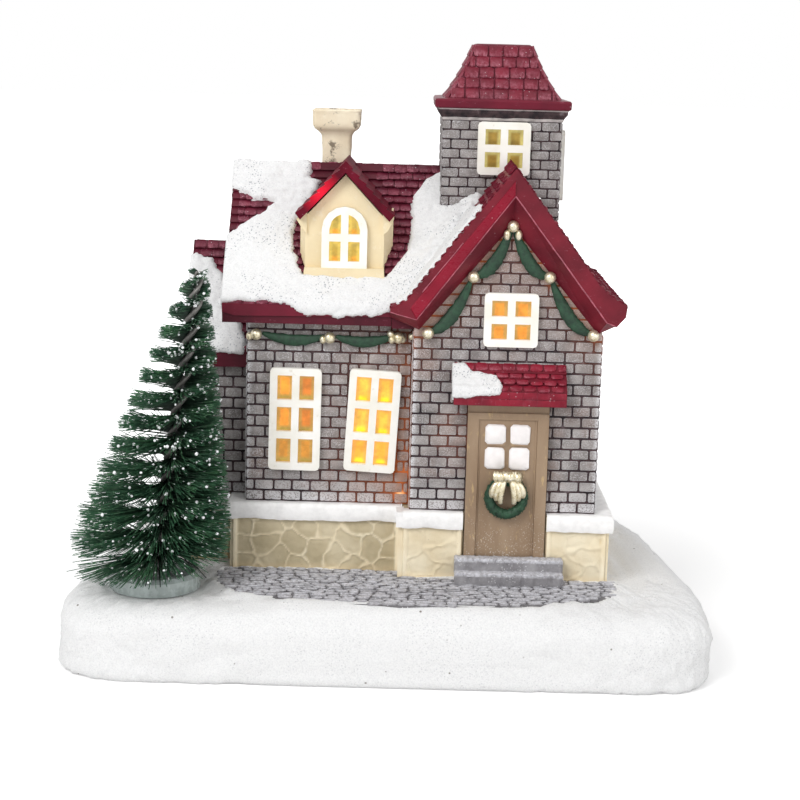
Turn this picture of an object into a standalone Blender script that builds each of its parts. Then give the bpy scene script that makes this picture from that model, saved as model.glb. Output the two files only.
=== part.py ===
"""A lit Christmas village house: a hollow brick cottage with a gabled block and a tower,
a bottle-brush fir beside it, on a snow base that holds two AAA cells, a switch and a lamp.

Metres, +Z up. The front faces -Y, +X is to the right of it, and the origin is at the middle
of the underside. Every length below is a driving size; the places that follow from them are
worked out in the second block, and each piece has its own function after that.
"""

import math

import bmesh
import bpy
from mathutils import Matrix, Vector

# Clearances
SEAT_GAP = 0.0003
SLOPE_GAP = 0.0006
BEYOND = 0.010

# Snow base
BASE_LENGTH = 0.150
BASE_DEPTH = 0.100
BASE_HEIGHT = 0.017
BASE_TAPER = 0.14
BASE_SQUARENESS = 10.0
BASE_TOP_RADIUS = 0.007
BASE_FOOT_RADIUS = 0.002
BASE_OUTLINE_POINTS = 48
BASE_FILLET_STEPS = 4

# Path and steps
PATH_THICKNESS = 0.0008
STEP_WIDTH = 0.0253
STEP_RISE = 0.0028
STEP_TREAD = 0.0026
STEP_COUNT = 2
STEP_SHIFT = 0.0011
PATH_LEFT_BULGE = 0.0012
# The path's front edge, as shares of half the base's length and depth
PATH_EDGE_SHARES = (
    (-0.463, -0.766), (-0.260, -0.874), (0.043, -0.910), (0.345, -0.886), (0.533, -0.824),
    (0.656, -0.758), (0.727, -0.640),
)
PATH_LEFT_SHARE = 0.6

# Main wing
MAIN_LEFT = -0.0344
MAIN_FRONT = -0.016
MAIN_DEPTH = 0.052
WALL_THICKNESS = 0.003
MAIN_EAVE_HEIGHT = 0.0655
MAIN_PITCH = math.radians(46.2)
MAIN_EAVE = 0.004
MAIN_VERGE = 0.0056
ROOF_THICKNESS = 0.0045

# Gable block
BLOCK_LEFT = 0.0048
BLOCK_WIDTH = 0.044
BLOCK_FRONT = -0.021
BLOCK_DEPTH = 0.054
BLOCK_WALL = 0.004
BLOCK_RETURN = 0.008
BLOCK_LEFT_PITCH = math.radians(52.4)
BLOCK_RIGHT_PITCH = math.radians(47.1)
BLOCK_SIDE_EAVE = 0.005
BLOCK_VERGE = 0.005
BLOCK_SOFFIT_HEIGHT = 0.061
BLOCK_EAVE_EDGE = 0.00194
BARGEBOARD_DROP = 0.0052
SOFFIT_DROP = 0.0114

# Plinths
PLINTH_HEIGHT = 0.0168
PLINTH_WALL = 0.005
PLINTH_PROUD = 0.0015
PLINTH_SIDE_PROUD = 0.0031
PLINTH_CAP = 0.0035
PLINTH_CAP_PROUD = 0.001

# Annex
ANNEX_WIDTH = 0.0123
ANNEX_FRONT = -0.009
ANNEX_DEPTH = 0.037
ANNEX_EAVE_HEIGHT = 0.0535
ANNEX_PITCH = math.radians(47.5)
ANNEX_EAVE = 0.003

# Tower
TOWER_LEFT_OF_RIDGE = 0.002
TOWER_FRONT = 0.0
TOWER_SIZE = 0.0284
TOWER_ABOVE_RIDGE = 0.0104
TOWER_CORNICE = 0.0024
TOWER_CORNICE_PROUD = 0.0013
TOWER_EAVE = 0.0018
TOWER_FASCIA = 0.0027
TOWER_ROOF_HEIGHT = 0.0127
TOWER_TOP_SIZE = 0.0156

# Tiles
TILE_COURSE = 0.0024
TILE_STEP = 0.0005

# Dormer and chimney
DORMER_CENTRE_X = -0.012
DORMER_WIDTH = 0.0185
DORMER_FRONT = -0.013
DORMER_RISE = 0.026
DORMER_PITCH = math.radians(46.7)
DORMER_EAVE = 0.0024
DORMER_VERGE = 0.0025
DORMER_ROOF_THICKNESS = 0.0028
DORMER_WALL = 0.002
CHIMNEY_X = -0.01545
CHIMNEY_BEHIND_RIDGE = 0.005
CHIMNEY_SHAFT = 0.0075
CHIMNEY_CAP_SIZE = 0.0122
CHIMNEY_CAP_HEIGHT = 0.0042
CHIMNEY_CORBEL = 0.0030
CHIMNEY_TOP_HEIGHT = 0.1097
FLUE_SIZE = 0.0045
FLUE_DEPTH = 0.003

# Windows
FRAME_THICKNESS = 0.0014
FRAME_BORDER = 0.00175
FRAME_BAR = 0.00175
FRAME_CORNER = 0.0009
FRAME_LAP = 0.0009
PANE_THICKNESS = 0.001
TALL_WINDOW = (0.0122, 0.0246)
SQUARE_WINDOW = (0.0126, 0.0126)
SIDE_WINDOW = (0.0122, 0.0170)
ARCHED_WINDOW = (0.0107, 0.0146)
TALL_WINDOW_SILL = 0.0254
GABLE_SILL_BELOW_RIDGE = 0.0408
TOWER_SILL_BELOW_RIDGE = 0.0025
TOWER_SIDE_BELOW_RIDGE = 0.0090
DORMER_SILL_RISE = 0.0007

# Door
DOOR_RIGHT_OF_RIDGE = 0.0007
DOOR_FRAME_WIDTH = 0.019
DOOR_FRAME_THICKNESS = 0.0022
DOOR_JAMB = 0.0026
DOOR_HEAD = 0.0015
DOOR_SILL_HEIGHT = 0.0057
DOOR_THICKNESS = 0.0016
DOOR_LIGHT_PROUD = 0.0004
CANOPY_WIDTH = 0.0262
CANOPY_HEIGHT = 0.009
CANOPY_FASCIA = 0.0036
CANOPY_DEPTH = 0.0057
CANOPY_OVER_DOOR = 0.0024
CANOPY_BELOW_SOFFIT = 0.0079

# Wreath and garlands
WREATH_DIAMETER = 0.011
WREATH_TUBE = 0.0013
WREATH_HEIGHT = 0.0205
BOW_LOOP = 0.0011
BALL_DIAMETER = 0.0027
SWAG_RADIUS = 0.0008
SWAG_SAG = 0.0016

# Bottle-brush tree
TREE_RIGHT_OF_MIDDLE = 0.0007
TREE_BEHIND_MIDDLE = 0.0015
TREE_TOP_SHIFT = 0.0101
TREE_HEIGHT = 0.0749
TREE_DISC_DIAMETER = 0.021
TREE_DISC_HEIGHT = 0.004
TREE_SOCKET_DIAMETER = 0.0046
TREE_SOCKET_DEPTH = 0.003
WIRE_DIAMETER = 0.0011
WIRE_TURN = 0.0105
WIRE_POINTS_PER_TURN = 8
BRISTLE_STRIP = 0.0004
BRISTLE_STRIP_HALF_WIDTH = 0.0017
BRISTLE_ROWS = 160
BRISTLE_REACH = 0.0182
BRISTLE_TIP_REACH = 0.0016
BRISTLE_TIP = 0.00007
BRISTLE_FOOT = 0.0046
BRISTLE_DROOP = math.radians(9.0)
BRISTLE_LIFT = math.radians(14.0)

# Battery and lamp unit
CELL_DIAMETER = 0.0105
CELL_LENGTH = 0.0445
CELL_NUB_DIAMETER = 0.0038
CELL_NUB = 0.0008
CELL_SPACING = 0.0008
UNIT_X = 0.0
UNIT_Y = 0.008
UNIT_CLEARANCE_UNDER = 0.001
BAY_SIDE_CLEARANCE = 0.0004
BAY_HEAD_CLEARANCE = 0.001
SPRING_LENGTH = 0.0051
BOX_WALL = 0.0016
HINGE_END_WALL = 0.0034
FLANGE_THICKNESS = 0.002
FLANGE_MARGIN = 0.003
SWITCH_END = 0.0205
COVER_THICKNESS = 0.0016
COVER_LAP = 0.0005
COVER_TAB_LENGTH = 0.0075
COVER_TAB_WIDTH = 0.0085
TONGUE_LENGTH = 0.002
TONGUE_WIDTH = 0.004
TONGUE_THICKNESS = 0.0008
TONGUE_SPACING = 0.012
TONGUE_SLOT_HEIGHT = 0.0023
SCREW_HEAD_DIAMETER = 0.004
SCREW_HEAD_HEIGHT = 0.0009
SCREW_DIAMETER = 0.002
SCREW_ENGAGEMENT = 0.0033
SCREW_CROSS = 0.0005
BOSS_HEIGHT = 0.0065
SWITCH_TRAVEL = 0.003
SWITCH_KNOB = 0.0022
SWITCH_BODY_LENGTH = 0.0055
SWITCH_BODY_WIDTH = 0.0045
SWITCH_BODY_HEIGHT = 0.002
SWITCH_PROUD = 0.0004
SPRING_WIRE = 0.0005
SPRING_DIAMETER = 0.006
SPRING_TURNS = 4
SPRING_POINTS_PER_TURN = 9
CONTACT_THICKNESS = 0.0005
POST_DIAMETER = 0.008
POST_BORE = 0.0052
POST_HEIGHT = 0.0245
POST_FOOT_DIAMETER = 0.012
POST_FOOT_HEIGHT = 0.0012
LAMP_DIAMETER = 0.005
LAMP_RIM = 0.0009
LAMP_RIM_HEIGHT = 0.001
LAMP_HEIGHT = 0.0076
LAMP_X = -0.004
LEAD_DIAMETER = 0.001
LEAD_SPACING = 0.0026
LEAD_BEND = 0.0018

# Snow on the roofs. The outlines are shares of the slope's length and of its run from the ridge.
SNOW_THICKNESS = 0.0012
MAIN_SNOW_SHARES = (
    (0.018, 0.020), (0.281, 0.020), (0.281, 0.150), (0.232, 0.233), (0.225, 0.417),
    (0.259, 0.683), (0.281, 0.800), (0.554, 0.800), (0.632, 0.600), (0.656, 0.433),
    (0.656, 0.283), (0.698, 0.133), (0.746, 0.100), (0.778, 0.250), (0.838, 0.250),
    (0.778, 0.633), (0.659, 0.873), (0.569, 0.987), (0.240, 0.987), (0.150, 0.933),
    (0.006, 0.953), (0.018, 0.550), (0.075, 0.400), (0.133, 0.300), (0.070, 0.217),
    (0.027, 0.183),
)
ANNEX_SNOW_SHARES = (
    (0.065, 0.256), (0.327, 0.279), (0.588, 0.512), (0.987, 0.944), (0.804, 0.986),
    (0.392, 0.986), (0.065, 0.600),
)
CANOPY_SNOW_SHARES = (
    (0.015, 0.211), (0.115, 0.211), (0.183, 0.456), (0.382, 0.561), (0.412, 0.842),
    (0.374, 1.000), (0.160, 1.000), (0.015, 0.947),
)

# Places that follow from the sizes
BASE_TOP = BASE_HEIGHT
PLINTH_FOOT = BASE_TOP + SEAT_GAP
PLINTH_TOP = PLINTH_FOOT + PLINTH_HEIGHT
WALL_FOOT = PLINTH_TOP + SEAT_GAP

MAIN_RIGHT = BLOCK_LEFT - SEAT_GAP
MAIN_BACK = MAIN_FRONT + MAIN_DEPTH
MAIN_RIDGE_Y = MAIN_FRONT + MAIN_DEPTH / 2
MAIN_EAVE_Z = BASE_TOP + MAIN_EAVE_HEIGHT
MAIN_RUN = MAIN_DEPTH / 2 + MAIN_EAVE
MAIN_SLOPE = math.tan(MAIN_PITCH)
MAIN_RIDGE_Z = MAIN_EAVE_Z + MAIN_RUN * MAIN_SLOPE
MAIN_ROOF_LEFT = MAIN_LEFT - MAIN_VERGE

BLOCK_RIGHT = BLOCK_LEFT + BLOCK_WIDTH
BLOCK_BACK = BLOCK_FRONT + BLOCK_DEPTH
BLOCK_RIDGE_X = BLOCK_LEFT + BLOCK_WIDTH / 2
BLOCK_LEFT_SLOPE = math.tan(BLOCK_LEFT_PITCH)
BLOCK_RIGHT_SLOPE = math.tan(BLOCK_RIGHT_PITCH)
BLOCK_ROOF_LEFT = BLOCK_LEFT - BLOCK_SIDE_EAVE
BLOCK_ROOF_RIGHT = BLOCK_RIGHT + BLOCK_SIDE_EAVE
BLOCK_SOFFIT_Z = BASE_TOP + BLOCK_SOFFIT_HEIGHT
BLOCK_RIDGE_Z = (BLOCK_SOFFIT_Z + BLOCK_EAVE_EDGE
                 + (BLOCK_RIDGE_X - BLOCK_ROOF_LEFT) * BLOCK_LEFT_SLOPE)
BLOCK_ROOF_FRONT = BLOCK_FRONT - BLOCK_VERGE
BLOCK_ROOF_BACK = BLOCK_BACK + BLOCK_VERGE

MAIN_PLINTH_LEFT = MAIN_LEFT - PLINTH_SIDE_PROUD
MAIN_PLINTH_FRONT = MAIN_FRONT - PLINTH_PROUD
BLOCK_PLINTH_LEFT = BLOCK_LEFT - PLINTH_PROUD
BLOCK_PLINTH_FRONT = BLOCK_FRONT - PLINTH_PROUD

ANNEX_RIGHT = MAIN_LEFT - SEAT_GAP
ANNEX_LEFT = ANNEX_RIGHT - ANNEX_WIDTH
ANNEX_BACK = ANNEX_FRONT + ANNEX_DEPTH
ANNEX_RUN = ANNEX_DEPTH / 2 + ANNEX_EAVE
ANNEX_RIDGE_Y = ANNEX_FRONT + ANNEX_DEPTH / 2
ANNEX_EAVE_Z = BASE_TOP + ANNEX_EAVE_HEIGHT
ANNEX_SLOPE = math.tan(ANNEX_PITCH)
ANNEX_RIDGE_Z = ANNEX_EAVE_Z + ANNEX_RUN * ANNEX_SLOPE

TOWER_CENTRE_X = BLOCK_RIDGE_X - TOWER_LEFT_OF_RIDGE
TOWER_CENTRE_Y = TOWER_FRONT + TOWER_SIZE / 2
TOWER_CORNICE_Z = BLOCK_RIDGE_Z + TOWER_ABOVE_RIDGE
TOWER_TOP_OF_WALL = TOWER_CORNICE_Z + TOWER_CORNICE

DORMER_FOOT_Z = MAIN_RIDGE_Z - (MAIN_RIDGE_Y - DORMER_FRONT) * MAIN_SLOPE
DORMER_APEX_Z = DORMER_FOOT_Z + DORMER_RISE
DORMER_WINDOW_SILL = DORMER_FOOT_Z + DORMER_SILL_RISE - BASE_TOP
DORMER_SLOPE = math.tan(DORMER_PITCH)
DORMER_RUN = DORMER_WIDTH / 2 + DORMER_EAVE
CHIMNEY_Y = MAIN_RIDGE_Y + CHIMNEY_BEHIND_RIDGE

GABLE_WINDOW_SILL = BLOCK_RIDGE_Z - GABLE_SILL_BELOW_RIDGE - BASE_TOP
TOWER_WINDOW_SILL = BLOCK_RIDGE_Z - TOWER_SILL_BELOW_RIDGE - BASE_TOP
TOWER_SIDE_SILL = BLOCK_RIDGE_Z - TOWER_SIDE_BELOW_RIDGE - BASE_TOP

DOOR_CENTRE_X = BLOCK_RIDGE_X + DOOR_RIGHT_OF_RIDGE
DOOR_FOOT_Z = BASE_TOP + DOOR_SILL_HEIGHT
DOOR_BACK_Y = BLOCK_FRONT - SEAT_GAP
DOOR_FRAME_FRONT_Y = DOOR_BACK_Y - DOOR_FRAME_THICKNESS
DOOR_LEAF_FRONT_Y = DOOR_BACK_Y - DOOR_THICKNESS
CANOPY_FOOT_Z = BLOCK_SOFFIT_Z - CANOPY_BELOW_SOFFIT - CANOPY_HEIGHT
DOOR_TOP_Z = CANOPY_FOOT_Z - CANOPY_OVER_DOOR

PATH_FOOT = BASE_TOP + SEAT_GAP
PATH_TOP = PATH_FOOT + PATH_THICKNESS

TREE_X = (MAIN_LEFT - BASE_LENGTH / 2) / 2 + TREE_RIGHT_OF_MIDDLE
TREE_Y = (MAIN_FRONT - BASE_DEPTH / 2) / 2 + TREE_BEHIND_MIDDLE
TREE_DISC_FOOT = BASE_TOP + SEAT_GAP
TREE_DISC_TOP = TREE_DISC_FOOT + TREE_DISC_HEIGHT
TREE_STEM_FOOT = TREE_DISC_TOP - TREE_SOCKET_DEPTH + SEAT_GAP
TREE_TOP = BASE_TOP + TREE_HEIGHT
WIRE_OFFSET = BRISTLE_STRIP / 2 + SEAT_GAP + WIRE_DIAMETER / 2

CELL_PITCH = CELL_DIAMETER + CELL_SPACING
BAY_LENGTH = CELL_LENGTH + SPRING_LENGTH + CONTACT_THICKNESS + 3 * SEAT_GAP
BAY_WIDTH = CELL_PITCH + CELL_DIAMETER + 2 * BAY_SIDE_CLEARANCE
BAY_HEIGHT = CELL_DIAMETER + BAY_HEAD_CLEARANCE
UNIT_FOOT = UNIT_CLEARANCE_UNDER
COVER_TOP = UNIT_FOOT + COVER_THICKNESS
BAY_FLOOR = COVER_TOP + SEAT_GAP
BAY_ROOF = BAY_FLOOR + BAY_HEIGHT
BOX_TOP = BAY_ROOF + BOX_WALL
FLANGE_TOP = UNIT_FOOT + FLANGE_THICKNESS
BAY_LEFT = UNIT_X - BAY_LENGTH / 2
BAY_RIGHT = UNIT_X + BAY_LENGTH / 2
BOX_LEFT = BAY_LEFT - HINGE_END_WALL
BOX_RIGHT = BAY_RIGHT + BOX_WALL
BOX_HALF_WIDTH = BAY_WIDTH / 2 + BOX_WALL
FLANGE_LEFT = BOX_LEFT - FLANGE_MARGIN
FLANGE_RIGHT = BOX_RIGHT + SWITCH_END
FLANGE_HALF_WIDTH = BOX_HALF_WIDTH + FLANGE_MARGIN
COVER_LEFT = BAY_LEFT - COVER_LAP
COVER_RIGHT = BAY_RIGHT + COVER_LAP
COVER_HALF_WIDTH = BAY_WIDTH / 2 + COVER_LAP + SEAT_GAP
SCREW_X = COVER_RIGHT + COVER_TAB_LENGTH / 2
SWITCH_ROOM_END = FLANGE_RIGHT - FLANGE_MARGIN
SWITCH_X = SWITCH_ROOM_END - 2 * SEAT_GAP - SWITCH_TRAVEL - SWITCH_BODY_LENGTH / 2
CELL_Z = BAY_FLOOR + SEAT_GAP + CELL_DIAMETER / 2
LAMP_FOOT = BOX_TOP + SEAT_GAP + POST_HEIGHT + SEAT_GAP


def finish(name, colour, roughness, metallic=0.0, alpha=1.0):
    """One Principled material."""
    material = bpy.data.materials.new(name)
    material.use_nodes = True
    shader = material.node_tree.nodes["Principled BSDF"]
    shader.inputs["Base Color"].default_value = (*colour, 1.0)
    shader.inputs["Roughness"].default_value = roughness
    shader.inputs["Metallic"].default_value = metallic
    shader.inputs["Alpha"].default_value = alpha
    return material


def make_finishes():
    return {
        "snow": finish("snow", (0.93, 0.94, 0.95), 0.75),
        "cobble": finish("cobble", (0.38, 0.38, 0.42), 0.8),
        "brick": finish("brick", (0.36, 0.33, 0.37), 0.75),
        "plinth": finish("plinth", (0.72, 0.62, 0.42), 0.7),
        "roof": finish("roof", (0.33, 0.035, 0.06), 0.45),
        "cream": finish("cream", (0.80, 0.70, 0.52), 0.6),
        "door": finish("door", (0.36, 0.26, 0.17), 0.6),
        "frame": finish("frame", (0.90, 0.87, 0.76), 0.4),
        "amber": finish("amber", (0.95, 0.52, 0.10), 0.25),
        "garland": finish("garland", (0.03, 0.14, 0.06), 0.8),
        "gold": finish("gold", (0.75, 0.62, 0.32), 0.3, 1.0),
        "bristle": finish("bristle", (0.03, 0.13, 0.05), 0.6),
        "wire": finish("wire", (0.09, 0.10, 0.09), 0.4, 1.0),
        "disc": finish("disc", (0.55, 0.62, 0.58), 0.4),
        "housing": finish("housing", (0.85, 0.85, 0.83), 0.45),
        "steel": finish("steel", (0.62, 0.62, 0.64), 0.3, 1.0),
        "cell": finish("cell", (0.12, 0.12, 0.13), 0.35),
        "switch": finish("switch", (0.05, 0.05, 0.05), 0.5),
        "lamp": finish("lamp", (0.98, 0.80, 0.45), 0.1),
        "red_lead": finish("red_lead", (0.6, 0.03, 0.03), 0.5),
        "black_lead": finish("black_lead", (0.02, 0.02, 0.02), 0.5),
    }


def placed(axis, a, b, t):
    """The point with a, b in the plane square to the axis and t along it."""
    return {"X": (t, a, b), "Y": (a, t, b), "Z": (a, b, t)}[axis]


def loft(sections):
    """A closed skin through closed sections of equal count, with flat ends."""
    bm = bmesh.new()
    rings = [[bm.verts.new(point) for point in section] for section in sections]
    count = len(rings[0])
    for lower, upper in zip(rings, rings[1:]):
        for i in range(count):
            j = (i + 1) % count
            bm.faces.new((lower[i], lower[j], upper[j], upper[i]))
    bm.faces.new(rings[0])
    bm.faces.new(rings[-1])
    bmesh.ops.recalc_face_normals(bm, faces=bm.faces)
    if bm.calc_volume(signed=True) < 0:
        bmesh.ops.reverse_faces(bm, faces=bm.faces)
    return bm


def prism(outline, axis, low, high):
    """An outline pushed along an axis: (y, z) for X, (x, z) for Y, (x, y) for Z."""
    return loft([[placed(axis, a, b, t) for a, b in outline] for t in (low, high)])


def box(x, y, z):
    return prism([(x[0], y[0]), (x[1], y[0]), (x[1], y[1]), (x[0], y[1])], "Z", *z)


def around(centre, half):
    return centre - half, centre + half


def circle(centre, radius, points):
    steps = (2 * math.pi * i / points for i in range(points))
    return [(centre[0] + radius * math.cos(a), centre[1] + radius * math.sin(a)) for a in steps]


def turned(profile, centre, points=20, axis="Z"):
    """A solid of revolution: (radius, height) pairs from one end to the other."""
    sections = []
    for radius, height in profile:
        ring = circle(centre, radius, points)
        sections.append([placed(axis, a, b, height) for a, b in ring])
    return loft(sections)


def tube(path, radii, sides=6):
    """A round skin along a path, with a radius at each point."""
    points = [Vector(point) for point in path]
    sections = []
    side = None
    for i, point in enumerate(points):
        ahead = points[min(i + 1, len(points) - 1)] - points[max(i - 1, 0)]
        ahead.normalize()
        if side is None:
            side = ahead.orthogonal().normalized()
        side = (side - ahead * side.dot(ahead)).normalized()
        up = ahead.cross(side)
        turn = (2 * math.pi * k / sides for k in range(sides))
        radius = radii[i]
        sections.append([point + (side * math.cos(a) + up * math.sin(a)) * radius for a in turn])
    return loft(sections)


def ball(centre, radius):
    bm = bmesh.new()
    place = Matrix.Translation(centre)
    bmesh.ops.create_icosphere(bm, subdivisions=2, radius=radius, matrix=place)
    return bm


def solid(name, bm, material):
    """The bmesh as an object of the scene."""
    mesh = bpy.data.meshes.new(name)
    bm.to_mesh(mesh)
    bm.free()
    obj = bpy.data.objects.new(name, mesh)
    bpy.context.collection.objects.link(obj)
    obj.data.materials.append(material)
    return obj


def combine(obj, shapes, operation):
    """Booleans the shapes with the object, and keeps the result as its mesh."""
    helpers = []
    for shape in shapes:
        mesh = bpy.data.meshes.new("helper")
        shape.to_mesh(mesh)
        shape.free()
        helper = bpy.data.objects.new("helper", mesh)
        bpy.context.collection.objects.link(helper)
        modifier = obj.modifiers.new("combine", "BOOLEAN")
        modifier.operation = operation
        modifier.solver = "EXACT"
        modifier.object = helper
        helpers.append(helper)
    graph = bpy.context.evaluated_depsgraph_get()
    result = bpy.data.meshes.new_from_object(obj.evaluated_get(graph))
    material = obj.data.materials[0]
    obj.modifiers.clear()
    obj.data = result
    result.materials.clear()
    result.materials.append(material)
    for helper in helpers:
        bpy.data.objects.remove(helper)
    return obj


def cut(obj, *shapes):
    return combine(obj, shapes, "DIFFERENCE")


def join(obj, *shapes):
    return combine(obj, shapes, "UNION")


def rounded(obj, width, segments=1):
    """A bevel on the object's sharp edges."""
    modifier = obj.modifiers.new("edges", "BEVEL")
    modifier.width = width
    modifier.segments = segments
    modifier.limit_method = "ANGLE"
    modifier.angle_limit = math.radians(40)
    return obj


def smooth(obj, angle=35):
    obj.data.shade_smooth()
    obj.data.set_sharp_from_angle(angle=math.radians(angle))
    return obj


def pivot(obj, point):
    """Moves the object's origin to a point of its joint's axis, with the shape left in place."""
    obj.data.transform(Matrix.Translation(-Vector(point)))
    obj.location = point
    return obj


def tiled_slope(low, high):
    """Points up a slope, a saw of tile courses whose butts lie on the straight line."""
    low, high = Vector(low), Vector(high)
    count = max(2, round((high - low).length / TILE_COURSE))
    along = (high - low) / count
    out = Vector((-along.y, along.x)).normalized()
    if out.y < 0:
        out.negate()
    points = [tuple(low)]
    for i in range(1, count):
        butt = low + along * i
        points += [tuple(butt - out * TILE_STEP), tuple(butt)]
    return points


def tiled_gable(left, apex, right):
    """The outer line of a gabled roof from one eave over the ridge to the other."""
    return tiled_slope(left, apex) + [apex] + tiled_slope(right, apex)[::-1]


def under_main_roof(lift=SLOPE_GAP):
    """Everything below the main roof's outer planes."""
    half = MAIN_RUN + SEAT_GAP
    drop = half * MAIN_SLOPE
    outline = [
        (MAIN_RIDGE_Y - half, 0.0),
        (MAIN_RIDGE_Y - half, MAIN_RIDGE_Z + lift - drop),
        (MAIN_RIDGE_Y, MAIN_RIDGE_Z + lift),
        (MAIN_RIDGE_Y + half, MAIN_RIDGE_Z + lift - drop),
        (MAIN_RIDGE_Y + half, 0.0),
    ]
    return prism(outline, "X", MAIN_ROOF_LEFT - BEYOND, BLOCK_RIDGE_X)


def under_block_roof(lift=SLOPE_GAP, low=0.0):
    """Everything below the block roof's outer planes."""
    left = BLOCK_ROOF_LEFT - SEAT_GAP
    right = BLOCK_ROOF_RIGHT + SEAT_GAP
    outline = [
        (left, low),
        (left, BLOCK_RIDGE_Z + lift - (BLOCK_RIDGE_X - left) * BLOCK_LEFT_SLOPE),
        (BLOCK_RIDGE_X, BLOCK_RIDGE_Z + lift),
        (right, BLOCK_RIDGE_Z + lift - (right - BLOCK_RIDGE_X) * BLOCK_RIGHT_SLOPE),
        (right, low),
    ]
    return prism(outline, "Y", BLOCK_ROOF_FRONT - BEYOND, BLOCK_ROOF_BACK + BEYOND)


def inside_tower(grow=SEAT_GAP):
    """The tower's square column, for what stops against it."""
    half = TOWER_SIZE / 2 + grow
    high = TOWER_TOP_OF_WALL + BEYOND
    return box(around(TOWER_CENTRE_X, half), around(TOWER_CENTRE_Y, half), (PLINTH_TOP, high))


def above_main_ceiling():
    """Everything over the underside of the main roof, for the walls that stop below it."""
    half = MAIN_RUN + BEYOND
    apex = MAIN_RIDGE_Z - ROOF_THICKNESS - SLOPE_GAP
    high = MAIN_RIDGE_Z + BEYOND
    outline = [
        (MAIN_RIDGE_Y - half, apex - half * MAIN_SLOPE),
        (MAIN_RIDGE_Y, apex),
        (MAIN_RIDGE_Y + half, apex - half * MAIN_SLOPE),
        (MAIN_RIDGE_Y + half, high),
        (MAIN_RIDGE_Y - half, high),
    ]
    return prism(outline, "X", MAIN_ROOF_LEFT - BEYOND, BLOCK_RIGHT + BEYOND)


def block_inner_line(drop, inset):
    """The underside of the block roof, from its left soffit over the apex to its right one."""
    apex = BLOCK_RIDGE_Z - drop
    return [
        (BLOCK_ROOF_LEFT + inset, BLOCK_SOFFIT_Z),
        (BLOCK_RIDGE_X, apex),
        (BLOCK_ROOF_RIGHT - inset, BLOCK_SOFFIT_Z),
    ]


def block_ceiling_line():
    return block_inner_line(SOFFIT_DROP, BLOCK_SIDE_EAVE)


def above_block_ceiling():
    """Everything over the underside of the block roof, for the walls that stop below it."""
    inner = [(x, z - SLOPE_GAP) for x, z in block_ceiling_line()]
    high = BLOCK_RIDGE_Z + BEYOND
    left = BLOCK_ROOF_LEFT - SEAT_GAP
    right = BLOCK_ROOF_RIGHT + BEYOND
    low = inner[0][1]
    outline = [(left, high), (left, low), *inner, (right, low), (right, high)]
    return prism(outline, "Y", BLOCK_ROOF_FRONT - BEYOND, BLOCK_ROOF_BACK + BEYOND)


def base_outline(inset, height):
    """The base's plan at one height: a squared oval that narrows towards the back."""
    points = []
    for i in range(BASE_OUTLINE_POINTS):
        turn = 2 * math.pi * i / BASE_OUTLINE_POINTS
        cosine, sine = math.cos(turn), math.sin(turn)
        power = 2 / BASE_SQUARENESS
        across = math.copysign(abs(cosine) ** power, cosine)
        deep = math.copysign(abs(sine) ** power, sine)
        back = (deep + 1) / 2
        points.append((across * (1 - BASE_TAPER * back**2), deep))
    widest = max(x for x, _ in points)
    half_length = BASE_LENGTH / 2 - inset
    half_depth = BASE_DEPTH / 2 - inset
    return [(x / widest * half_length, y * half_depth, height) for x, y in points]


def make_snow_base(finishes):
    sections = []
    for i in range(BASE_FILLET_STEPS + 1):
        turn = math.pi / 2 * i / BASE_FILLET_STEPS
        inset = BASE_FOOT_RADIUS * (1 - math.sin(turn))
        height = BASE_FOOT_RADIUS * (1 - math.cos(turn))
        sections.append(base_outline(inset, height))
    for i in range(BASE_FILLET_STEPS + 1):
        turn = math.pi / 2 * i / BASE_FILLET_STEPS
        inset = BASE_TOP_RADIUS * (1 - math.cos(turn))
        height = BASE_HEIGHT - BASE_TOP_RADIUS * (1 - math.sin(turn))
        sections.append(base_outline(inset, height))
    base = solid("snow_base", loft(sections), finishes["snow"])
    gap = SEAT_GAP
    flange_recess = box(
        (FLANGE_LEFT - gap, FLANGE_RIGHT + gap),
        around(UNIT_Y, FLANGE_HALF_WIDTH + gap),
        (-BEYOND, FLANGE_TOP + gap),
    )
    bay_pocket = box(
        (BOX_LEFT - gap, BOX_RIGHT + gap),
        around(UNIT_Y, BOX_HALF_WIDTH + gap),
        (0.0, BASE_HEIGHT + BEYOND),
    )
    far_pocket = box(
        (BOX_RIGHT, SWITCH_ROOM_END),
        around(UNIT_Y, COVER_TAB_WIDTH / 2 + BOX_WALL + gap),
        (0.0, COVER_TOP + BOSS_HEIGHT + 2 * gap),
    )
    return smooth(cut(base, flange_recess, bay_pocket, far_pocket))


def make_path(finishes):
    """The cobbled forecourt: a curved front edge, and a back edge along both plinths."""
    clear = PLINTH_CAP_PROUD + SEAT_GAP
    main_edge = MAIN_PLINTH_FRONT - SEAT_GAP
    block_edge = BLOCK_PLINTH_FRONT - SEAT_GAP
    left = MAIN_PLINTH_LEFT - clear
    right = BLOCK_RIGHT + PLINTH_SIDE_PROUD + clear
    corner = BLOCK_PLINTH_LEFT - SEAT_GAP
    half_length, half_depth = BASE_LENGTH / 2, BASE_DEPTH / 2
    outline = [
        (left, main_edge),
        (left - PATH_LEFT_BULGE, -PATH_LEFT_SHARE * half_depth),
        *((x * half_length, y * half_depth) for x, y in PATH_EDGE_SHARES),
        (right, block_edge),
        (corner, block_edge),
        (corner, main_edge),
    ]
    return solid("cobble_path", prism(outline, "Z", PATH_FOOT, PATH_TOP), finishes["cobble"])


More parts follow.
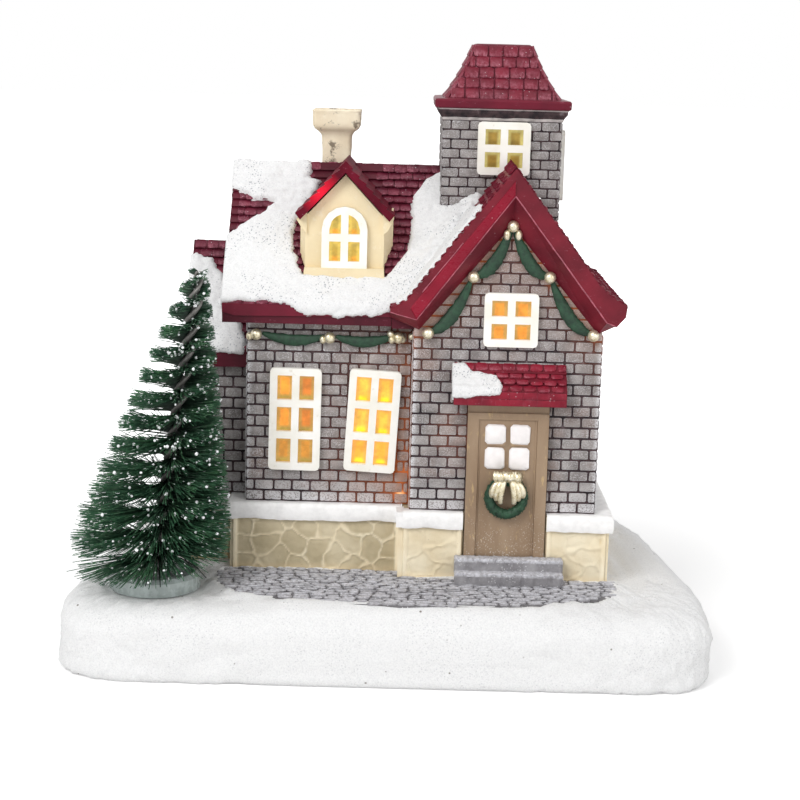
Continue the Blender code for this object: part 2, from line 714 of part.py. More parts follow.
def make_steps(finishes):
    foot = PATH_TOP + SEAT_GAP
    back = DOOR_FRAME_FRONT_Y - SEAT_GAP
    front = back - STEP_TREAD * STEP_COUNT
    outline = [(back, foot), (front, foot)]
    for i in range(STEP_COUNT):
        tread = front + STEP_TREAD * i
        outline.append((tread, foot + STEP_RISE * (i + 1)))
        outline.append((tread + STEP_TREAD, foot + STEP_RISE * (i + 1)))
    middle = DOOR_CENTRE_X + STEP_SHIFT
    bm = prism(outline, "X", *around(middle, STEP_WIDTH / 2))
    return rounded(solid("front_steps", bm, finishes["cobble"]), STEP_RISE / 8)


def channel(left, right, front, back, wall):
    """A plan that is open on the right: front, left and back walls."""
    return [
        (left, front),
        (right, front),
        (right, front + wall),
        (left + wall, front + wall),
        (left + wall, back - wall),
        (right, back - wall),
        (right, back),
        (left, back),
    ]


def hooked_channel(left, right, front, back, wall, reach):
    """A plan that is open on the left, whose ends turn in: the block's walls."""
    return [
        (left, front),
        (right, front),
        (right, back),
        (left, back),
        (left, back - reach),
        (left + wall, back - reach),
        (left + wall, back - wall),
        (right - wall, back - wall),
        (right - wall, front + wall),
        (left + wall, front + wall),
        (left + wall, front + reach),
        (left, front + reach),
    ]


def plinth_levels():
    """The plinth's faces stand plain, then a snowed cap stands proud of them."""
    shoulder = PLINTH_TOP - PLINTH_CAP
    chamfer = PLINTH_CAP_PROUD / 2
    return [
        (PLINTH_FOOT, 0.0),
        (shoulder, 0.0),
        (shoulder + chamfer, PLINTH_CAP_PROUD),
        (PLINTH_TOP - chamfer, PLINTH_CAP_PROUD),
        (PLINTH_TOP, PLINTH_CAP_PROUD - chamfer),
    ]


def make_main_plinth(finishes):
    sections = []
    right = BLOCK_PLINTH_LEFT - SEAT_GAP
    for height, proud in plinth_levels():
        plan = channel(
            MAIN_PLINTH_LEFT - proud,
            right,
            MAIN_PLINTH_FRONT - proud,
            MAIN_BACK + PLINTH_PROUD + proud,
            PLINTH_WALL + proud,
        )
        sections.append([(x, y, height) for x, y in plan])
    return solid("main_plinth", loft(sections), finishes["plinth"])


def make_block_plinth(finishes):
    sections = []
    for height, proud in plinth_levels():
        plan = hooked_channel(
            BLOCK_PLINTH_LEFT,
            BLOCK_RIGHT + PLINTH_SIDE_PROUD + proud,
            BLOCK_PLINTH_FRONT - proud,
            BLOCK_BACK + PLINTH_PROUD + proud,
            PLINTH_WALL + proud,
            BLOCK_RETURN,
        )
        sections.append([(x, y, height) for x, y in plan])
    plinth = solid("block_plinth", loft(sections), finishes["plinth"])
    doorway = box(
        around(DOOR_CENTRE_X, DOOR_FRAME_WIDTH / 2 + SEAT_GAP),
        (BLOCK_PLINTH_FRONT - BEYOND, BLOCK_FRONT),
        (PLINTH_FOOT - BEYOND, PLINTH_TOP + BEYOND),
    )
    return cut(plinth, doorway)


def make_annex_plinth(finishes):
    right = MAIN_PLINTH_LEFT - PLINTH_CAP_PROUD - SEAT_GAP
    sections = []
    for height, proud in plinth_levels():
        left = ANNEX_LEFT - PLINTH_PROUD - proud
        front = ANNEX_FRONT - PLINTH_PROUD - proud
        back = ANNEX_BACK + PLINTH_PROUD + proud
        plan = [(left, front), (right, front), (right, back), (left, back)]
        sections.append([(x, y, height) for x, y in plan])
    return solid("annex_plinth", loft(sections), finishes["plinth"])


def wall_matrix(facing, centre, sill, wall_plane, height, lean=0.0):
    """Stands a flat shape, drawn about its middle, on a wall: y up and z out of the wall."""
    middle = BASE_TOP + sill + height / 2
    if facing == "front":
        place = Matrix.Translation((centre, wall_plane, middle))
        stand = Matrix(((1, 0, 0), (0, 0, -1), (0, 1, 0))).to_4x4()
    elif facing == "right":
        place = Matrix.Translation((wall_plane, centre, middle))
        stand = Matrix(((0, 0, 1), (1, 0, 0), (0, 1, 0))).to_4x4()
    else:
        place = Matrix.Translation((centre, wall_plane, middle))
        stand = Matrix(((-1, 0, 0), (0, 0, 1), (0, 1, 0))).to_4x4()
    return place @ stand @ Matrix.Rotation(-lean, 4, "Z")


def plain_outline(width, height, arched):
    """A window's outline about its middle: a rectangle, or one with a half-round head."""
    x, y = width / 2, height / 2
    if not arched:
        return [(-x, -y), (x, -y), (x, y), (-x, y)]
    spring = y - x
    steps = 8
    head = [(x * math.cos(math.pi * i / steps), spring + x * math.sin(math.pi * i / steps))
            for i in range(steps + 1)]
    return [(-x, -y), (x, -y), *head]


def rounded_outline(width, height, corner):
    points = []
    for i, (sx, sy) in enumerate(((1, 1), (-1, 1), (-1, -1), (1, -1))):
        centre = (sx * (width / 2 - corner), sy * (height / 2 - corner))
        for k in range(3):
            turn = math.pi / 2 * (i + k / 2)
            x = centre[0] + corner * math.cos(turn)
            y = centre[1] + corner * math.sin(turn)
            points.append((x, y))
    return points


def light_outlines(width, height, columns, rows, arched):
    """The openings between a frame's bars."""
    inner_width = width - 2 * FRAME_BORDER
    inner_height = height - 2 * FRAME_BORDER
    light_width = (inner_width - (columns - 1) * FRAME_BAR) / columns
    light_height = (inner_height - (rows - 1) * FRAME_BAR) / rows
    radius = inner_width / 2
    spring = inner_height / 2 - radius
    lights = []
    for row in range(rows):
        for column in range(columns):
            x = -inner_width / 2 + column * (light_width + FRAME_BAR)
            y = -inner_height / 2 + row * (light_height + FRAME_BAR)
            low_y, high_y = y, y + light_height
            if arched and row == rows - 1:
                lights.append(quadrant_light(x, light_width, low_y, spring, radius))
                continue
            lights.append([(x, low_y), (x + light_width, low_y),
                           (x + light_width, high_y), (x, high_y)])
    return lights


def quadrant_light(x, width, low_y, spring, radius):
    """An upper light of an arched frame, bounded by the arch on its outer side."""
    steps = 5
    right_half = x > 0
    near = x if right_half else x + width
    points = [(near, low_y)]
    for i in range(steps + 1):
        share = i / steps
        far = near + (width if right_half else -width) * (1 - share)
        rise = spring + math.sqrt(max(radius**2 - far**2, 0.0))
        if i == 0:
            points.append((far, low_y))
        points.append((far, rise if i else max(rise, low_y + FRAME_CORNER)))
    return points


def window_specs():
    """Name, wall, middle along the wall, sill height, wall plane, size, lights, lean, arched."""
    tall, square, side, arch = TALL_WINDOW, SQUARE_WINDOW, SIDE_WINDOW, ARCHED_WINDOW
    tower_right = TOWER_CENTRE_X + TOWER_SIZE / 2
    bay = (MAIN_RIGHT - MAIN_LEFT) / 4
    left_x = MAIN_LEFT + 1.19 * bay
    right_x = MAIN_RIGHT - 0.92 * bay
    side_y = BLOCK_FRONT + BLOCK_DEPTH / 2
    rear_x = MAIN_LEFT + MAIN_PLINTH_LEFT / -2
    gable_x = BLOCK_RIDGE_X + PANE_THICKNESS / 2
    return [
        ("main_window_left", "front", left_x, TALL_WINDOW_SILL, MAIN_FRONT, tall, (2, 3),
         math.radians(0.6), False),
        ("main_window_right", "front", right_x, TALL_WINDOW_SILL, MAIN_FRONT, tall, (2, 3),
         math.radians(2.9), False),
        ("gable_window", "front", gable_x, GABLE_WINDOW_SILL, BLOCK_FRONT, square, (2, 2),
         0.0, False),
        ("tower_window", "front", TOWER_CENTRE_X + PANE_THICKNESS / 2, TOWER_WINDOW_SILL,
         TOWER_FRONT, square, (2, 2), 0.0, False),
        ("tower_side_window", "right", TOWER_CENTRE_Y, TOWER_SIDE_SILL, tower_right, side,
         (2, 2), 0.0, False),
        ("dormer_window", "front", DORMER_CENTRE_X, DORMER_WINDOW_SILL, DORMER_FRONT, arch,
         (2, 2), 0.0, True),
        ("block_side_window", "right", side_y, TALL_WINDOW_SILL, BLOCK_RIGHT, tall, (2, 3),
         0.0, False),
        ("rear_window", "back", rear_x, TALL_WINDOW_SILL, MAIN_BACK, tall, (2, 3), 0.0, False),
    ]


def window_opening(name):
    """The hole that a window's pane sits in, as a cutter for its wall."""
    spec = next(spec for spec in window_specs() if spec[0] == name)
    _, facing, centre, sill, plane, (width, height), _, lean, arched = spec
    lap = 2 * FRAME_LAP
    outline = plain_outline(width - lap, height - lap, arched)
    bm = prism(outline, "Z", -BEYOND, BEYOND / 2)
    bm.transform(wall_matrix(facing, centre, sill, plane, height, lean))
    return bm


def make_windows(finishes):
    for name, facing, centre, sill, plane, (width, height), (columns, rows), lean, arched \
            in window_specs():
        place = wall_matrix(facing, centre, sill, plane, height, lean)
        curve = bpy.data.curves.new(name + "_frame", "CURVE")
        curve.dimensions = "2D"
        curve.fill_mode = "BOTH"
        curve.extrude = FRAME_THICKNESS / 2
        if arched:
            outer = plain_outline(width, height, True)
        else:
            outer = rounded_outline(width, height, FRAME_CORNER)
        for outline in [outer, *light_outlines(width, height, columns, rows, arched)]:
            spline = curve.splines.new("POLY")
            spline.points.add(len(outline) - 1)
            spline.use_cyclic_u = True
            for point, (x, y) in zip(spline.points, outline):
                point.co = (x, y, 0.0, 1.0)
        curve.materials.append(finishes["frame"])
        frame = bpy.data.objects.new(name + "_frame", curve)
        bpy.context.collection.objects.link(frame)
        proud = SEAT_GAP + FRAME_THICKNESS / 2
        frame.matrix_world = place @ Matrix.Translation((0, 0, proud))

        shrink = 2 * (FRAME_LAP + SEAT_GAP)
        outline = plain_outline(width - shrink, height - shrink, arched)
        bm = prism(outline, "Z", -PANE_THICKNESS, 0.0)
        pane = solid(name + "_pane", bm, finishes["amber"])
        pane.matrix_world = place


def make_main_walls(finishes):
    plan = channel(MAIN_LEFT, MAIN_RIGHT, MAIN_FRONT, MAIN_BACK, WALL_THICKNESS)
    walls = solid("main_walls", prism(plan, "Z", WALL_FOOT, MAIN_RIDGE_Z), finishes["brick"])
    openings = [window_opening(name)
                for name in ("main_window_left", "main_window_right", "rear_window")]
    return cut(walls, above_main_ceiling(), above_block_ceiling(), *openings)


def make_block_walls(finishes):
    plan = hooked_channel(
        BLOCK_LEFT, BLOCK_RIGHT, BLOCK_FRONT, BLOCK_BACK, BLOCK_WALL, BLOCK_RETURN
    )
    walls = solid("block_walls", prism(plan, "Z", WALL_FOOT, BLOCK_RIDGE_Z), finishes["brick"])
    openings = [window_opening("gable_window"), window_opening("block_side_window")]
    return cut(walls, above_block_ceiling(), *openings)


def annex_gable(drop, overhang):
    """The annex's ridge and eaves at a depth below its roof's outer planes."""
    half = ANNEX_RUN + overhang
    apex = ANNEX_RIDGE_Z - drop
    return [
        (ANNEX_RIDGE_Y - half, apex - half * ANNEX_SLOPE),
        (ANNEX_RIDGE_Y, apex),
        (ANNEX_RIDGE_Y + half, apex - half * ANNEX_SLOPE),
    ]


def make_annex(finishes):
    left, right = ANNEX_LEFT, ANNEX_RIGHT
    plan = [(left, ANNEX_FRONT), (right, ANNEX_FRONT), (right, ANNEX_BACK), (left, ANNEX_BACK)]
    bm = prism(plan, "Z", WALL_FOOT, ANNEX_RIDGE_Z)
    walls = solid("annex_walls", bm, finishes["brick"])
    ceiling = annex_gable(ROOF_THICKNESS + SLOPE_GAP, BEYOND)
    high = ANNEX_RIDGE_Z + BEYOND
    over = [*ceiling, (ceiling[2][0], high), (ceiling[0][0], high)]
    cut(walls, prism(over, "X", left - BEYOND, right + BEYOND))

    eave_left, ridge, eave_right = annex_gable(0.0, 0.0)
    low = ANNEX_EAVE_Z - ROOF_THICKNESS
    under = [(eave_right[0], low), (ridge[0], ridge[1] - ROOF_THICKNESS), (eave_left[0], low)]
    outline = tiled_gable(eave_left, ridge, eave_right) + under
    bm = prism(outline, "X", left - ANNEX_EAVE, right)
    solid("annex_roof", bm, finishes["roof"])


def square_ring(half, height):
    x, y = TOWER_CENTRE_X, TOWER_CENTRE_Y
    return [(x - half, y - half, height), (x + half, y - half, height),
            (x + half, y + half, height), (x - half, y + half, height)]


def make_tower(finishes):
    half = TOWER_SIZE / 2
    flare = half + TOWER_CORNICE_PROUD
    sections = [
        square_ring(half, PLINTH_TOP),
        square_ring(half, TOWER_CORNICE_Z),
        square_ring(flare, TOWER_TOP_OF_WALL - TOWER_CORNICE_PROUD / 2),
        square_ring(flare, TOWER_TOP_OF_WALL),
    ]
    walls = solid("tower_walls", loft(sections), finishes["brick"])
    bore = half - WALL_THICKNESS
    shaft = box(
        around(TOWER_CENTRE_X, bore), around(TOWER_CENTRE_Y, bore),
        (0.0, TOWER_TOP_OF_WALL + BEYOND),
    )
    cut(walls, shaft, under_block_roof(), window_opening("tower_window"),
        window_opening("tower_side_window"))

    foot = TOWER_TOP_OF_WALL + SEAT_GAP
    eave = flare + TOWER_EAVE / 2
    top_half = TOWER_TOP_SIZE / 2
    sections = [square_ring(eave - TILE_STEP, foot), square_ring(eave, foot + TILE_STEP),
                square_ring(eave, foot + TOWER_FASCIA)]
    courses = max(2, round(TOWER_ROOF_HEIGHT / TILE_COURSE))
    for i in range(courses):
        for share, inset in ((i / courses, 0.0), ((i + 1) / courses, TILE_STEP)):
            # The faces bow in a little, as the photographed roof's do.
            bow = 1 - share + 0.12 * share * (1 - share) * -2
            reach = top_half + (eave - TILE_STEP - top_half) * bow - inset
            height = foot + TOWER_FASCIA + TOWER_ROOF_HEIGHT * share
            if share == 0:
                height += TILE_STEP / 5
            sections.append(square_ring(reach, height - inset / 5))
    return solid("tower_roof", loft(sections), finishes["roof"])


def make_main_roof(finishes):
    eave_left = (MAIN_RIDGE_Y - MAIN_RUN, MAIN_EAVE_Z)
    eave_right = (MAIN_RIDGE_Y + MAIN_RUN, MAIN_EAVE_Z)
    ridge = (MAIN_RIDGE_Y, MAIN_RIDGE_Z)
    under = [
        (eave_right[0], MAIN_EAVE_Z - ROOF_THICKNESS),
        (MAIN_RIDGE_Y, MAIN_RIDGE_Z - ROOF_THICKNESS),
        (eave_left[0], MAIN_EAVE_Z - ROOF_THICKNESS),
    ]
    outline = tiled_gable(eave_left, ridge, eave_right) + under
    bm = prism(outline, "X", MAIN_ROOF_LEFT, BLOCK_RIDGE_X)
    roof = solid("main_roof", bm, finishes["roof"])
    light_well = box(
        around(DORMER_CENTRE_X, DORMER_WIDTH / 2 - 2 * DORMER_WALL),
        (DORMER_FRONT + 2 * DORMER_WALL, MAIN_RIDGE_Y - ROOF_THICKNESS),
        (MAIN_EAVE_Z - BEYOND, MAIN_RIDGE_Z + BEYOND),
    )
    return cut(roof, under_block_roof(), inside_tower(), light_well)


def make_block_roof(finishes):
    """The outer tiled line runs straight back; the underside narrows behind both gable faces,
    as a moulded soffit does."""
    left = (BLOCK_ROOF_LEFT,
            BLOCK_RIDGE_Z - (BLOCK_RIDGE_X - BLOCK_ROOF_LEFT) * BLOCK_LEFT_SLOPE)
    right = (BLOCK_ROOF_RIGHT,
             BLOCK_RIDGE_Z - (BLOCK_ROOF_RIGHT - BLOCK_RIDGE_X) * BLOCK_RIGHT_SLOPE)
    outer = tiled_gable(left, (BLOCK_RIDGE_X, BLOCK_RIDGE_Z), right)
    lip = BLOCK_SIDE_EAVE / 4
    face = block_inner_line(BARGEBOARD_DROP, BLOCK_SIDE_EAVE / 2)
    ceiling = block_ceiling_line()
    right_tip = (BLOCK_ROOF_RIGHT - lip, (right[1] + BLOCK_SOFFIT_Z) / 2 - lip)
    verge = BLOCK_VERGE - SEAT_GAP
    sections = []
    for y, inner in (
        (BLOCK_ROOF_FRONT, face),
        (BLOCK_ROOF_FRONT + verge, ceiling),
        (BLOCK_ROOF_BACK - verge, ceiling),
        (BLOCK_ROOF_BACK, face),
    ):
        outline = [*outer, right_tip, *inner[::-1]]
        sections.append([(x, y, z) for x, z in outline])
    roof = solid("block_roof", loft(sections), finishes["roof"])
    width, height = SQUARE_WINDOW
    low = BASE_TOP + TOWER_WINDOW_SILL - SEAT_GAP
    window_pocket = box(
        around(TOWER_CENTRE_X + PANE_THICKNESS / 2, width / 2 + SEAT_GAP),
        (TOWER_FRONT - FRAME_THICKNESS - 2 * SEAT_GAP, TOWER_FRONT + PANE_THICKNESS + SEAT_GAP),
        (low, low + height),
    )
    return cut(roof, window_pocket)


def dormer_line(drop, overhang):
    half = DORMER_WIDTH / 2 + overhang
    apex = DORMER_APEX_Z - drop
    return [
        (DORMER_CENTRE_X - half, apex - half * DORMER_SLOPE),
        (DORMER_CENTRE_X, apex),
        (DORMER_CENTRE_X + half, apex - half * DORMER_SLOPE),
    ]


def make_dormer(finishes):
    ceiling = dormer_line(DORMER_ROOF_THICKNESS + SLOPE_GAP, 0.0)
    outline = [(ceiling[0][0], MAIN_EAVE_Z), *ceiling, (ceiling[2][0], MAIN_EAVE_Z)]
    back = MAIN_RIDGE_Y
    body = solid("dormer_body", prism(outline, "Y", DORMER_FRONT, back), finishes["cream"])
    room = box(
        around(DORMER_CENTRE_X, DORMER_WIDTH / 2 - DORMER_WALL),
        (DORMER_FRONT + DORMER_WALL, back - 2 * DORMER_WALL),
        (0.0, ceiling[0][1] - DORMER_WALL),
    )
    cut(body, room, under_main_roof(), window_opening("dormer_window"))

    outer = dormer_line(0.0, DORMER_EAVE)
    inner = dormer_line(DORMER_ROOF_THICKNESS, DORMER_EAVE / 2)
    outline = tiled_gable(*outer) + inner[::-1]
    bm = prism(outline, "Y", DORMER_FRONT - DORMER_VERGE, back)
    roof = solid("dormer_roof", bm, finishes["roof"])
    cut(roof, under_main_roof())


def make_chimney(finishes):
    """A square shaft that flares through a corbel to a flat cap with a sunk flue."""
    top = BASE_TOP + CHIMNEY_TOP_HEIGHT
    under_cap = top - CHIMNEY_CAP_HEIGHT
    shaft, cap = CHIMNEY_SHAFT / 2, CHIMNEY_CAP_SIZE / 2
    levels = [
        (shaft, MAIN_EAVE_Z),
        (shaft, under_cap - CHIMNEY_CORBEL),
        ((shaft + 2 * cap) / 3, under_cap - CHIMNEY_CORBEL / 3),
        (cap, under_cap + SEAT_GAP),
        (cap, top - SEAT_GAP),
        (cap - SEAT_GAP, top),
    ]
    sections = []
    for half, height in levels:
        x, y = around(CHIMNEY_X, half), around(CHIMNEY_Y, half)
        plan = [(x[0], y[0]), (x[1], y[0]), (x[1], y[1]), (x[0], y[1])]
        sections.append([(a, b, height) for a, b in plan])
    chimney = solid("chimney", loft(sections), finishes["cream"])
    flue = box(
        around(CHIMNEY_X, FLUE_SIZE / 2), around(CHIMNEY_Y, FLUE_SIZE / 2),
        (top - FLUE_DEPTH, top + BEYOND),
    )
    return cut(chimney, flue, under_main_roof())


def make_door(finishes):
    half = DOOR_FRAME_WIDTH / 2
    depth = (DOOR_FRAME_FRONT_Y, DOOR_BACK_Y)
    frame = solid(
        "door_frame",
        box(around(DOOR_CENTRE_X, half), depth, (DOOR_FOOT_Z, DOOR_TOP_Z)),
        finishes["door"],
    )
    opening_half = half - DOOR_JAMB
    opening = box(
        around(DOOR_CENTRE_X, opening_half), around(DOOR_BACK_Y, BEYOND),
        (DOOR_FOOT_Z - BEYOND, DOOR_TOP_Z - DOOR_HEAD),
    )
    cut(frame, opening)

    leaf_half = opening_half - SEAT_GAP
    leaf_top = DOOR_TOP_Z - DOOR_HEAD - SEAT_GAP
    leaf = solid(
        "door_leaf",
        box(around(DOOR_CENTRE_X, leaf_half), (DOOR_LEAF_FRONT_Y, DOOR_BACK_Y),
            (DOOR_FOOT_Z, leaf_top)),
        finishes["door"],
    )
    light = (leaf_half - DOOR_LIGHT_PROUD) * 0.80
    gap = light * 0.09
    lights = []
    for column in (-1, 1):
        for row in (0, 1):
            near, far = sorted((column * gap, column * light))
            low = leaf_top - 2 * light - DOOR_HEAD + row * (light + gap)
            lights.append(box(
                (DOOR_CENTRE_X + near, DOOR_CENTRE_X + far),
                (DOOR_LEAF_FRONT_Y - DOOR_LIGHT_PROUD, DOOR_BACK_Y - DOOR_THICKNESS / 2),
                (low, low + light - gap),
            ))
    join(leaf, *lights)


def make_canopy(finishes):
    back = BLOCK_FRONT - SEAT_GAP
    front = back - CANOPY_DEPTH
    top = CANOPY_FOOT_Z + CANOPY_HEIGHT
    tiles = tiled_slope((front, CANOPY_FOOT_Z + CANOPY_FASCIA), (back, top))
    outline = [(back, CANOPY_FOOT_Z), (front, CANOPY_FOOT_Z), *tiles, (back, top)]
    half = CANOPY_WIDTH / 2
    bm = prism(outline, "X", DOOR_CENTRE_X - half, DOOR_CENTRE_X + half)
    return solid("door_canopy", bm, finishes["roof"])


def make_wreath(finishes):
    """A ring of greenery on the door, with a bow over its top."""
    ring_radius = WREATH_DIAMETER / 2 - WREATH_TUBE
    front_y = DOOR_LEAF_FRONT_Y - SEAT_GAP - WREATH_TUBE
    centre_z = BASE_TOP + WREATH_HEIGHT
    bm = bmesh.new()
    rings = []
    around_ring, around_tube = 18, 6
    for i in range(around_ring):
        turn = 2 * math.pi * i / around_ring
        ring = []
        for k in range(around_tube):
            lap = 2 * math.pi * k / around_tube
            reach = ring_radius + WREATH_TUBE * math.cos(lap)
            x = DOOR_CENTRE_X + reach * math.cos(turn)
            z = centre_z + reach * math.sin(turn)
            ring.append(bm.verts.new((x, front_y + WREATH_TUBE * math.sin(lap), z)))
        rings.append(ring)
    for i in range(around_ring):
        here, there = rings[i], rings[(i + 1) % around_ring]
        for k in range(around_tube):
            j = (k + 1) % around_tube
            bm.faces.new((here[k], here[j], there[j], there[k]))
    bmesh.ops.recalc_face_normals(bm, faces=bm.faces)
    smooth(solid("wreath", bm, finishes["garland"]), 80)

    bow_y = front_y - WREATH_TUBE - SEAT_GAP - BOW_LOOP / 2
    bow_z = centre_z + ring_radius
    knot = ball((DOOR_CENTRE_X, bow_y, bow_z), BOW_LOOP * 0.75)
    bow = solid("wreath_bow", knot, finishes["gold"])
    parts = []
    for side in (-1, 1):
        loop = [(DOOR_CENTRE_X + side * BOW_LOOP * (1.6 * math.sin(math.pi * s)),
                 bow_y,
                 bow_z + BOW_LOOP * (1.5 * math.sin(math.pi * s) + 1.1 * math.cos(math.pi * s)))
                for s in (0.12, 0.3, 0.5, 0.7, 0.88)]
        tail = [(DOOR_CENTRE_X, bow_y, bow_z),
                (DOOR_CENTRE_X + side * BOW_LOOP, bow_y, bow_z - BOW_LOOP * 1.6),
                (DOOR_CENTRE_X + side * BOW_LOOP * 1.3, bow_y, bow_z - BOW_LOOP * 3.2)]
        parts.append(tube([(DOOR_CENTRE_X, bow_y, bow_z), *loop], [BOW_LOOP * 0.3] * 6, 5))
        parts.append(tube(tail, [BOW_LOOP * 0.3] * 3, 5))
    join(bow, *parts)


def swag(start, end, depth):
    """A drooping stretch of greenery, fullest at its middle."""
    steps = 8
    path, radii = [], []
    for i in range(steps + 1):
        share = i / steps
        sag = 4 * share * (1 - share)
        x = start[0] + (end[0] - start[0]) * share
        z = start[1] + (end[1] - start[1]) * share - SWAG_SAG * sag
        path.append((x, depth, z))
        radii.append(SWAG_RADIUS * (0.55 + 0.45 * sag))
    return tube(path, radii)


def make_garland(name, hooks, wall_plane, finishes):
    depth = wall_plane - SEAT_GAP - BALL_DIAMETER / 2
    balls = [ball((x, depth, z), BALL_DIAMETER / 2) for x, z in hooks]
    swags = [swag(start, end, depth) for start, end in zip(hooks, hooks[1:])]
    garland = solid(name, swags[0], finishes["garland"])
    return join(garland, *swags[1:], *balls)


def make_garlands(finishes):
    """Hooks lie under the eave and down both slopes of the gable."""
    clear = BALL_DIAMETER * 0.95
    eave_z = MAIN_EAVE_Z - ROOF_THICKNESS - clear - BALL_DIAMETER / 4
    first = MAIN_LEFT + BALL_DIAMETER * 0.8
    last = MAIN_RIGHT - BALL_DIAMETER * 1.1
    eave_hooks = [(first, eave_z), ((first + last) / 2, eave_z - SEAT_GAP), (last, eave_z)]
    make_garland("eave_garland", eave_hooks, MAIN_FRONT, finishes)

    left_end, apex, right_end = block_ceiling_line()
    hooks = []
    for end, share, drop in ((left_end, 0.141, 2.0), (left_end, 0.605, 1.18), (apex, 1.0, 1.0),
                             (right_end, 0.586, 1.0), (right_end, 0.109, 1.3)):
        x = end[0] + (apex[0] - end[0]) * share
        z = end[1] + (apex[1] - end[1]) * share
        hooks.append((x, z - drop * BALL_DIAMETER))
    make_garland("gable_garland", hooks, BLOCK_FRONT, finishes)


def stem_point(height):
    """The middle of the leaning stem at a height."""
    share = (height - TREE_DISC_TOP) / (TREE_TOP - TREE_DISC_TOP)
    return Vector((TREE_X + TREE_TOP_SHIFT * share, TREE_Y, height))


def twist_at(height):
    return 2 * math.pi * (height - TREE_STEM_FOOT) / WIRE_TURN


def make_tree_wires(finishes):
    """Two wires wound round each other, with the bristles caught between them."""
    turns = (TREE_TOP - TREE_STEM_FOOT) / WIRE_TURN
    count = round(turns * WIRE_POINTS_PER_TURN)
    for name, start in (("tree_wire_a", math.pi / 2), ("tree_wire_b", -math.pi / 2)):
        curve = bpy.data.curves.new(name, "CURVE")
        curve.dimensions = "3D"
        curve.bevel_depth = WIRE_DIAMETER / 2
        curve.bevel_resolution = 1
        curve.use_fill_caps = True
        spline = curve.splines.new("POLY")
        spline.points.add(count)
        for i, point in enumerate(spline.points):
            height = TREE_STEM_FOOT + (TREE_TOP - TREE_STEM_FOOT) * i / count
            angle = twist_at(height) + start
            offset = Vector((math.cos(angle), math.sin(angle), 0)) * WIRE_OFFSET
            point.co = (*(stem_point(height) + offset), 1.0)
        curve.materials.append(finishes["wire"])
        wire = bpy.data.objects.new(name, curve)
        bpy.context.collection.objects.link(wire)
    report_gap("tree wire", WIRE_OFFSET, WIRE_TURN, WIRE_DIAMETER)


def report_gap(name, radius, pitch, diameter):
    """Prints the least gap between a helix and its own next turn, measured on points."""
    steps = 48
    least = pitch
    for i in range(steps):
        turn = 2 * math.pi * (0.5 + i / steps)
        chord = 2 * radius * math.sin(turn / 2)
        least = min(least, math.hypot(chord, pitch * turn / (2 * math.pi)))
    print(f"{name}: least gap to itself {(least - diameter) * 1000:.2f} mm")


def bristle_reach(share):
    """How far a bristle stands from the stem, from the foot of the tree to its tip."""
    return BRISTLE_TIP_REACH + (BRISTLE_REACH - BRISTLE_TIP_REACH) * (1 - share) ** 0.95


def make_tree_bristles(finishes):
    """A thin strip twisted with the wires, whose two long edges are drawn out into strands.

    Strand and plain faces take turns along each edge, so that no two strands share a side."""
    low = TREE_DISC_TOP + BRISTLE_FOOT
    high = TREE_TOP - 2 * WIRE_DIAMETER
    pitch = (high - low) / BRISTLE_ROWS
    bm = bmesh.new()
    rows = []
    for i in range(2 * BRISTLE_ROWS + 1):
        height = low + pitch * (i // 2) + (0.62 * pitch if i % 2 else 0.0)
        angle = twist_at(height)
        out = Vector((math.cos(angle), math.sin(angle), 0))
        side = Vector((-math.sin(angle), math.cos(angle), 0))
        middle = stem_point(height)
        reach, half = out * BRISTLE_STRIP_HALF_WIDTH, side * BRISTLE_STRIP / 2
        corners = (reach - half, reach + half, half - reach, -half - reach)
        rows.append([bm.verts.new(middle + corner) for corner in corners])
    bm.faces.new(rows[0])
    bm.faces.new(rows[-1])
    edge_faces = []
    for i, (lower, upper) in enumerate(zip(rows, rows[1:])):
        for k in range(4):
            j = (k + 1) % 4
            face = bm.faces.new((lower[k], lower[j], upper[j], upper[k]))
            if k in (0, 2) and i % 2 == 0:
                edge_faces.append((face, 1 if k == 0 else -1))
    bmesh.ops.recalc_face_normals(bm, faces=bm.faces)
    for number, (face, way) in enumerate(edge_faces):
        share = number / len(edge_faces)
        middle = face.calc_center_median()
        angle = twist_at(middle.z)
        droop = -BRISTLE_DROOP * (1 - share) + BRISTLE_LIFT * share
        droop += BRISTLE_DROOP / 3 * math.sin(number * 0.11)
        out = Vector((math.cos(angle), math.sin(angle), 0)) * way
        ray = out * math.cos(droop) + Vector((0, 0, math.sin(droop)))
        reach = bristle_reach(share) * (0.93 + 0.07 * math.sin(number * 1.7))
        length = reach - BRISTLE_STRIP_HALF_WIDTH
        tip = bmesh.ops.extrude_discrete_faces(bm, faces=[face])["faces"][0]
        centre = middle + ray * length
        across = ray.cross(Vector((0, 0, 1))).normalized()
        for vert in tip.verts:
            offset = vert.co - middle
            side = math.copysign(BRISTLE_TIP, offset.dot(across))
            rise = math.copysign(BRISTLE_TIP, offset.z)
            vert.co = centre + across * side + Vector((0, 0, rise))
    solid("tree_bristles", bm, finishes["bristle"])


def make_tree(finishes):
    low, high = TREE_DISC_FOOT, TREE_DISC_TOP
    radius = TREE_DISC_DIAMETER / 2
    profile = [(radius, low), (radius, high - SEAT_GAP * 3), (radius - SEAT_GAP * 3, high)]
    disc = solid("tree_disc", turned(profile, (TREE_X, TREE_Y), 28), finishes["disc"])
    socket = turned(
        [(TREE_SOCKET_DIAMETER / 2, high - TREE_SOCKET_DEPTH),
         (TREE_SOCKET_DIAMETER / 2, high + BEYOND)],
        (TREE_X, TREE_Y), 16,
    )
    smooth(cut(disc, socket))
    make_tree_wires(finishes)
    make_tree_bristles(finishes)


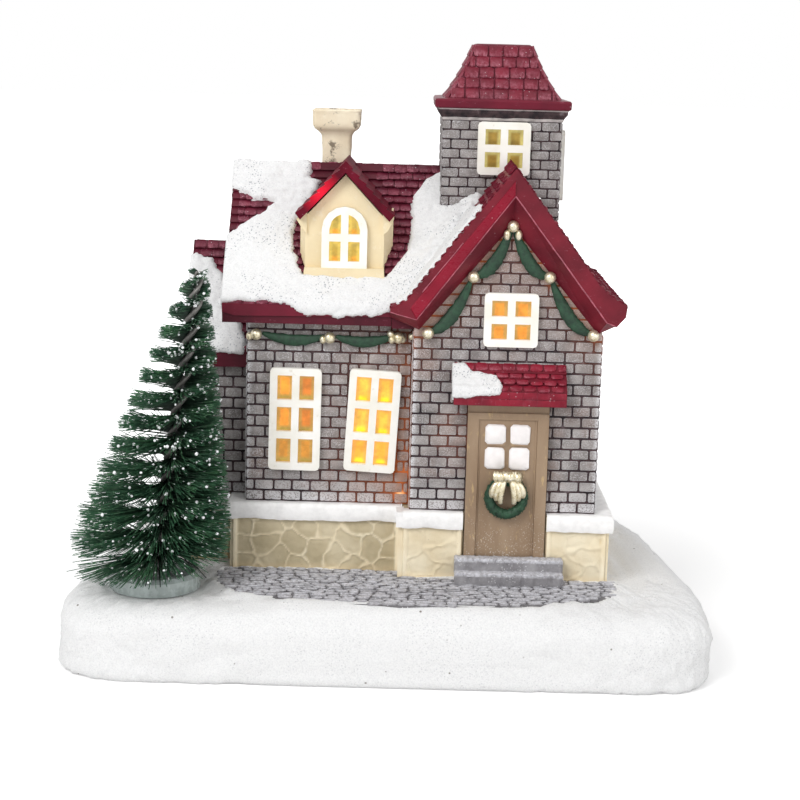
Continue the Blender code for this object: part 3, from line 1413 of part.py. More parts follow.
def make_battery_box(finishes):
    """An upturned tray in the base: a bay for the cells, a flange round it, a screw boss,
    two slots for the cover's tongues and a slot for the switch."""
    gap = SEAT_GAP
    bay_y = around(UNIT_Y, BOX_HALF_WIDTH)
    body = solid(
        "battery_box",
        box((BOX_LEFT, BOX_RIGHT), bay_y, (UNIT_FOOT, BOX_TOP)),
        finishes["housing"],
    )
    flange = box((FLANGE_LEFT, FLANGE_RIGHT), around(UNIT_Y, FLANGE_HALF_WIDTH),
                 (UNIT_FOOT, FLANGE_TOP))
    boss = box(
        (BOX_RIGHT - BOX_WALL / 2, COVER_RIGHT + COVER_TAB_LENGTH + BOX_WALL),
        around(UNIT_Y, COVER_TAB_WIDTH / 2 + BOX_WALL),
        (UNIT_FOOT + gap, COVER_TOP + BOSS_HEIGHT),
    )
    join(body, flange, boss)
    bay = box((BAY_LEFT, BAY_RIGHT), around(UNIT_Y, BAY_WIDTH / 2), (-BEYOND, BAY_ROOF))
    rebate = box(
        (COVER_LEFT - gap, COVER_RIGHT + gap), around(UNIT_Y, COVER_HALF_WIDTH + gap),
        (-BEYOND, BAY_FLOOR),
    )
    tab_rebate = box(
        (COVER_RIGHT - gap, COVER_RIGHT + COVER_TAB_LENGTH + gap),
        around(UNIT_Y, COVER_TAB_WIDTH / 2 + gap),
        (-BEYOND, BAY_FLOOR),
    )
    screw_hole = turned(
        [(SCREW_DIAMETER / 2 + gap, 0.0), (SCREW_DIAMETER / 2 + gap, COVER_TOP + BOSS_HEIGHT - gap)],
        (SCREW_X, UNIT_Y), 16,
    )
    lead_hole = turned(
        [(POST_BORE / 2, BAY_ROOF - BEYOND / 4), (POST_BORE / 2, BOX_TOP + BEYOND)],
        (LAMP_X, UNIT_Y), 16,
    )
    slots = []
    for side in (-1, 1):
        slots.append(box(
            (COVER_LEFT - TONGUE_LENGTH - 2 * gap, BAY_LEFT + gap),
            around(UNIT_Y + side * TONGUE_SPACING / 2, TONGUE_WIDTH / 2 + gap),
            (COVER_TOP - TONGUE_THICKNESS - gap, COVER_TOP - TONGUE_THICKNESS + TONGUE_SLOT_HEIGHT),
        ))
    switch_slot = box(
        (SWITCH_X - SWITCH_KNOB / 2 - gap, SWITCH_X + SWITCH_KNOB / 2 + SWITCH_TRAVEL + gap),
        around(UNIT_Y, SWITCH_KNOB / 2 + gap),
        (-BEYOND, FLANGE_TOP + gap),
    )
    cut(body, bay, rebate, tab_rebate, screw_hole, lead_hole, *slots, switch_slot)


def make_battery_cover(finishes):
    """A flat lid: two tongues at the hinge end, and a tab for its screw at the other."""
    cover = solid(
        "battery_cover",
        box((COVER_LEFT, COVER_RIGHT), around(UNIT_Y, COVER_HALF_WIDTH), (UNIT_FOOT, COVER_TOP)),
        finishes["housing"],
    )
    tab = box(
        (COVER_RIGHT - BOX_WALL, COVER_RIGHT + COVER_TAB_LENGTH),
        around(UNIT_Y, COVER_TAB_WIDTH / 2),
        (UNIT_FOOT, COVER_TOP),
    )
    tongues = []
    for side in (-1, 1):
        tongues.append(box(
            (COVER_LEFT - TONGUE_LENGTH, COVER_LEFT + BOX_WALL),
            around(UNIT_Y + side * TONGUE_SPACING / 2, TONGUE_WIDTH / 2),
            (COVER_TOP - TONGUE_THICKNESS, COVER_TOP),
        ))
    join(cover, tab, *tongues)
    head = SCREW_HEAD_DIAMETER / 2 + SEAT_GAP
    sink = turned([(head, 0.0), (head, UNIT_FOOT + SCREW_HEAD_HEIGHT + SEAT_GAP)],
                  (SCREW_X, UNIT_Y), 20)
    shank = SCREW_DIAMETER / 2 + SEAT_GAP
    hole = turned([(shank, 0.0), (shank, COVER_TOP + BEYOND)], (SCREW_X, UNIT_Y), 16)
    cut(cover, sink, hole)
    return pivot(cover, (COVER_LEFT, UNIT_Y, UNIT_FOOT))


def make_cover_screw(finishes, cover):
    foot = UNIT_FOOT
    neck = foot + SCREW_HEAD_HEIGHT
    tip = BAY_FLOOR + SCREW_ENGAGEMENT
    head, shank = SCREW_HEAD_DIAMETER / 2, SCREW_DIAMETER / 2
    profile = [(head, foot), (head, neck), (shank, neck), (shank, tip - shank / 2),
               (shank / 2, tip)]
    screw = solid("cover_screw", turned(profile, (SCREW_X, UNIT_Y), 16), finishes["steel"])
    arm = head * 0.62
    slot_a = box(around(SCREW_X, arm), around(UNIT_Y, SCREW_CROSS / 2), (0.0, foot + SCREW_CROSS))
    slot_b = box(around(SCREW_X, SCREW_CROSS / 2), around(UNIT_Y, arm), (0.0, foot + SCREW_CROSS))
    cut(screw, slot_a, slot_b)
    pivot(screw, (SCREW_X, UNIT_Y, foot))
    screw.parent = cover
    screw.matrix_parent_inverse = cover.matrix_world.inverted()
    return screw


def make_switch(finishes):
    half = SWITCH_KNOB / 2
    knob = solid(
        "switch_slider",
        box(around(SWITCH_X, half), around(UNIT_Y, half),
            (UNIT_FOOT - SWITCH_PROUD, FLANGE_TOP + SWITCH_BODY_HEIGHT)),
        finishes["switch"],
    )
    body = box(
        around(SWITCH_X, SWITCH_BODY_LENGTH / 2),
        around(UNIT_Y, SWITCH_BODY_WIDTH / 2),
        (FLANGE_TOP + SEAT_GAP, FLANGE_TOP + SEAT_GAP + SWITCH_BODY_HEIGHT),
    )
    join(knob, body)
    return pivot(knob, (SWITCH_X, UNIT_Y, UNIT_FOOT))


def make_cells(finishes):
    """Two AAA cells, head to tail. Each nub meets its contact and a spring backs each base."""
    radius, nub = CELL_DIAMETER / 2, CELL_NUB_DIAMETER / 2
    edge = radius * 0.12
    for number, side in ((1, 1), (2, -1)):
        centre = (UNIT_Y + side * CELL_PITCH / 2, CELL_Z)
        if side > 0:
            tip = BAY_RIGHT - CONTACT_THICKNESS - 2 * SEAT_GAP
        else:
            tip = BAY_LEFT + SEAT_GAP
        base = tip - side * CELL_LENGTH
        shoulder = tip - side * CELL_NUB
        profile = [(radius - edge, base), (radius, base + side * edge),
                   (radius, shoulder - side * edge), (radius - edge, shoulder),
                   (nub, shoulder), (nub, tip)]
        cell = turned(profile, centre, 20, "X")
        smooth(solid(f"cell_{number}", cell, finishes["cell"]))
        if side < 0:
            far = BAY_RIGHT - CONTACT_THICKNESS - 2 * SEAT_GAP
        else:
            far = BAY_LEFT + SEAT_GAP
        make_spring(f"contact_spring_{number}", base - side * SEAT_GAP, far, centre, finishes)
    report_gap("contact spring", SPRING_DIAMETER / 2,
               (SPRING_LENGTH - SPRING_WIRE) / SPRING_TURNS, SPRING_WIRE)

    plate = box(
        (BAY_RIGHT - SEAT_GAP - CONTACT_THICKNESS, BAY_RIGHT - SEAT_GAP),
        around(UNIT_Y, BAY_WIDTH / 2 - SEAT_GAP),
        (BAY_FLOOR + SEAT_GAP, CELL_Z + CELL_DIAMETER / 3),
    )
    solid("contact_plate", plate, finishes["steel"])


def make_spring(name, near, far, centre, finishes):
    """A cylindrical contact spring along X between two faces, its wire inside both."""
    way = math.copysign(1, far - near)
    start, end = near + way * SPRING_WIRE / 2, far - way * SPRING_WIRE / 2
    count = SPRING_TURNS * SPRING_POINTS_PER_TURN
    curve = bpy.data.curves.new(name, "CURVE")
    curve.dimensions = "3D"
    curve.bevel_depth = SPRING_WIRE / 2
    curve.bevel_resolution = 1
    curve.use_fill_caps = True
    spline = curve.splines.new("POLY")
    spline.points.add(count)
    for i, point in enumerate(spline.points):
        turn = 2 * math.pi * i / SPRING_POINTS_PER_TURN
        y = centre[0] + SPRING_DIAMETER / 2 * math.cos(turn)
        z = centre[1] + SPRING_DIAMETER / 2 * math.sin(turn)
        point.co = (start + (end - start) * i / count, y, z, 1.0)
    curve.materials.append(finishes["steel"])
    spring = bpy.data.objects.new(name, curve)
    bpy.context.collection.objects.link(spring)


def make_lamp(finishes):
    """A hollow post on the box lifts the lamp into the house; its leads run down the bore."""
    foot = BOX_TOP + SEAT_GAP
    top = foot + POST_HEIGHT
    profile = [(POST_FOOT_DIAMETER / 2, foot), (POST_FOOT_DIAMETER / 2, foot + POST_FOOT_HEIGHT),
               (POST_DIAMETER / 2, foot + POST_FOOT_HEIGHT), (POST_DIAMETER / 2, top)]
    post = solid("led_post", turned(profile, (LAMP_X, UNIT_Y), 20), finishes["housing"])
    bore = turned([(POST_BORE / 2, 0.0), (POST_BORE / 2, top + BEYOND)], (LAMP_X, UNIT_Y), 16)
    smooth(cut(post, bore))

    radius = LAMP_DIAMETER / 2
    rim = radius + LAMP_RIM
    dome = LAMP_FOOT + LAMP_HEIGHT - radius
    profile = [(rim, LAMP_FOOT), (rim, LAMP_FOOT + LAMP_RIM_HEIGHT),
               (radius, LAMP_FOOT + LAMP_RIM_HEIGHT)]
    for i in range(5):
        turn = math.pi / 2 * i / 5
        profile.append((radius * math.cos(turn), dome + radius * math.sin(turn)))
    smooth(solid("led_bulb", turned(profile, (LAMP_X, UNIT_Y), 20), finishes["lamp"]))

    run_z = BAY_ROOF - SEAT_GAP - LEAD_DIAMETER / 2
    top_z = LAMP_FOOT - SEAT_GAP
    for name, side, material in (("lead_positive", -1, "red_lead"),
                                 ("lead_negative", 1, "black_lead")):
        x = LAMP_X + side * LEAD_SPACING / 2
        end = BAY_LEFT + SEAT_GAP if side < 0 else BAY_RIGHT - SEAT_GAP
        path = [(x, UNIT_Y, top_z), (x, UNIT_Y, run_z + 2 * LEAD_BEND)]
        for i in range(5):
            turn = math.pi / 2 * i / 4
            path.append((x + side * LEAD_BEND * (1 - math.cos(turn)), UNIT_Y,
                         run_z + LEAD_BEND * (1 - math.sin(turn))))
        path.append((end, UNIT_Y, run_z))
        radii = [LEAD_DIAMETER / 2] * len(path)
        smooth(solid(name, tube(path, radii, 8), finishes[material]))


def on_slope(ridge_y, ridge_z, slope, outline, lift, thickness):
    """A slab on a front slope: the outline's (x, depth below the ridge along Y) pairs lie on
    the slope's plane, raised by lift, and the slab is that thick."""
    length = math.hypot(1, slope)
    out = Vector((0, -slope / length, 1 / length))
    sections = []
    for height in (lift, lift + thickness):
        ring = []
        for x, down in outline:
            point = Vector((x, ridge_y - down, ridge_z - down * slope))
            ring.append(point + out * height)
        sections.append(ring)
    return loft(sections)


def make_roof_snow(finishes):
    """The snow that lies on the front slopes. The outlines give x, and how far down the slope."""
    lift = SEAT_GAP
    length = BLOCK_RIDGE_X - MAIN_ROOF_LEFT
    outline = [(MAIN_ROOF_LEFT + x * length, y * MAIN_RUN) for x, y in MAIN_SNOW_SHARES]
    bm = on_slope(MAIN_RIDGE_Y, MAIN_RIDGE_Z, MAIN_SLOPE, outline, lift, SNOW_THICKNESS)
    snow = solid("main_roof_snow", bm, finishes["snow"])
    cut(snow, under_block_roof(), inside_tower(), under_dormer_roof())

    left, right = ANNEX_LEFT - ANNEX_EAVE, ANNEX_RIGHT
    outline = [(left + x * (right - left), y * ANNEX_RUN) for x, y in ANNEX_SNOW_SHARES]
    bm = on_slope(ANNEX_RIDGE_Y, ANNEX_RIDGE_Z, ANNEX_SLOPE, outline, lift, SNOW_THICKNESS)
    solid("annex_roof_snow", bm, finishes["snow"])

    back = BLOCK_FRONT - SEAT_GAP
    top = CANOPY_FOOT_Z + CANOPY_HEIGHT
    slope = (CANOPY_HEIGHT - CANOPY_FASCIA) / CANOPY_DEPTH
    left = DOOR_CENTRE_X - CANOPY_WIDTH / 2
    outline = [(left + x * CANOPY_WIDTH, y * CANOPY_DEPTH) for x, y in CANOPY_SNOW_SHARES]
    bm = on_slope(back, top, slope, outline, lift, SNOW_THICKNESS)
    solid("canopy_snow", bm, finishes["snow"])


def under_dormer_roof():
    """The dormer with its roof, grown by a gap, for the snow that lies round it."""
    outer = dormer_line(-SLOPE_GAP, DORMER_EAVE + SEAT_GAP)
    half = DORMER_WIDTH / 2 + SEAT_GAP
    low = MAIN_EAVE_Z - BEYOND
    left, right = around(DORMER_CENTRE_X, half)
    eave = outer[0][1] - DORMER_ROOF_THICKNESS - SLOPE_GAP
    outline = [(left, low), (left, eave), (outer[0][0], eave), *outer, (outer[2][0], eave),
               (right, eave), (right, low)]
    front = DORMER_FRONT - FRAME_THICKNESS - 2 * SEAT_GAP
    return prism(outline, "Y", front, MAIN_RIDGE_Y + BEYOND)


def main():
    for old in list(bpy.data.objects):
        bpy.data.objects.remove(old)
    finishes = make_finishes()
    make_snow_base(finishes)
    make_path(finishes)
    make_steps(finishes)
    make_main_plinth(finishes)
    make_block_plinth(finishes)
    make_annex_plinth(finishes)
    make_main_walls(finishes)
    make_block_walls(finishes)
    make_annex(finishes)
    make_tower(finishes)
    make_main_roof(finishes)
    make_block_roof(finishes)
    make_dormer(finishes)
    make_chimney(finishes)
    make_door(finishes)
    make_canopy(finishes)
    make_windows(finishes)
    make_wreath(finishes)
    make_garlands(finishes)
    make_roof_snow(finishes)
    make_tree(finishes)
    make_battery_box(finishes)
    cover = make_battery_cover(finishes)
    bpy.context.view_layer.update()
    make_cover_screw(finishes, cover)
    make_switch(finishes)
    make_cells(finishes)
    make_lamp(finishes)


main()
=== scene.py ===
"""The looks of a lit Christmas village house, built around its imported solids."""

import math
import random

import bmesh
import bpy
import numpy as np
from mathutils import Matrix, Vector, noise

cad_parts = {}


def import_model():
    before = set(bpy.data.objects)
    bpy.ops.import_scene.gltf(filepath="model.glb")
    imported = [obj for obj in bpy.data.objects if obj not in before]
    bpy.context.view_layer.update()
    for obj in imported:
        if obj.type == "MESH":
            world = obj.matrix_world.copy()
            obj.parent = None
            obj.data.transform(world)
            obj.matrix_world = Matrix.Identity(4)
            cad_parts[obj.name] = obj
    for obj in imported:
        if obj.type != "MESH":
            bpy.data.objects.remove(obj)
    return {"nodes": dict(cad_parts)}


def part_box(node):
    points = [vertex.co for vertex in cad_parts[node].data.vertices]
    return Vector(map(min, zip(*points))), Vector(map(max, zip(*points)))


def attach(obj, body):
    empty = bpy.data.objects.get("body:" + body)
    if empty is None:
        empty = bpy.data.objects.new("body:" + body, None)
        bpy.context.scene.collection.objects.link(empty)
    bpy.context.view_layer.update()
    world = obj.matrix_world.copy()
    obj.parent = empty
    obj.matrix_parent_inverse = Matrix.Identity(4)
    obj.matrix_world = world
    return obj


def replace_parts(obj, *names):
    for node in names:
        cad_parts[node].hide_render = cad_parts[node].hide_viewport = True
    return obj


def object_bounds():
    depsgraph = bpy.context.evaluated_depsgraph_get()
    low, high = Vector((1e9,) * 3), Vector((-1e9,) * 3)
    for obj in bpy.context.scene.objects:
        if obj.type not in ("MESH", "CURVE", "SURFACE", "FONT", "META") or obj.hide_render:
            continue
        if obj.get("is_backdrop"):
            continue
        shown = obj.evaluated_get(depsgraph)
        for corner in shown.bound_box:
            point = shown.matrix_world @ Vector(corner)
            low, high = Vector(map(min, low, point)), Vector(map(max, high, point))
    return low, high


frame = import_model()
cad_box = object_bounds()
nodes = frame["nodes"]
HOUSE = "house_body"
MM = 0.001


# Node boxes in millimetres, and the slopes that the solids have

def node_box(name):
    low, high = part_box(name)
    return low * 1000, high * 1000


MAIN_LOW, MAIN_HIGH = node_box("main_walls")
BLOCK_LOW, BLOCK_HIGH = node_box("block_walls")
ANNEX_LOW, ANNEX_HIGH = node_box("annex_walls")
MROOF_LOW, MROOF_HIGH = node_box("main_roof")
BROOF_LOW, BROOF_HIGH = node_box("block_roof")
AROOF_LOW, AROOF_HIGH = node_box("annex_roof")
TROOF_LOW, TROOF_HIGH = node_box("tower_roof")
CANOPY_LOW, CANOPY_HIGH = node_box("door_canopy")
MAIN_RIGHT = MAIN_HIGH.x
ROOF_THICK = 4.5
MAIN_RIDGE_Y = (MROOF_LOW.y + MROOF_HIGH.y) / 2
MAIN_SLOPE = math.tan(math.radians(46.2))
BLOCK_RIDGE_X = (BROOF_LOW.x + BROOF_HIGH.x) / 2
BLOCK_LEFT_SLOPE = math.tan(math.radians(52.4))
ANNEX_RIDGE_Y = (AROOF_LOW.y + AROOF_HIGH.y) / 2
ANNEX_SLOPE = math.tan(math.radians(47.5))
TOWER_X = (TROOF_LOW.x + TROOF_HIGH.x) / 2
TOWER_Y = (TROOF_LOW.y + TROOF_HIGH.y) / 2
TOWER_HALF = 14.2
TOWER_BRICK_TOP = 125.3
COURSE = 2.4
TILE_STEP = 0.5


def main_surface(y):
    return MROOF_HIGH.z - abs(y - MAIN_RIDGE_Y) * MAIN_SLOPE


# The block's roof line from its left foot over the ridge to its right foot, with kicked-out feet
BLOCK_LINE = [(-0.85, 83.0), (3.0, 85.0), (6.4, 89.4), (27.0, 115.7), (47.2, 89.4), (49.7, 87.2),
              (52.9, 85.4), (53.6, 84.3)]


def block_surface(x):
    return float(np.interp(x, [a for a, _ in BLOCK_LINE], [b for _, b in BLOCK_LINE]))


# Materials

class Shader:
    """A Principled material with helpers for its node tree."""

    def __init__(self, name, colour=(0.8, 0.8, 0.8), roughness=0.6, metallic=0.0):
        self.material = bpy.data.materials.new(name)
        self.material.use_nodes = True
        self.tree = self.material.node_tree
        self.surface = self.tree.nodes["Principled BSDF"]
        self.set(self.surface, "Base Color", (*colour, 1))
        self.set(self.surface, "Roughness", roughness)
        self.set(self.surface, "Metallic", metallic)
        self.place = self.node("ShaderNodeTexCoord").outputs["Object"]

    def node(self, kind, **values):
        made = self.tree.nodes.new(kind)
        for key, value in values.items():
            setattr(made, key, value)
        return made

    def set(self, node, socket, value):
        target = node.inputs[socket]
        if isinstance(value, bpy.types.NodeSocket):
            self.tree.links.new(value, target)
        else:
            target.default_value = value

    def noise(self, scale, detail=3.0, rough=0.55, stretch=None, output="Fac"):
        made = self.node("ShaderNodeTexNoise")
        self.set(made, "Scale", scale)
        self.set(made, "Detail", detail)
        self.set(made, "Roughness", rough)
        source = self.place
        if stretch:
            mapping = self.node("ShaderNodeMapping")
            self.set(mapping, "Vector", source)
            self.set(mapping, "Scale", stretch)
            source = mapping.outputs[0]
        self.set(made, "Vector", source)
        return made.outputs[output]

    def cells(self, scale, feature="F1", output="Distance"):
        made = self.node("ShaderNodeTexVoronoi", feature=feature)
        self.set(made, "Scale", scale)
        self.set(made, "Vector", self.place)
        return made.outputs[output]

    def ramp(self, value, *stops):
        made = self.node("ShaderNodeValToRGB")
        ramp = made.color_ramp
        while len(ramp.elements) < len(stops):
            ramp.elements.new(0.5)
        for element, (position, colour) in zip(ramp.elements, stops):
            element.position = position
            if isinstance(colour, (int, float)):
                colour = (colour, colour, colour)
            element.color = (*colour, 1)
        self.set(made, "Fac", value)
        return made.outputs[0]

    def mix(self, share, low, high, blend="MIX"):
        made = self.node("ShaderNodeMix", data_type="RGBA", blend_type=blend)
        self.set(made, 0, share)
        self.set(made, 6, (*low, 1) if isinstance(low, tuple) else low)
        self.set(made, 7, (*high, 1) if isinstance(high, tuple) else high)
        return made.outputs[2]

    def maths(self, operation, first, second=0.5, third=0.0):
        made = self.node("ShaderNodeMath", operation=operation)
        made.use_clamp = operation in ("MULTIPLY", "ADD", "SUBTRACT")
        for socket, value in enumerate((first, second, third)):
            self.set(made, socket, value)
        return made.outputs[0]

    def times(self, first, second):
        return self.maths("MULTIPLY", first, second)

    def most(self, first, second):
        return self.maths("MAXIMUM", first, second)

    def axis(self, name):
        made = self.node("ShaderNodeSeparateXYZ")
        self.set(made, 0, self.place)
        return made.outputs[name]

    def along(self, axis, *stops):
        """A ramp along X, Y or Z, whose stops are (millimetres, value)."""
        shift = 0.0 if axis == "Z" else 0.5
        place = self.maths("MULTIPLY_ADD", self.axis(axis), 10.0, shift)
        return self.ramp(place, *((mm / 100 + shift, value) for mm, value in stops))

    def nearness(self, point, radius):
        """1 at a point in millimetres, falling to 0 at the radius."""
        made = self.node("ShaderNodeVectorMath", operation="DISTANCE")
        self.set(made, 0, self.place)
        self.set(made, 1, tuple(v * MM for v in point))
        return self.ramp(self.maths("DIVIDE", made.outputs["Value"], radius * MM),
                         (0.0, 1.0), (1.0, 0.0))

    def specks(self, scale, full, none, patch, *stops, strength=1.0):
        """Dots, whole up to one distance from their middles and gone at another, in patches."""
        dots = self.ramp(self.cells(scale), (full, strength), (none, 0.0))
        return self.times(dots, self.ramp(patch, *stops))

    def painted(self, name="lip", output="Fac"):
        """A value or colour that the mesh carries on its points."""
        return self.node("ShaderNodeAttribute", attribute_name=name).outputs[output]

    def put(self, socket, value):
        self.set(self.surface, socket, value)

    def colour(self, value):
        self.put("Base Color", value)

    def rough(self, value):
        self.put("Roughness", value)

    def glow(self, colour, strength):
        self.put("Emission Color", colour)
        self.put("Emission Strength", strength)

    def bump(self, height, strength=0.5, distance=0.0002):
        """The last step of a look: raises its surface, and returns the material."""
        made = self.node("ShaderNodeBump")
        self.set(made, "Strength", strength)
        self.set(made, "Distance", distance)
        self.set(made, "Height", height)
        self.put("Normal", made.outputs[0])
        return self.material


# Depths ahead of which a look holds on the main wing and on the gable, with their fades
WING_FRONT, GABLE_FRONT = (-15, 2), (-20.7, 1.7)


def before(s, depth, fade):
    """1 ahead of a depth in millimetres, and 0 behind its fade."""
    return s.along("Y", (depth, 1.0), (depth + fade, 0.0))


def warm_leak(s):
    """Where the lamp's light leaks out of the front, 0 to 1."""
    across = s.along("X", (-20, 0.0), (-10, 0.25), (0, 0.55), (2.5, 1.0), (4.7, 1.0), (5.05, 0.0))
    high = s.along("Z", (34, 1.0), (42, 0.9), (56, 0.5), (76, 0.3))
    wing = s.times(s.times(across, high), before(s, *WING_FRONT))
    # Under the gable's boards: the height over two sloping lines from the ridge
    aside = s.maths("ABSOLUTE", s.maths("MULTIPLY_ADD", s.axis("X"), 1.0, -BLOCK_RIDGE_X * MM))
    line = s.maths("MULTIPLY_ADD", aside, 1.2, s.axis("Z"))
    under = s.ramp(s.maths("MULTIPLY_ADD", line, 10.0, -0.5),
                   (0.36, 0.0), (0.42, 0.20), (0.475, 0.30), (0.500, 1.0), (0.56, 1.0))
    gable = s.times(s.times(under, before(s, *GABLE_FRONT)), 0.55)
    door = s.times(s.nearness((16.6, BLOCK_LOW.y, 53), 9), 0.4)
    patch = s.ramp(s.noise(300, 3), (0.35, 0.35), (0.6, 1.0))
    return s.times(s.most(s.most(wing, gable), door), patch)


def corner_frost(s):
    """White dust on the front's upright corners, and low on the walls."""
    stops = []
    for x in (MAIN_LOW.x, BLOCK_LOW.x, BLOCK_HIGH.x):
        stops += [(x - 1.2, 0.0), (x - 0.3, 1.0), (x + 0.4, 1.0), (x + 1.5, 0.0)]
    return s.most(s.along("X", *stops), s.along("Z", (34, 1.0), (37.5, 0.5), (43, 0.0)))


def brick_look():
    s = Shader("brick_paint", roughness=0.85)
    base = s.ramp(s.noise(260, 2), (0.32, (0.190, 0.170, 0.164)), (0.52, (0.280, 0.256, 0.248)),
                  (0.70, (0.375, 0.345, 0.335)))
    grain = s.noise(3300, 3, 0.65)
    cover = s.ramp(s.noise(330, 3, 0.6), (0.36, 0.10), (0.66, 0.62))
    dry = s.times(s.ramp(grain, (0.50, 0.0), (0.60, 1.0)), cover)
    frost = s.times(corner_frost(s), s.ramp(grain, (0.40, 0.0), (0.50, 1.0)))
    edge = s.times(s.ramp(s.painted(), (0.45, 0.0), (1.0, 0.75)), cover)
    chalk = s.most(s.maths("ADD", dry, edge), frost)
    red = s.times(s.ramp(s.noise(95, 2), (0.50, 0.0), (0.66, 0.45)), before(s, *WING_FRONT))
    tint = s.along("Z", (72, 0.0), (86, 0.35), (98, 0.75))
    red = s.most(red, s.times(tint, before(s, *GABLE_FRONT)))
    colour = s.mix(red, base, (0.270, 0.175, 0.145))
    colour = s.mix(chalk, colour, (0.68, 0.67, 0.69))
    # Painted light: the lamp's orange glow, where it leaks out, painted into the bricks' colour.
    leak_glow = s.times(warm_leak(s), s.ramp(grain, (0.35, 0.45), (0.6, 0.85)))
    s.colour(s.mix(leak_glow, colour, (0.46, 0.205, 0.105)))
    return s.bump(grain, 0.5, 0.00018)


def mortar_look():
    s = Shader("mortar_dark", roughness=0.95)
    tone = s.ramp(s.noise(500, 3), (0.35, (0.018, 0.012, 0.015)), (0.62, (0.070, 0.042, 0.045)),
                  (0.75, (0.17, 0.14, 0.15)))
    # Painted light: the lamp's orange glow where it leaks out, painted into the joints' colour and
    # given off as emission, with a painted glint of it on the main wing.
    leak_glow = warm_leak(s)
    s.colour(s.mix(leak_glow, tone, (0.42, 0.11, 0.035)))
    painted_glint = s.nearness((2.6, MAIN_LOW.y, 36.6), 1.5)
    s.glow(s.mix(painted_glint, (0.95, 0.22, 0.03), (1.0, 0.75, 0.35)),
           s.maths("ADD", s.times(s.times(leak_glow, leak_glow), 0.28), painted_glint))
    return s.bump(s.noise(2200, 3), 0.5, 0.00015)


def tile_look(name, dark, middle, light, dust=1.0, rough=0.45):
    """Dark in a tile's upper part, with dry-brushed pink along its raised edges."""
    s = Shader(name, roughness=rough)
    tone = s.ramp(s.noise(160, 3), (0.32, dark), (0.52, middle), (0.72, light))
    streak = s.noise(1300, 4, 0.72, (1.2, 1.2, 0.6))
    worn = s.ramp(streak, (0.40, 0.10), (0.62, 1.0))
    patch = s.ramp(s.noise(230, 3), (0.36, 0.25), (0.60, 1.0))
    edge = s.times(s.times(s.times(s.painted(), worn), patch), 0.70 * dust)
    fleck = s.times(s.ramp(streak, (0.60, 0.0), (0.72, 1.0)), 0.25 * dust)
    colour = s.mix(s.maths("ADD", edge, fleck), tone, (0.46, 0.17, 0.22))
    spark = s.specks(1000, 0.02, 0.14, s.noise(400, 2), (0.46, 0.0), (0.54, 1.0))
    s.colour(s.mix(spark, colour, (0.84, 0.74, 0.78)))
    s.rough(s.ramp(streak, (0.3, rough - 0.1), (0.7, min(rough + 0.25, 0.9))))
    s.put("Specular IOR Level", 0.22 if rough < 0.6 else 0.04)
    return s.bump(streak, 0.35, 0.00012)


def trim_look(name="roof_trim", low=(0.118, 0.009, 0.018), high=(0.200, 0.014, 0.028), rough=0.42,
              lit=None):
    """Painted boards. lit is a (point, radius) where a painted highlight turns the paint a bright
    red.
    """
    s = Shader(name, roughness=rough)
    tone = s.ramp(s.noise(120, 3), (0.35, low), (0.7, high))
    if lit:
        tone = s.mix(s.nearness(*lit), tone, (0.95, 0.015, 0.045))
    scuff = s.noise(900, 5, 0.75, (0.7, 0.7, 1.6))
    colour = s.mix(s.ramp(scuff, (0.62, 0.0), (0.74, 0.45)), tone, (0.50, 0.20, 0.26))
    spark = s.specks(620, 0.0, 0.075, s.noise(300, 2), (0.52, 0.0), (0.60, 1.0))
    s.colour(s.mix(spark, colour, (0.85, 0.72, 0.74)))
    s.rough(s.ramp(scuff, (0.3, rough - 0.08), (0.75, rough + 0.2)))
    s.put("Specular IOR Level", 0.24 if rough < 0.6 else 0.08)
    return s.bump(s.noise(700, 4), 0.25, 0.00015)


def snow_look(name="snow_flock", speck=0.7, coarse=0.0):
    """White flock with fine grey dots in patches, and sparse larger ones."""
    s = Shader(name, roughness=0.8)
    grain = s.noise(2600, 5, 0.75)
    tone = s.ramp(grain, (0.25, (0.68, 0.68, 0.69)), (0.5, (0.83, 0.83, 0.83)),
                  (0.8, (0.92, 0.92, 0.915)))
    dots = s.specks(1600, 0.16, 0.32, s.noise(110, 4, 0.6), (0.44, 0.0), (0.56, 1.0))
    colour = s.mix(s.times(dots, speck), tone, (0.26, 0.27, 0.31))
    if coarse:
        large = s.specks(230, 0.045, 0.075, s.noise(60, 2), (0.47, 0.0), (0.53, 1.0),
                         strength=coarse)
        colour = s.mix(large, colour, (0.17, 0.14, 0.12))
    s.colour(colour)
    glint = s.ramp(s.cells(1900), (0.0, 1.0), (0.06, 0.0))
    s.rough(s.ramp(glint, (0.0, 0.8), (1.0, 0.12)))
    return s.bump(s.maths("ADD", s.times(grain, 0.6), s.noise(420, 4, 0.6)), 0.75, 0.0004)


def stone_look():
    """Tan stones, and cream where the points say: veins, borders and the block's stones."""
    s = Shader("plinth_stone", roughness=0.7)
    olive = s.ramp(s.noise(110, 3), (0.32, (0.48, 0.40, 0.25)), (0.52, (0.59, 0.50, 0.33)),
                   (0.72, (0.70, 0.61, 0.43)))
    cream = s.ramp(s.noise(150, 3), (0.35, (0.88, 0.75, 0.52)), (0.65, (0.97, 0.87, 0.66)))
    colour = s.mix(s.painted(), olive, cream)
    colour = s.mix(s.along("Z", (17.5, 0.5), (20, 0.0)), colour, (0.90, 0.70, 0.42))
    pit = s.ramp(s.noise(1500, 4, 0.7), (0.66, 0.0), (0.74, 0.6))
    s.colour(s.mix(pit, colour, (0.30, 0.22, 0.11)))
    return s.bump(s.noise(1300, 5, 0.7), 0.4)


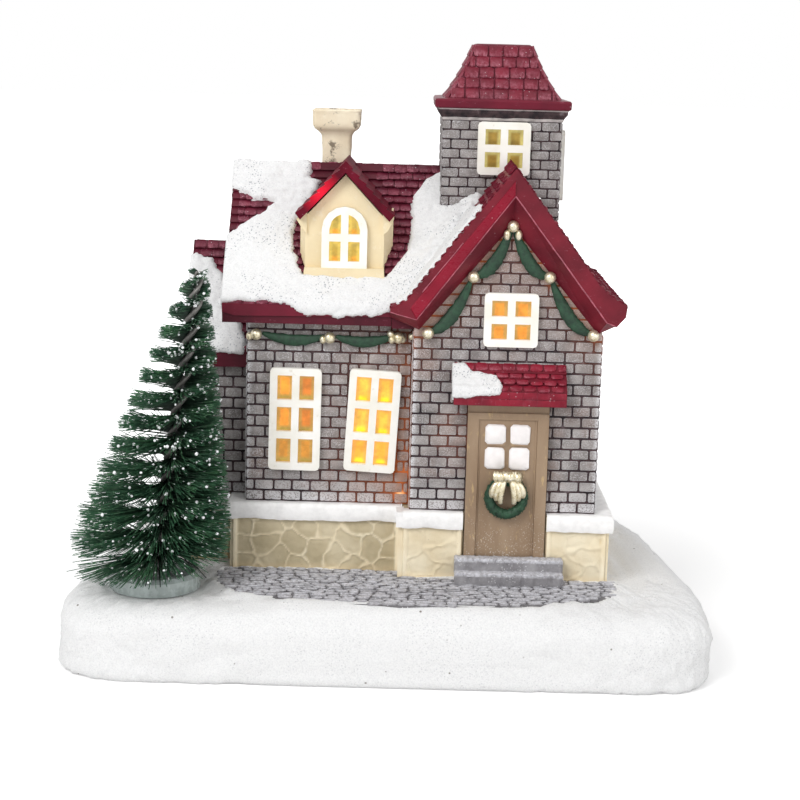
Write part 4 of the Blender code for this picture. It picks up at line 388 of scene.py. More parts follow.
def cobble_look(name="cobble_paint", shade=1.0):
    s = Shader(name, roughness=0.85)
    dark, light = (tuple(v * shade for v in tone) for tone in ((0.20, 0.19, 0.20),
                                                              (0.36, 0.35, 0.36)))
    tone = s.ramp(s.noise(220, 3), (0.3, dark), (0.7, light))
    streak = s.noise(1500, 5, 0.75)
    crown = s.times(s.painted(), s.ramp(streak, (0.38, 0.15), (0.56, 1.0)))
    dry = s.most(s.ramp(streak, (0.60, 0.0), (0.70, 0.7)), s.times(crown, 0.85))
    colour = s.mix(dry, tone, (0.70, 0.70, 0.75))
    white = s.specks(1500, 0.08, 0.22, s.noise(350, 2), (0.44, 0.0), (0.54, 0.9))
    s.colour(s.mix(white, colour, (0.93, 0.93, 0.95)))
    return s.bump(streak, 0.6)


def cream_look(name, base, shade, stain, rarity=0.60):
    s = Shader(name, roughness=0.6)
    tone = s.ramp(s.noise(90, 4), (0.35, shade), (0.65, base))
    spots = s.ramp(s.noise(230, 5, 0.7), (rarity, 0.0), (rarity + 0.07, stain))
    colour = s.mix(spots, tone, (0.16, 0.12, 0.08))
    pale = s.ramp(s.noise(500, 4, 0.7), (0.58, 0.0), (0.70, 0.5))
    s.colour(s.mix(pale, colour, (0.90, 0.82, 0.66)))
    return s.bump(s.noise(600, 5, 0.65), 0.5, 0.00025)


def door_look():
    s = Shader("door_paint", roughness=0.55)
    tone = s.ramp(s.noise(160, 4, 0.6, (1, 1, 0.25)), (0.3, (0.255, 0.165, 0.098)),
                  (0.7, (0.36, 0.255, 0.165)))
    gilt = s.ramp(s.noise(700, 4, 0.7, (1, 1, 0.3)), (0.60, 0.0), (0.68, 0.6))
    tone = s.mix(gilt, tone, (0.60, 0.42, 0.20))
    dust = s.specks(2300, 0.10, 0.30, s.noise(500, 2), (0.42, 0.1), (0.56, 1.0))
    dust = s.times(dust, s.along("Z", (24, 0.9), (30, 0.5), (37, 0.06)))
    s.colour(s.mix(dust, tone, (0.85, 0.82, 0.76)))
    return s.bump(s.noise(900, 5, 0.7, (1, 1, 0.3)), 0.4)


def ivory_look():
    s = Shader("frame_ivory_paint", roughness=0.4)
    tone = s.ramp(s.noise(140, 3), (0.35, (0.88, 0.85, 0.76)), (0.65, (0.97, 0.95, 0.91)))
    s.colour(s.mix(s.ramp(s.noise(700, 4), (0.64, 0.0), (0.74, 0.35)), tone, (0.60, 0.52, 0.36)))
    return s.bump(s.noise(700, 3), 0.2, 0.0001)


def pane_look(name, dull, bright, strength):
    """A translucent amber sheet lit from behind, brighter in patches."""
    s = Shader(name, roughness=0.25)
    colour = s.ramp(s.noise(120, 2), (0.38, dull), (0.60, bright))
    s.colour(s.mix(0.35, colour, (0.05, 0.03, 0.0)))
    s.glow(colour, strength)
    s.put("Coat Weight", 0.4)
    return s.bump(s.noise(500, 2), 0.2, 0.0001)


def light_look():
    """The lit face of a window, whose colours its points carry."""
    s = Shader("window_lights", roughness=0.3)
    mottle = s.ramp(s.noise(900, 3), (0.35, 0.82), (0.6, 1.0))
    hue = s.mix(1.0, s.painted("hue", "Color"), mottle, "MULTIPLY")
    s.colour(s.mix(0.55, hue, (0.0, 0.0, 0.0)))
    s.glow(hue, 0.86)
    s.put("Coat Weight", 0.3)
    return s.bump(s.noise(600, 2), 0.2, 0.0001)


def green_look(name, dark, light):
    s = Shader(name, roughness=0.6)
    s.colour(s.ramp(s.noise(700, 4, 0.7), (0.35, dark), (0.7, light)))
    return s.bump(s.noise(1500, 4))


def bristle_look():
    s = Shader("bristle_fibre", roughness=0.5)
    tone = s.ramp(s.noise(260, 3), (0.3, (0.016, 0.062, 0.032)), (0.52, (0.036, 0.130, 0.062)),
                  (0.72, (0.100, 0.260, 0.115)))
    # Painted shade: each strand darkens to near black at its foot by the stem, inside the brush;
    # toward the tips it turns pale green in patches.
    ends = s.ramp(s.painted(), (0.0, 0.0), (0.4, 0.4), (1.0, 0.9))
    stem_shade = s.mix(ends, (0.006, 0.016, 0.011), tone)
    pale = s.times(ends, s.ramp(s.noise(700, 2), (0.55, 0.0), (0.66, 0.5)))
    s.colour(s.mix(pale, stem_shade, (0.24, 0.36, 0.25)))
    s.put("Specular IOR Level", 0.6)
    s.rough(s.ramp(s.noise(900, 2), (0.3, 0.4), (0.7, 0.6)))
    return s.material


def gold_look():
    s = Shader("gold_paint", roughness=0.3, metallic=0.7)
    s.colour(s.ramp(s.noise(900, 3), (0.35, (0.60, 0.51, 0.31)), (0.65, (0.90, 0.84, 0.67))))
    s.rough(s.ramp(s.noise(1500, 3), (0.3, 0.22), (0.7, 0.45)))
    return s.bump(s.noise(1200, 3), 0.4, 0.0001)


def plain_look(name, colour, rough, metallic=0.0, grain=600, strength=0.15, spread=0.12):
    s = Shader(name, roughness=rough, metallic=metallic)
    dark = tuple(v * (1 - spread) for v in colour)
    light = tuple(min(1.0, v * (1 + spread)) for v in colour)
    s.colour(s.ramp(s.noise(grain, 3), (0.35, dark), (0.65, light)))
    s.rough(s.ramp(s.noise(grain * 2, 3), (0.3, max(rough - 0.06, 0.05)), (0.7, rough + 0.08)))
    return s.bump(s.noise(grain * 3, 3), strength, 0.0001)


BRICK = brick_look()
MORTAR = mortar_look()
TILE = tile_look("roof_tile", (0.060, 0.004, 0.013), (0.105, 0.008, 0.023), (0.165, 0.014, 0.034))
TILE_RED = tile_look("tower_tile", (0.105, 0.007, 0.016), (0.155, 0.011, 0.025),
                     (0.215, 0.017, 0.036), 1.1)
TILE_BRIGHT = tile_look("canopy_tile", (0.16, 0.006, 0.018), (0.235, 0.010, 0.026),
                        (0.30, 0.014, 0.034), 0.8)
TRIM = trim_look()
TRIM_DARK = trim_look("roof_trim_dark", (0.062, 0.005, 0.013), (0.105, 0.007, 0.019), 0.5)
TRIM_BOARD = trim_look("eave_board", (0.105, 0.006, 0.018), (0.165, 0.009, 0.026), 0.35)
# The dormer's boards, with a painted highlight in bright red on the left board.
TRIM_HIGHLIT = trim_look("dormer_trim", (0.085, 0.006, 0.014), (0.150, 0.008, 0.022), 0.6,
                       ((-17.8, -15.8, 108.4), 5.6))
# A brighter red for the band on the left gable board: painted light on its lit side.
TRIM_LIT_BAND = trim_look("roof_trim_lit_band", (0.200, 0.006, 0.020), (0.275, 0.009, 0.028), 0.28)
TRIM_TILE = tile_look("gable_tile", (0.090, 0.006, 0.015), (0.130, 0.009, 0.021),
                      (0.175, 0.012, 0.028), 0.12, 0.8)
# Pale pink for strips that stand for light caught on the boards' edges: a painted highlight.
EDGE_HIGHLIGHT = plain_look("trim_edge_highlight", (0.42, 0.11, 0.15), 0.4, 0.0, 700, 0.2, 0.35)
SNOW = snow_look("snow_flock", 0.25, 0.9)
SNOW_ROOF = snow_look("snow_crust", 0.85)
CAP_WHITE = plain_look("cap_white", (0.92, 0.91, 0.90), 0.5, 0.0, 500, 0.3, 0.06)
STONE = stone_look()
COBBLE = cobble_look()
COBBLE_DARK = cobble_look("cobble_gap", 0.55)
DORMER_CREAM = cream_look("render_cream_paint", (0.86, 0.73, 0.48), (0.78, 0.64, 0.40), 0.10)
CHIMNEY_CREAM = cream_look("chimney_paint", (0.86, 0.76, 0.58), (0.74, 0.62, 0.44), 0.9, 0.57)
DOOR_WHITE = plain_look("door_light_paint", (0.90, 0.86, 0.85), 0.45, 0.0, 500, 0.3, 0.05)
LIGHTS = light_look()
DOOR = door_look()
IVORY = ivory_look()
GREEN = green_look("garland_paint", (0.007, 0.028, 0.014), (0.020, 0.075, 0.036))
WREATH_GREEN = green_look("wreath_paint", (0.006, 0.026, 0.013), (0.022, 0.085, 0.040))
GOLD = gold_look()
BRISTLE = bristle_look()
FROST = plain_look("tree_frost", (0.93, 0.94, 0.96), 0.7, 0.0, 900, 0.4, 0.05)
CORNICE = plain_look("cornice_paint", (0.44, 0.40, 0.39), 0.9, 0.0, 500, 0.4, 0.2)
WIRE = plain_look("stem_wire", (0.19, 0.18, 0.17), 0.4, 0.2, 500, 0.2, 0.3)
DISC = plain_look("disc_resin", (0.37, 0.42, 0.41), 0.25, 0.0, 300, 0.3, 0.15)
HOUSING = plain_look("housing_plastic", (0.82, 0.82, 0.80), 0.45, 0.0, 800, 0.2, 0.03)
STEEL = plain_look("bright_steel", (0.60, 0.60, 0.62), 0.3, 1.0, 900, 0.1, 0.08)
CELL = plain_look("cell_sleeve", (0.10, 0.10, 0.11), 0.35, 0.0, 500, 0.1, 0.2)
BLACK = plain_look("switch_plastic", (0.03, 0.03, 0.03), 0.5, 0.0, 900, 0.2, 0.2)
RED_LEAD = plain_look("lead_red_skin", (0.55, 0.03, 0.03), 0.5)
BLACK_LEAD = plain_look("lead_black_skin", (0.02, 0.02, 0.02), 0.5)

PANES = {
    "main_window_left": pane_look("pane_orange", (0.62, 0.26, 0.03), (1.0, 0.44, 0.06), 0.80),
    "main_window_right": pane_look("pane_yellow", (1.0, 0.52, 0.05), (1.0, 0.70, 0.06), 0.95),
    "gable_window": pane_look("pane_amber_deep", (0.78, 0.40, 0.05), (0.95, 0.55, 0.12), 0.70),
    "tower_window": pane_look("pane_olive", (0.36, 0.27, 0.06), (0.60, 0.46, 0.14), 0.50),
    "tower_side_window": pane_look("pane_olive_side", (0.36, 0.27, 0.06), (0.60, 0.46, 0.14), 0.45),
    "dormer_window": pane_look("pane_dormer", (0.48, 0.36, 0.10), (0.92, 0.50, 0.09), 0.62),
    "block_side_window": pane_look("pane_amber_side", (0.80, 0.42, 0.06), (1.0, 0.60, 0.12), 0.75),
    "rear_window": pane_look("pane_amber_rear", (0.80, 0.42, 0.06), (1.0, 0.60, 0.12), 0.75),
}

LOOKS = {name: look for look, names in (
    (SNOW, "snow_base"), (COBBLE_DARK, "cobble_path"), (COBBLE, "front_steps"),
    (STONE, "main_plinth block_plinth annex_plinth"),
    (MORTAR, "main_walls block_walls annex_walls tower_walls"),
    (TRIM_DARK, "main_roof annex_roof"), (TRIM, "block_roof tower_roof door_canopy"),
    (TRIM_HIGHLIT, "dormer_roof"), (DORMER_CREAM, "dormer_body"), (CHIMNEY_CREAM, "chimney"),
    (DOOR, "door_frame door_leaf"), (GOLD, "wreath_bow"), (WIRE, "tree_wire_a tree_wire_b"),
    (DISC, "tree_disc"), (HOUSING, "battery_box battery_cover led_post"),
    (STEEL, "cover_screw contact_spring_1 contact_spring_2 contact_plate"),
    (CELL, "cell_1 cell_2"), (BLACK, "switch_slider"),
    (pane_look("lamp_lens", (1.0, 0.78, 0.42), (1.0, 0.90, 0.62), 2.0), "led_bulb"),
    (RED_LEAD, "lead_positive"), (BLACK_LEAD, "lead_negative"),
    (SNOW_ROOF, "main_roof_snow annex_roof_snow canopy_snow"), (WREATH_GREEN, "wreath"),
    (GREEN, "eave_garland gable_garland"), (BRISTLE, "tree_bristles"),
) for name in names.split()}

for node_name, obj in nodes.items():
    if node_name.endswith("_frame") and node_name != "door_frame":
        look = IVORY
    elif node_name.endswith("_pane"):
        look = PANES[node_name[:-5]]
    else:
        look = LOOKS[node_name]
    obj.data.materials.clear()
    obj.data.materials.append(look)


# Mesh building, in millimetres

TURNED, UPRIGHT = (1, 0, 3, 2), (0, 3, 2, 1)


def quads(rows, columns, closed=False, order=(0, 1, 2, 3)):
    """The faces between rows of points, which are rings if closed. order is the way round each."""
    faces = []
    for i in range(rows - 1):
        for k in range(columns if closed else columns - 1):
            a, b = i * columns + k, i * columns + (k + 1) % columns
            corners = (a, b, b + columns, a + columns)
            faces.append(tuple(corners[n] for n in order))
    return faces


class Skin:
    """Points in millimetres and faces, gathered into one object."""

    def __init__(self):
        self.points = []
        self.faces = []
        self.tones = []
        self.hues = []

    def add(self, points, faces, tones=None):
        first = len(self.points)
        self.points.extend(points)
        self.tones.extend(tones or [0.0] * len(points))
        self.faces.extend(tuple(first + i for i in face) for face in faces)

    def grid(self, points, columns, tones=None, closed=False, caps=(), order=(0, 1, 2, 3)):
        """Rows of points joined by quads. caps are the rows, 0 or -1, with a face across them."""
        rows = len(points) // columns
        faces = quads(rows, columns, closed, order)
        for row in caps:
            ring = tuple(row % rows * columns + k for k in range(columns))
            faces.append(ring[::-1] if (row == 0) == (order[0] < order[1]) else ring)
        self.add(points, faces, tones)

    def tube(self, path, radii, sides=6):
        """A round closed skin along a path."""
        rings, side = [], None
        for i, point in enumerate(path):
            ahead = (path[min(i + 1, len(path) - 1)] - path[max(i - 1, 0)]).normalized()
            side = ahead.orthogonal() if side is None else side - ahead * side.dot(ahead)
            side.normalize()
            up = ahead.cross(side)
            for k in range(sides):
                turn = 2 * math.pi * k / sides
                rings.append(point + (side * math.cos(turn) + up * math.sin(turn)) * radii[i])
        self.grid(rings, sides, closed=True, caps=(0, -1))

    def ball(self, centre, radius, level=1, squash=1.0, stretch=1.0):
        bm = bmesh.new()
        bmesh.ops.create_icosphere(bm, subdivisions=level, radius=radius)
        points = [centre + Vector((v.co.x * stretch, v.co.y, v.co.z * squash)) for v in bm.verts]
        faces = [tuple(v.index for v in f.verts) for f in bm.faces]
        bm.free()
        self.add(points, faces)

    def box(self, low, high, tone=0.0):
        points = [Vector((x, y, z)) for z in (low[2], high[2]) for y in (low[1], high[1])
                  for x in (low[0], high[0])]
        self.add(points, [(0, 2, 3, 1), (4, 5, 7, 6), (0, 1, 5, 4), (2, 6, 7, 3),
                          (0, 4, 6, 2), (1, 3, 7, 5)], [tone] * 8)

    def piece(self, name, material, slot, body=HOUSE, smooth=True, cuts=(), angle=40, weld=False):
        """Makes the object. Each cut is a (point, normal) whose far side is removed."""
        mesh = bpy.data.meshes.new(name)
        mesh.from_pydata([tuple(p * MM) for p in self.points], [], self.faces)
        mesh.attributes.new("lip", "FLOAT", "POINT").data.foreach_set("value", self.tones)
        if self.hues:
            hue = mesh.attributes.new("hue", "FLOAT_COLOR", "POINT")
            hue.data.foreach_set("color", [v for colour in self.hues for v in (*colour, 1.0)])
        if cuts or weld:
            bm = bmesh.new()
            bm.from_mesh(mesh)
            for point, normal in cuts:
                every = bm.verts[:] + bm.edges[:] + bm.faces[:]
                bmesh.ops.bisect_plane(bm, geom=every, dist=1e-7, plane_co=point * MM,
                                       plane_no=normal, clear_outer=True)
                bmesh.ops.holes_fill(bm, edges=[e for e in bm.edges if e.is_boundary], sides=0)
            if weld:
                bmesh.ops.remove_doubles(bm, verts=bm.verts, dist=1e-6)
                bmesh.ops.recalc_face_normals(bm, faces=bm.faces)
            bm.to_mesh(mesh)
            bm.free()
        mesh.update()
        obj = bpy.data.objects.new(name, mesh)
        bpy.context.scene.collection.objects.link(obj)
        mesh.materials.append(material)
        if smooth:
            mesh.shade_smooth()
            mesh.set_sharp_from_angle(angle=math.radians(angle))
        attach(obj, body)
        return obj


def plane(origin, u, v, w):
    """A function from (along, up, out) on a face to a point."""
    origin, u, v, w = Vector(origin), Vector(u), Vector(v), Vector(w)
    return lambda a, b, c: origin + u * a + v * b + w * c


TILE_TONES = (0.6, 1.0, 0.9, 0.0)
BRICK_TONES = (0.0, 1.0, 0.45, 0.45)
STONE_TONES = (0.0, 0.5, 1.0, 1.0)


def pillow(skin, at, u, v, foot, crown, inset, corner, rng, wobble=0.06, tones=TILE_TONES):
    """A raised block with rounded shoulders on a face. foot and crown are heights at v's ends,
    and tones are those of the foot, the shoulder, and the crown's low and high ends."""
    (u0, u1), (v0, v1) = u, v
    corner = min(corner, (u1 - u0) * 0.3, (v1 - v0) * 0.3)

    def ring(shrink, share):
        x0, x1, y0, y1 = u0 + shrink, u1 - shrink, v0 + shrink, v1 - shrink
        c = corner
        outline = [(x0 + c, y0), (x1 - c, y0), (x1, y0 + c), (x1, y1 - c),
                   (x1 - c, y1), (x0 + c, y1), (x0, y1 - c), (x0, y0 + c)]
        points = []
        for x, y in outline:
            along = (y - v0) / (v1 - v0)
            low = foot[0] + (foot[1] - foot[0]) * along
            high = crown[0] + (crown[1] - crown[0]) * along
            points.append((x, y, low + (high - low) * share))
        return points

    rings = [ring(0.0, 0.0), ring(0.0, 0.72), ring(inset, 1.0)]
    points, shades = [], []
    tilt = rng.uniform(-wobble, wobble) * 0.6
    for number, one in enumerate(rings):
        for x, y, z in one:
            upper = y > (v0 + v1) / 2
            shades.append(tones[number] * (0.75 if upper and number == 1 else 1.0)
                          if number < 2 else tones[3 if upper else 2])
            jitter = wobble if number else wobble * 0.6
            points.append(at(x + rng.uniform(-jitter, jitter), y + rng.uniform(-jitter, jitter),
                             z + (rng.uniform(-jitter, jitter) * 0.5 + tilt if number else 0)))
    skin.grid(points, 8, shades, True, (-1,))


def spans(low, high, holes):
    """The parts of an interval that are left beside the holes."""
    left = [(low, high)]
    for a, b in holes:
        left = [part for x, y in left for part in ((x, min(y, a)), (max(x, b), y))
                if part[1] - part[0] > 0.9]
    return left


def lay_bricks(skin, at, u, v, rng, top=None, holes=(), pitch=(4.45, 2.55), joint=0.5, hidden=None):
    """Running bond over a wall face. top(v) gives the face's limits at a height."""
    rows = max(1, round((v[1] - v[0]) / pitch[1]))
    rise = (v[1] - v[0]) / rows
    for row in range(rows):
        low, high = v[0] + row * rise, v[0] + (row + 1) * rise
        edge = top(low + 0.7) if top else u
        if edge[1] - edge[0] < 1.0:
            continue
        parts = [(low, high, part) for part in spans(
            edge[0], edge[1], [(a, b) for a, b, c, d in holes if low < d and high > c])]
        for a, b, c, d in holes:
            strips = ((low, min(high, c + 0.2)), (max(low, d - 0.2), high))
            parts += [(*strip, (max(a, edge[0]), min(b, edge[1]))) for strip in strips
                      if low < d and high > c and strip[1] - strip[0] > 0.75
                      and min(b, edge[1]) - max(a, edge[0]) > 1.0]
        for low, high, (start, end) in parts:
            first = u[0] - (pitch[0] / 2 if row % 2 else 0)
            joints = [start]
            step = first
            while step < end - 0.7:
                if step > start + 0.7:
                    joints.append(step + rng.uniform(-0.14, 0.14))
                step += pitch[0]
            joints.append(end)
            for a, b in zip(joints, joints[1:]):
                if hidden and hidden(a, b, low, high):
                    continue
                height = rng.uniform(0.20, 0.29)
                pillow(skin, at, (a + joint / 2, b - joint / 2),
                       (low + joint / 2, high - joint / 2), (-0.1, -0.1), (height, height),
                       0.16, 0.22, rng, 0.05, BRICK_TONES)


def lay_tiles(skin, at, u, length, rng, width=3.0, gap=0.24, lift=(0.36, 0.04), hidden=None,
              course=COURSE, wobble=0.15):
    """Staggered tiles over the solid's stepped courses, from the eave up a slope."""
    count = max(2, round(length / course))
    rise = length / count
    for row in range(count):
        low, high = row * rise, (row + 1) * rise
        sink = -TILE_STEP if row < count - 1 else 0.0
        step = u[0] - (width / 2 if row % 2 else 0)
        while step < u[1]:
            a, b = max(step, u[0]), min(step + width, u[1])
            step += width
            if b - a < 0.8 or (hidden and hidden(a, b, low, high)):
                continue
            ruffle = rng.uniform(-0.10, 0.10)
            pillow(skin, at, (a + gap / 2, b - gap / 2), (low - 0.12 + ruffle, high + 0.05),
                   (-0.15, sink - 0.15), (lift[0] + ruffle, sink + lift[1]), 0.2, 0.4, rng, wobble)


# Bricks

UP = (0, 0, 1)
FACINGS = {"front": ((1, 0, 0), (0, -1, 0)), "back": ((-1, 0, 0), (0, 1, 0)),
           "right": ((0, 1, 0), (1, 0, 0)), "left": ((0, -1, 0), (-1, 0, 0))}
# How far bricks reach past a wall's corner, and the height where their lowest row starts
CORNER = 0.15
FOOT = MAIN_LOW.z + 0.05


def facade(side, place):
    """A wall face that looks to one side."""
    along, out = FACINGS[side]
    return plane([abs(v) * place for v in out], along, UP, out)


def window_hole(name, axis):
    low, high = node_box(name + "_frame")
    inset = 0.7
    return (low[axis] + inset, high[axis] - inset, low.z + inset, high.z - inset)


def brick_walls(name, *faces, **laying):
    """Each face has its frame, its ranges along and up, and what it alone needs."""
    skin = Skin()
    for at, u, v, extra in faces:
        lay_bricks(skin, at, u, v, rng, **laying, **extra)
    skin.piece(name, BRICK, "brick_grey")


def gable(low, high, roof_top, ridge, slope):
    """Gives the limits of a gable's bricks at a height."""
    def limits(z):
        reach = (roof_top - ROOF_THICK - 0.8 - z) / slope
        return max(low.y - CORNER, ridge - reach), min(high.y + CORNER, ridge + reach)
    return limits


def mirrored(limits):
    return lambda z: tuple(-v for v in limits(z)[::-1])


def turned(hole):
    """A hole of the front view, as a wall that looks back has it."""
    return (-hole[1], -hole[0], *hole[2:])


def behind_annex(a, b, low, high):
    half = (AROOF_HIGH.z - high) / ANNEX_SLOPE
    return (a > max(ANNEX_RIDGE_Y - half, ANNEX_LOW.y)
            and b < min(ANNEX_RIDGE_Y + half, ANNEX_HIGH.y))


rng = random.Random(7)
main_soffit = MROOF_LOW.z + (MAIN_LOW.y - MROOF_LOW.y) * MAIN_SLOPE - 0.9
UNDER_BLOCK_EAVE = (-0.4, 9, 77.2, 99)
brick_walls(
    "main_wall_bricks",
    (facade("front", MAIN_LOW.y), (MAIN_LOW.x - CORNER, MAIN_RIGHT), (FOOT, main_soffit),
     {"holes": [window_hole("main_window_left", 0), window_hole("main_window_right", 0),
                UNDER_BLOCK_EAVE]}),
    (plane((MAIN_LOW.x, 0, 0), (0, 1, 0), UP, (-1, 0, 0)),
     (MAIN_LOW.y - CORNER, MAIN_HIGH.y + CORNER), (FOOT, MROOF_HIGH.z - ROOF_THICK - 1.2),
     {"top": gable(MAIN_LOW, MAIN_HIGH, MROOF_HIGH.z, MAIN_RIDGE_Y, MAIN_SLOPE),
      "hidden": behind_annex}),
    (facade("back", MAIN_HIGH.y), (-MAIN_RIGHT, -MAIN_LOW.x + CORNER), (FOOT, main_soffit),
     {"holes": [turned(window_hole("rear_window", 0)), turned(UNDER_BLOCK_EAVE)]}),
    (facade("right", MAIN_RIGHT), (BLOCK_HIGH.y, MAIN_HIGH.y + CORNER), (FOOT, main_soffit), {}))

SOFFIT_APEX = BROOF_HIGH.z - 11.4


def block_gable(z):
    share = max(0.0, (z + 0.9 - BROOF_LOW.z) / (SOFFIT_APEX - BROOF_LOW.z))
    return (BLOCK_LOW.x - CORNER + (BLOCK_RIDGE_X - BLOCK_LOW.x) * share,
            BLOCK_HIGH.x + CORNER - (BLOCK_HIGH.x - BLOCK_RIDGE_X) * share)


door_low, door_high = node_box("door_frame")
gable_rows, side_rows = (FOOT, SOFFIT_APEX - 2.0), (FOOT, BROOF_LOW.z - 0.7)
brick_walls(
    "block_wall_bricks",
    (facade("front", BLOCK_LOW.y), (BLOCK_LOW.x - CORNER, BLOCK_HIGH.x + CORNER), gable_rows,
     {"top": block_gable, "holes": [
         window_hole("gable_window", 0), (door_low.x, door_high.x, 0, door_high.z),
         (CANOPY_LOW.x + 0.4, CANOPY_HIGH.x - 0.4, CANOPY_LOW.z + 0.2, CANOPY_HIGH.z - 0.3)]}),
    (facade("back", BLOCK_HIGH.y), (-BLOCK_HIGH.x - CORNER, -BLOCK_LOW.x + CORNER), gable_rows,
     {"top": mirrored(block_gable)}),
    (facade("right", BLOCK_HIGH.x), (BLOCK_LOW.y - CORNER, BLOCK_HIGH.y + CORNER), side_rows,
     {"holes": [window_hole("block_side_window", 1)]}),
    (facade("left", BLOCK_LOW.x), (-MAIN_LOW.y, -BLOCK_LOW.y + CORNER), side_rows, {}))

tower_left, tower_right = TOWER_X - TOWER_HALF, TOWER_X + TOWER_HALF
tower_front, tower_back = TOWER_Y - TOWER_HALF, TOWER_Y + TOWER_HALF
TOWER_FOOT = 93.5
tower_rows = (TOWER_FOOT, TOWER_BRICK_TOP)


def under_block(a, b, low, high):
    return high < min(block_surface(a), block_surface(b)) - 0.2


def under_both(a, b, low, high):
    """On the tower's left face, along which a and b run to the front."""
    main = min(main_surface(-a), main_surface(-b))
    return high < max(block_surface(tower_left), main) - 0.2


brick_walls(
    "tower_wall_bricks",
    (facade("front", tower_front), (tower_left - CORNER, tower_right + CORNER), tower_rows,
     {"holes": [window_hole("tower_window", 0)], "hidden": under_block}),
    (facade("back", tower_back), (-tower_right - CORNER, -tower_left + CORNER), tower_rows,
     {"hidden": lambda a, b, low, high: under_block(-a, -b, low, high)}),
    (facade("right", tower_right), (tower_front - CORNER, tower_back + CORNER),
     (block_surface(tower_right) - 0.5, TOWER_BRICK_TOP),
     {"holes": [window_hole("tower_side_window", 1)]}),
    (facade("left", tower_left), (-tower_back - CORNER, -tower_front + CORNER), tower_rows,
     {"hidden": under_both}),
    pitch=(4.3, 2.2), joint=0.38)
skin = Skin()
skin.box((tower_left + 0.03, tower_front + 0.03, TOWER_FOOT),
         (tower_right - 0.03, tower_back - 0.03, 104))
skin.piece("tower_foot", MORTAR, "brick_grey", smooth=False)

annex_soffit = AROOF_LOW.z + (ANNEX_LOW.y - AROOF_LOW.y) * ANNEX_SLOPE - 0.9
brick_walls(
    "annex_wall_bricks",
    (facade("front", ANNEX_LOW.y), (ANNEX_LOW.x - CORNER, ANNEX_HIGH.x), (FOOT, annex_soffit), {}),
    (facade("left", ANNEX_LOW.x), (-ANNEX_HIGH.y - CORNER, -ANNEX_LOW.y + CORNER),
     (FOOT, AROOF_HIGH.z - ROOF_THICK - 1.2),
     {"top": mirrored(gable(ANNEX_LOW, ANNEX_HIGH, AROOF_HIGH.z, ANNEX_RIDGE_Y, ANNEX_SLOPE))}),
    (facade("back", ANNEX_HIGH.y), (-ANNEX_HIGH.x, -ANNEX_LOW.x + CORNER), (FOOT, annex_soffit),
     {}))


# Roof tiles

def slope_length(run, slope):
    return run * math.hypot(1, slope)


def slope_at(y, eave, slope, side=1):
    """A roof slope that rises from its eave to the back, or to the front if side is -1."""
    rise, out = Vector((0, side, slope)), Vector((0, -side * slope, 1))
    return plane((0, y, eave), (side, 0, 0), rise.normalized(), out.normalized())


rng = random.Random(11)
MAIN_EAVE = MROOF_LOW.z + ROOF_THICK
RAKE = 1.7
main_length = slope_length((MROOF_HIGH.y - MROOF_LOW.y) / 2, MAIN_SLOPE)
dormer_low, dormer_high = node_box("dormer_body")


def inside_dormer(a, b, low, high):
    y = MROOF_LOW.y + low / math.hypot(1, MAIN_SLOPE)
    return a > dormer_low.x and b < dormer_high.x and y > dormer_low.y + 1


valley = (Vector((BLOCK_RIDGE_X, 0, BROOF_HIGH.z)), Vector((BLOCK_LEFT_SLOPE, 0, -1)).normalized())
front_at = slope_at(MROOF_LOW.y, MAIN_EAVE, MAIN_SLOPE)
tiles = Skin()
lay_tiles(tiles, front_at, (MROOF_LOW.x + RAKE, 17.0), main_length, rng, hidden=inside_dormer)
lay_tiles(tiles, slope_at(MROOF_HIGH.y, MAIN_EAVE, MAIN_SLOPE, -1),
          (-17.0, -MROOF_LOW.x - RAKE), main_length, rng)
tiles.piece("main_roof_tiles", TILE, "roof_red", cuts=[valley])


def profile_frame(line, side):
    """Follows a bent roof line in XZ from the eave up. side is 1 on the left, -1 on the right."""
    line = [Vector((x, 0, z)) for x, z in line]
    lengths, outs = [0.0], []
    for a, b in zip(line, line[1:]):
        along = (b - a).normalized()
        outs.append(Vector((-along.z, 0, along.x)) * side)
        lengths.append(lengths[-1] + (b - a).length)
    corners = [(outs[max(i - 1, 0)] + outs[min(i, len(outs) - 1)]).normalized()
               for i in range(len(line))]

    def at(a, b, c):
        i = max(k for k in range(len(outs)) if k == 0 or lengths[k] <= b)
        share = (b - lengths[i]) / (lengths[i + 1] - lengths[i])
        place = line[i] + (line[i + 1] - line[i]) * share
        out = corners[i].lerp(corners[i + 1], min(max(share, 0.0), 1.0)).normalized()
        return Vector((place.x, -side * a, place.z)) + out * c

    return at, lengths[-1]


# The block's roof, with feet that kick out, a recessed soffit and boards on its front

LEFT_LINE = BLOCK_LINE[:4]
RIGHT_LINE = BLOCK_LINE[:2:-1]
# The corners of the soffit's front edge: its left foot, its ridge and its right foot
LEFT_FOOT, SOFFIT_RIDGE, RIGHT_FOOT = (5.3, 80.6), (27.07, 109.45), (49.1, 80.97)
INNER_FRONT = [(-0.83, 82.1), LEFT_FOOT, SOFFIT_RIDGE, RIGHT_FOOT, (51.4, 80.1), (53.4, 82.4)]
INNER_WALL = [(-0.83, 80.4), (6.0, 77.6), (26.8, 102.4), (47.6, 77.6), (51.4, 79.4), (53.4, 82.4)]
skin = Skin()
points = []
for y, inner in ((BROOF_LOW.y, INNER_FRONT), (BLOCK_LOW.y - 0.3, INNER_WALL),
                 (BLOCK_HIGH.y + 0.3, INNER_WALL), (BROOF_HIGH.y, INNER_FRONT)):
    points += [Vector((x, y, z)) for x, z in BLOCK_LINE + inner[::-1]]
skin.grid(points, len(BLOCK_LINE) + len(INNER_FRONT), closed=True, caps=(0, -1), order=TURNED)
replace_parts(skin.piece("block_roof_shell", TRIM, "roof_red", smooth=False, weld=True),
            "block_roof")

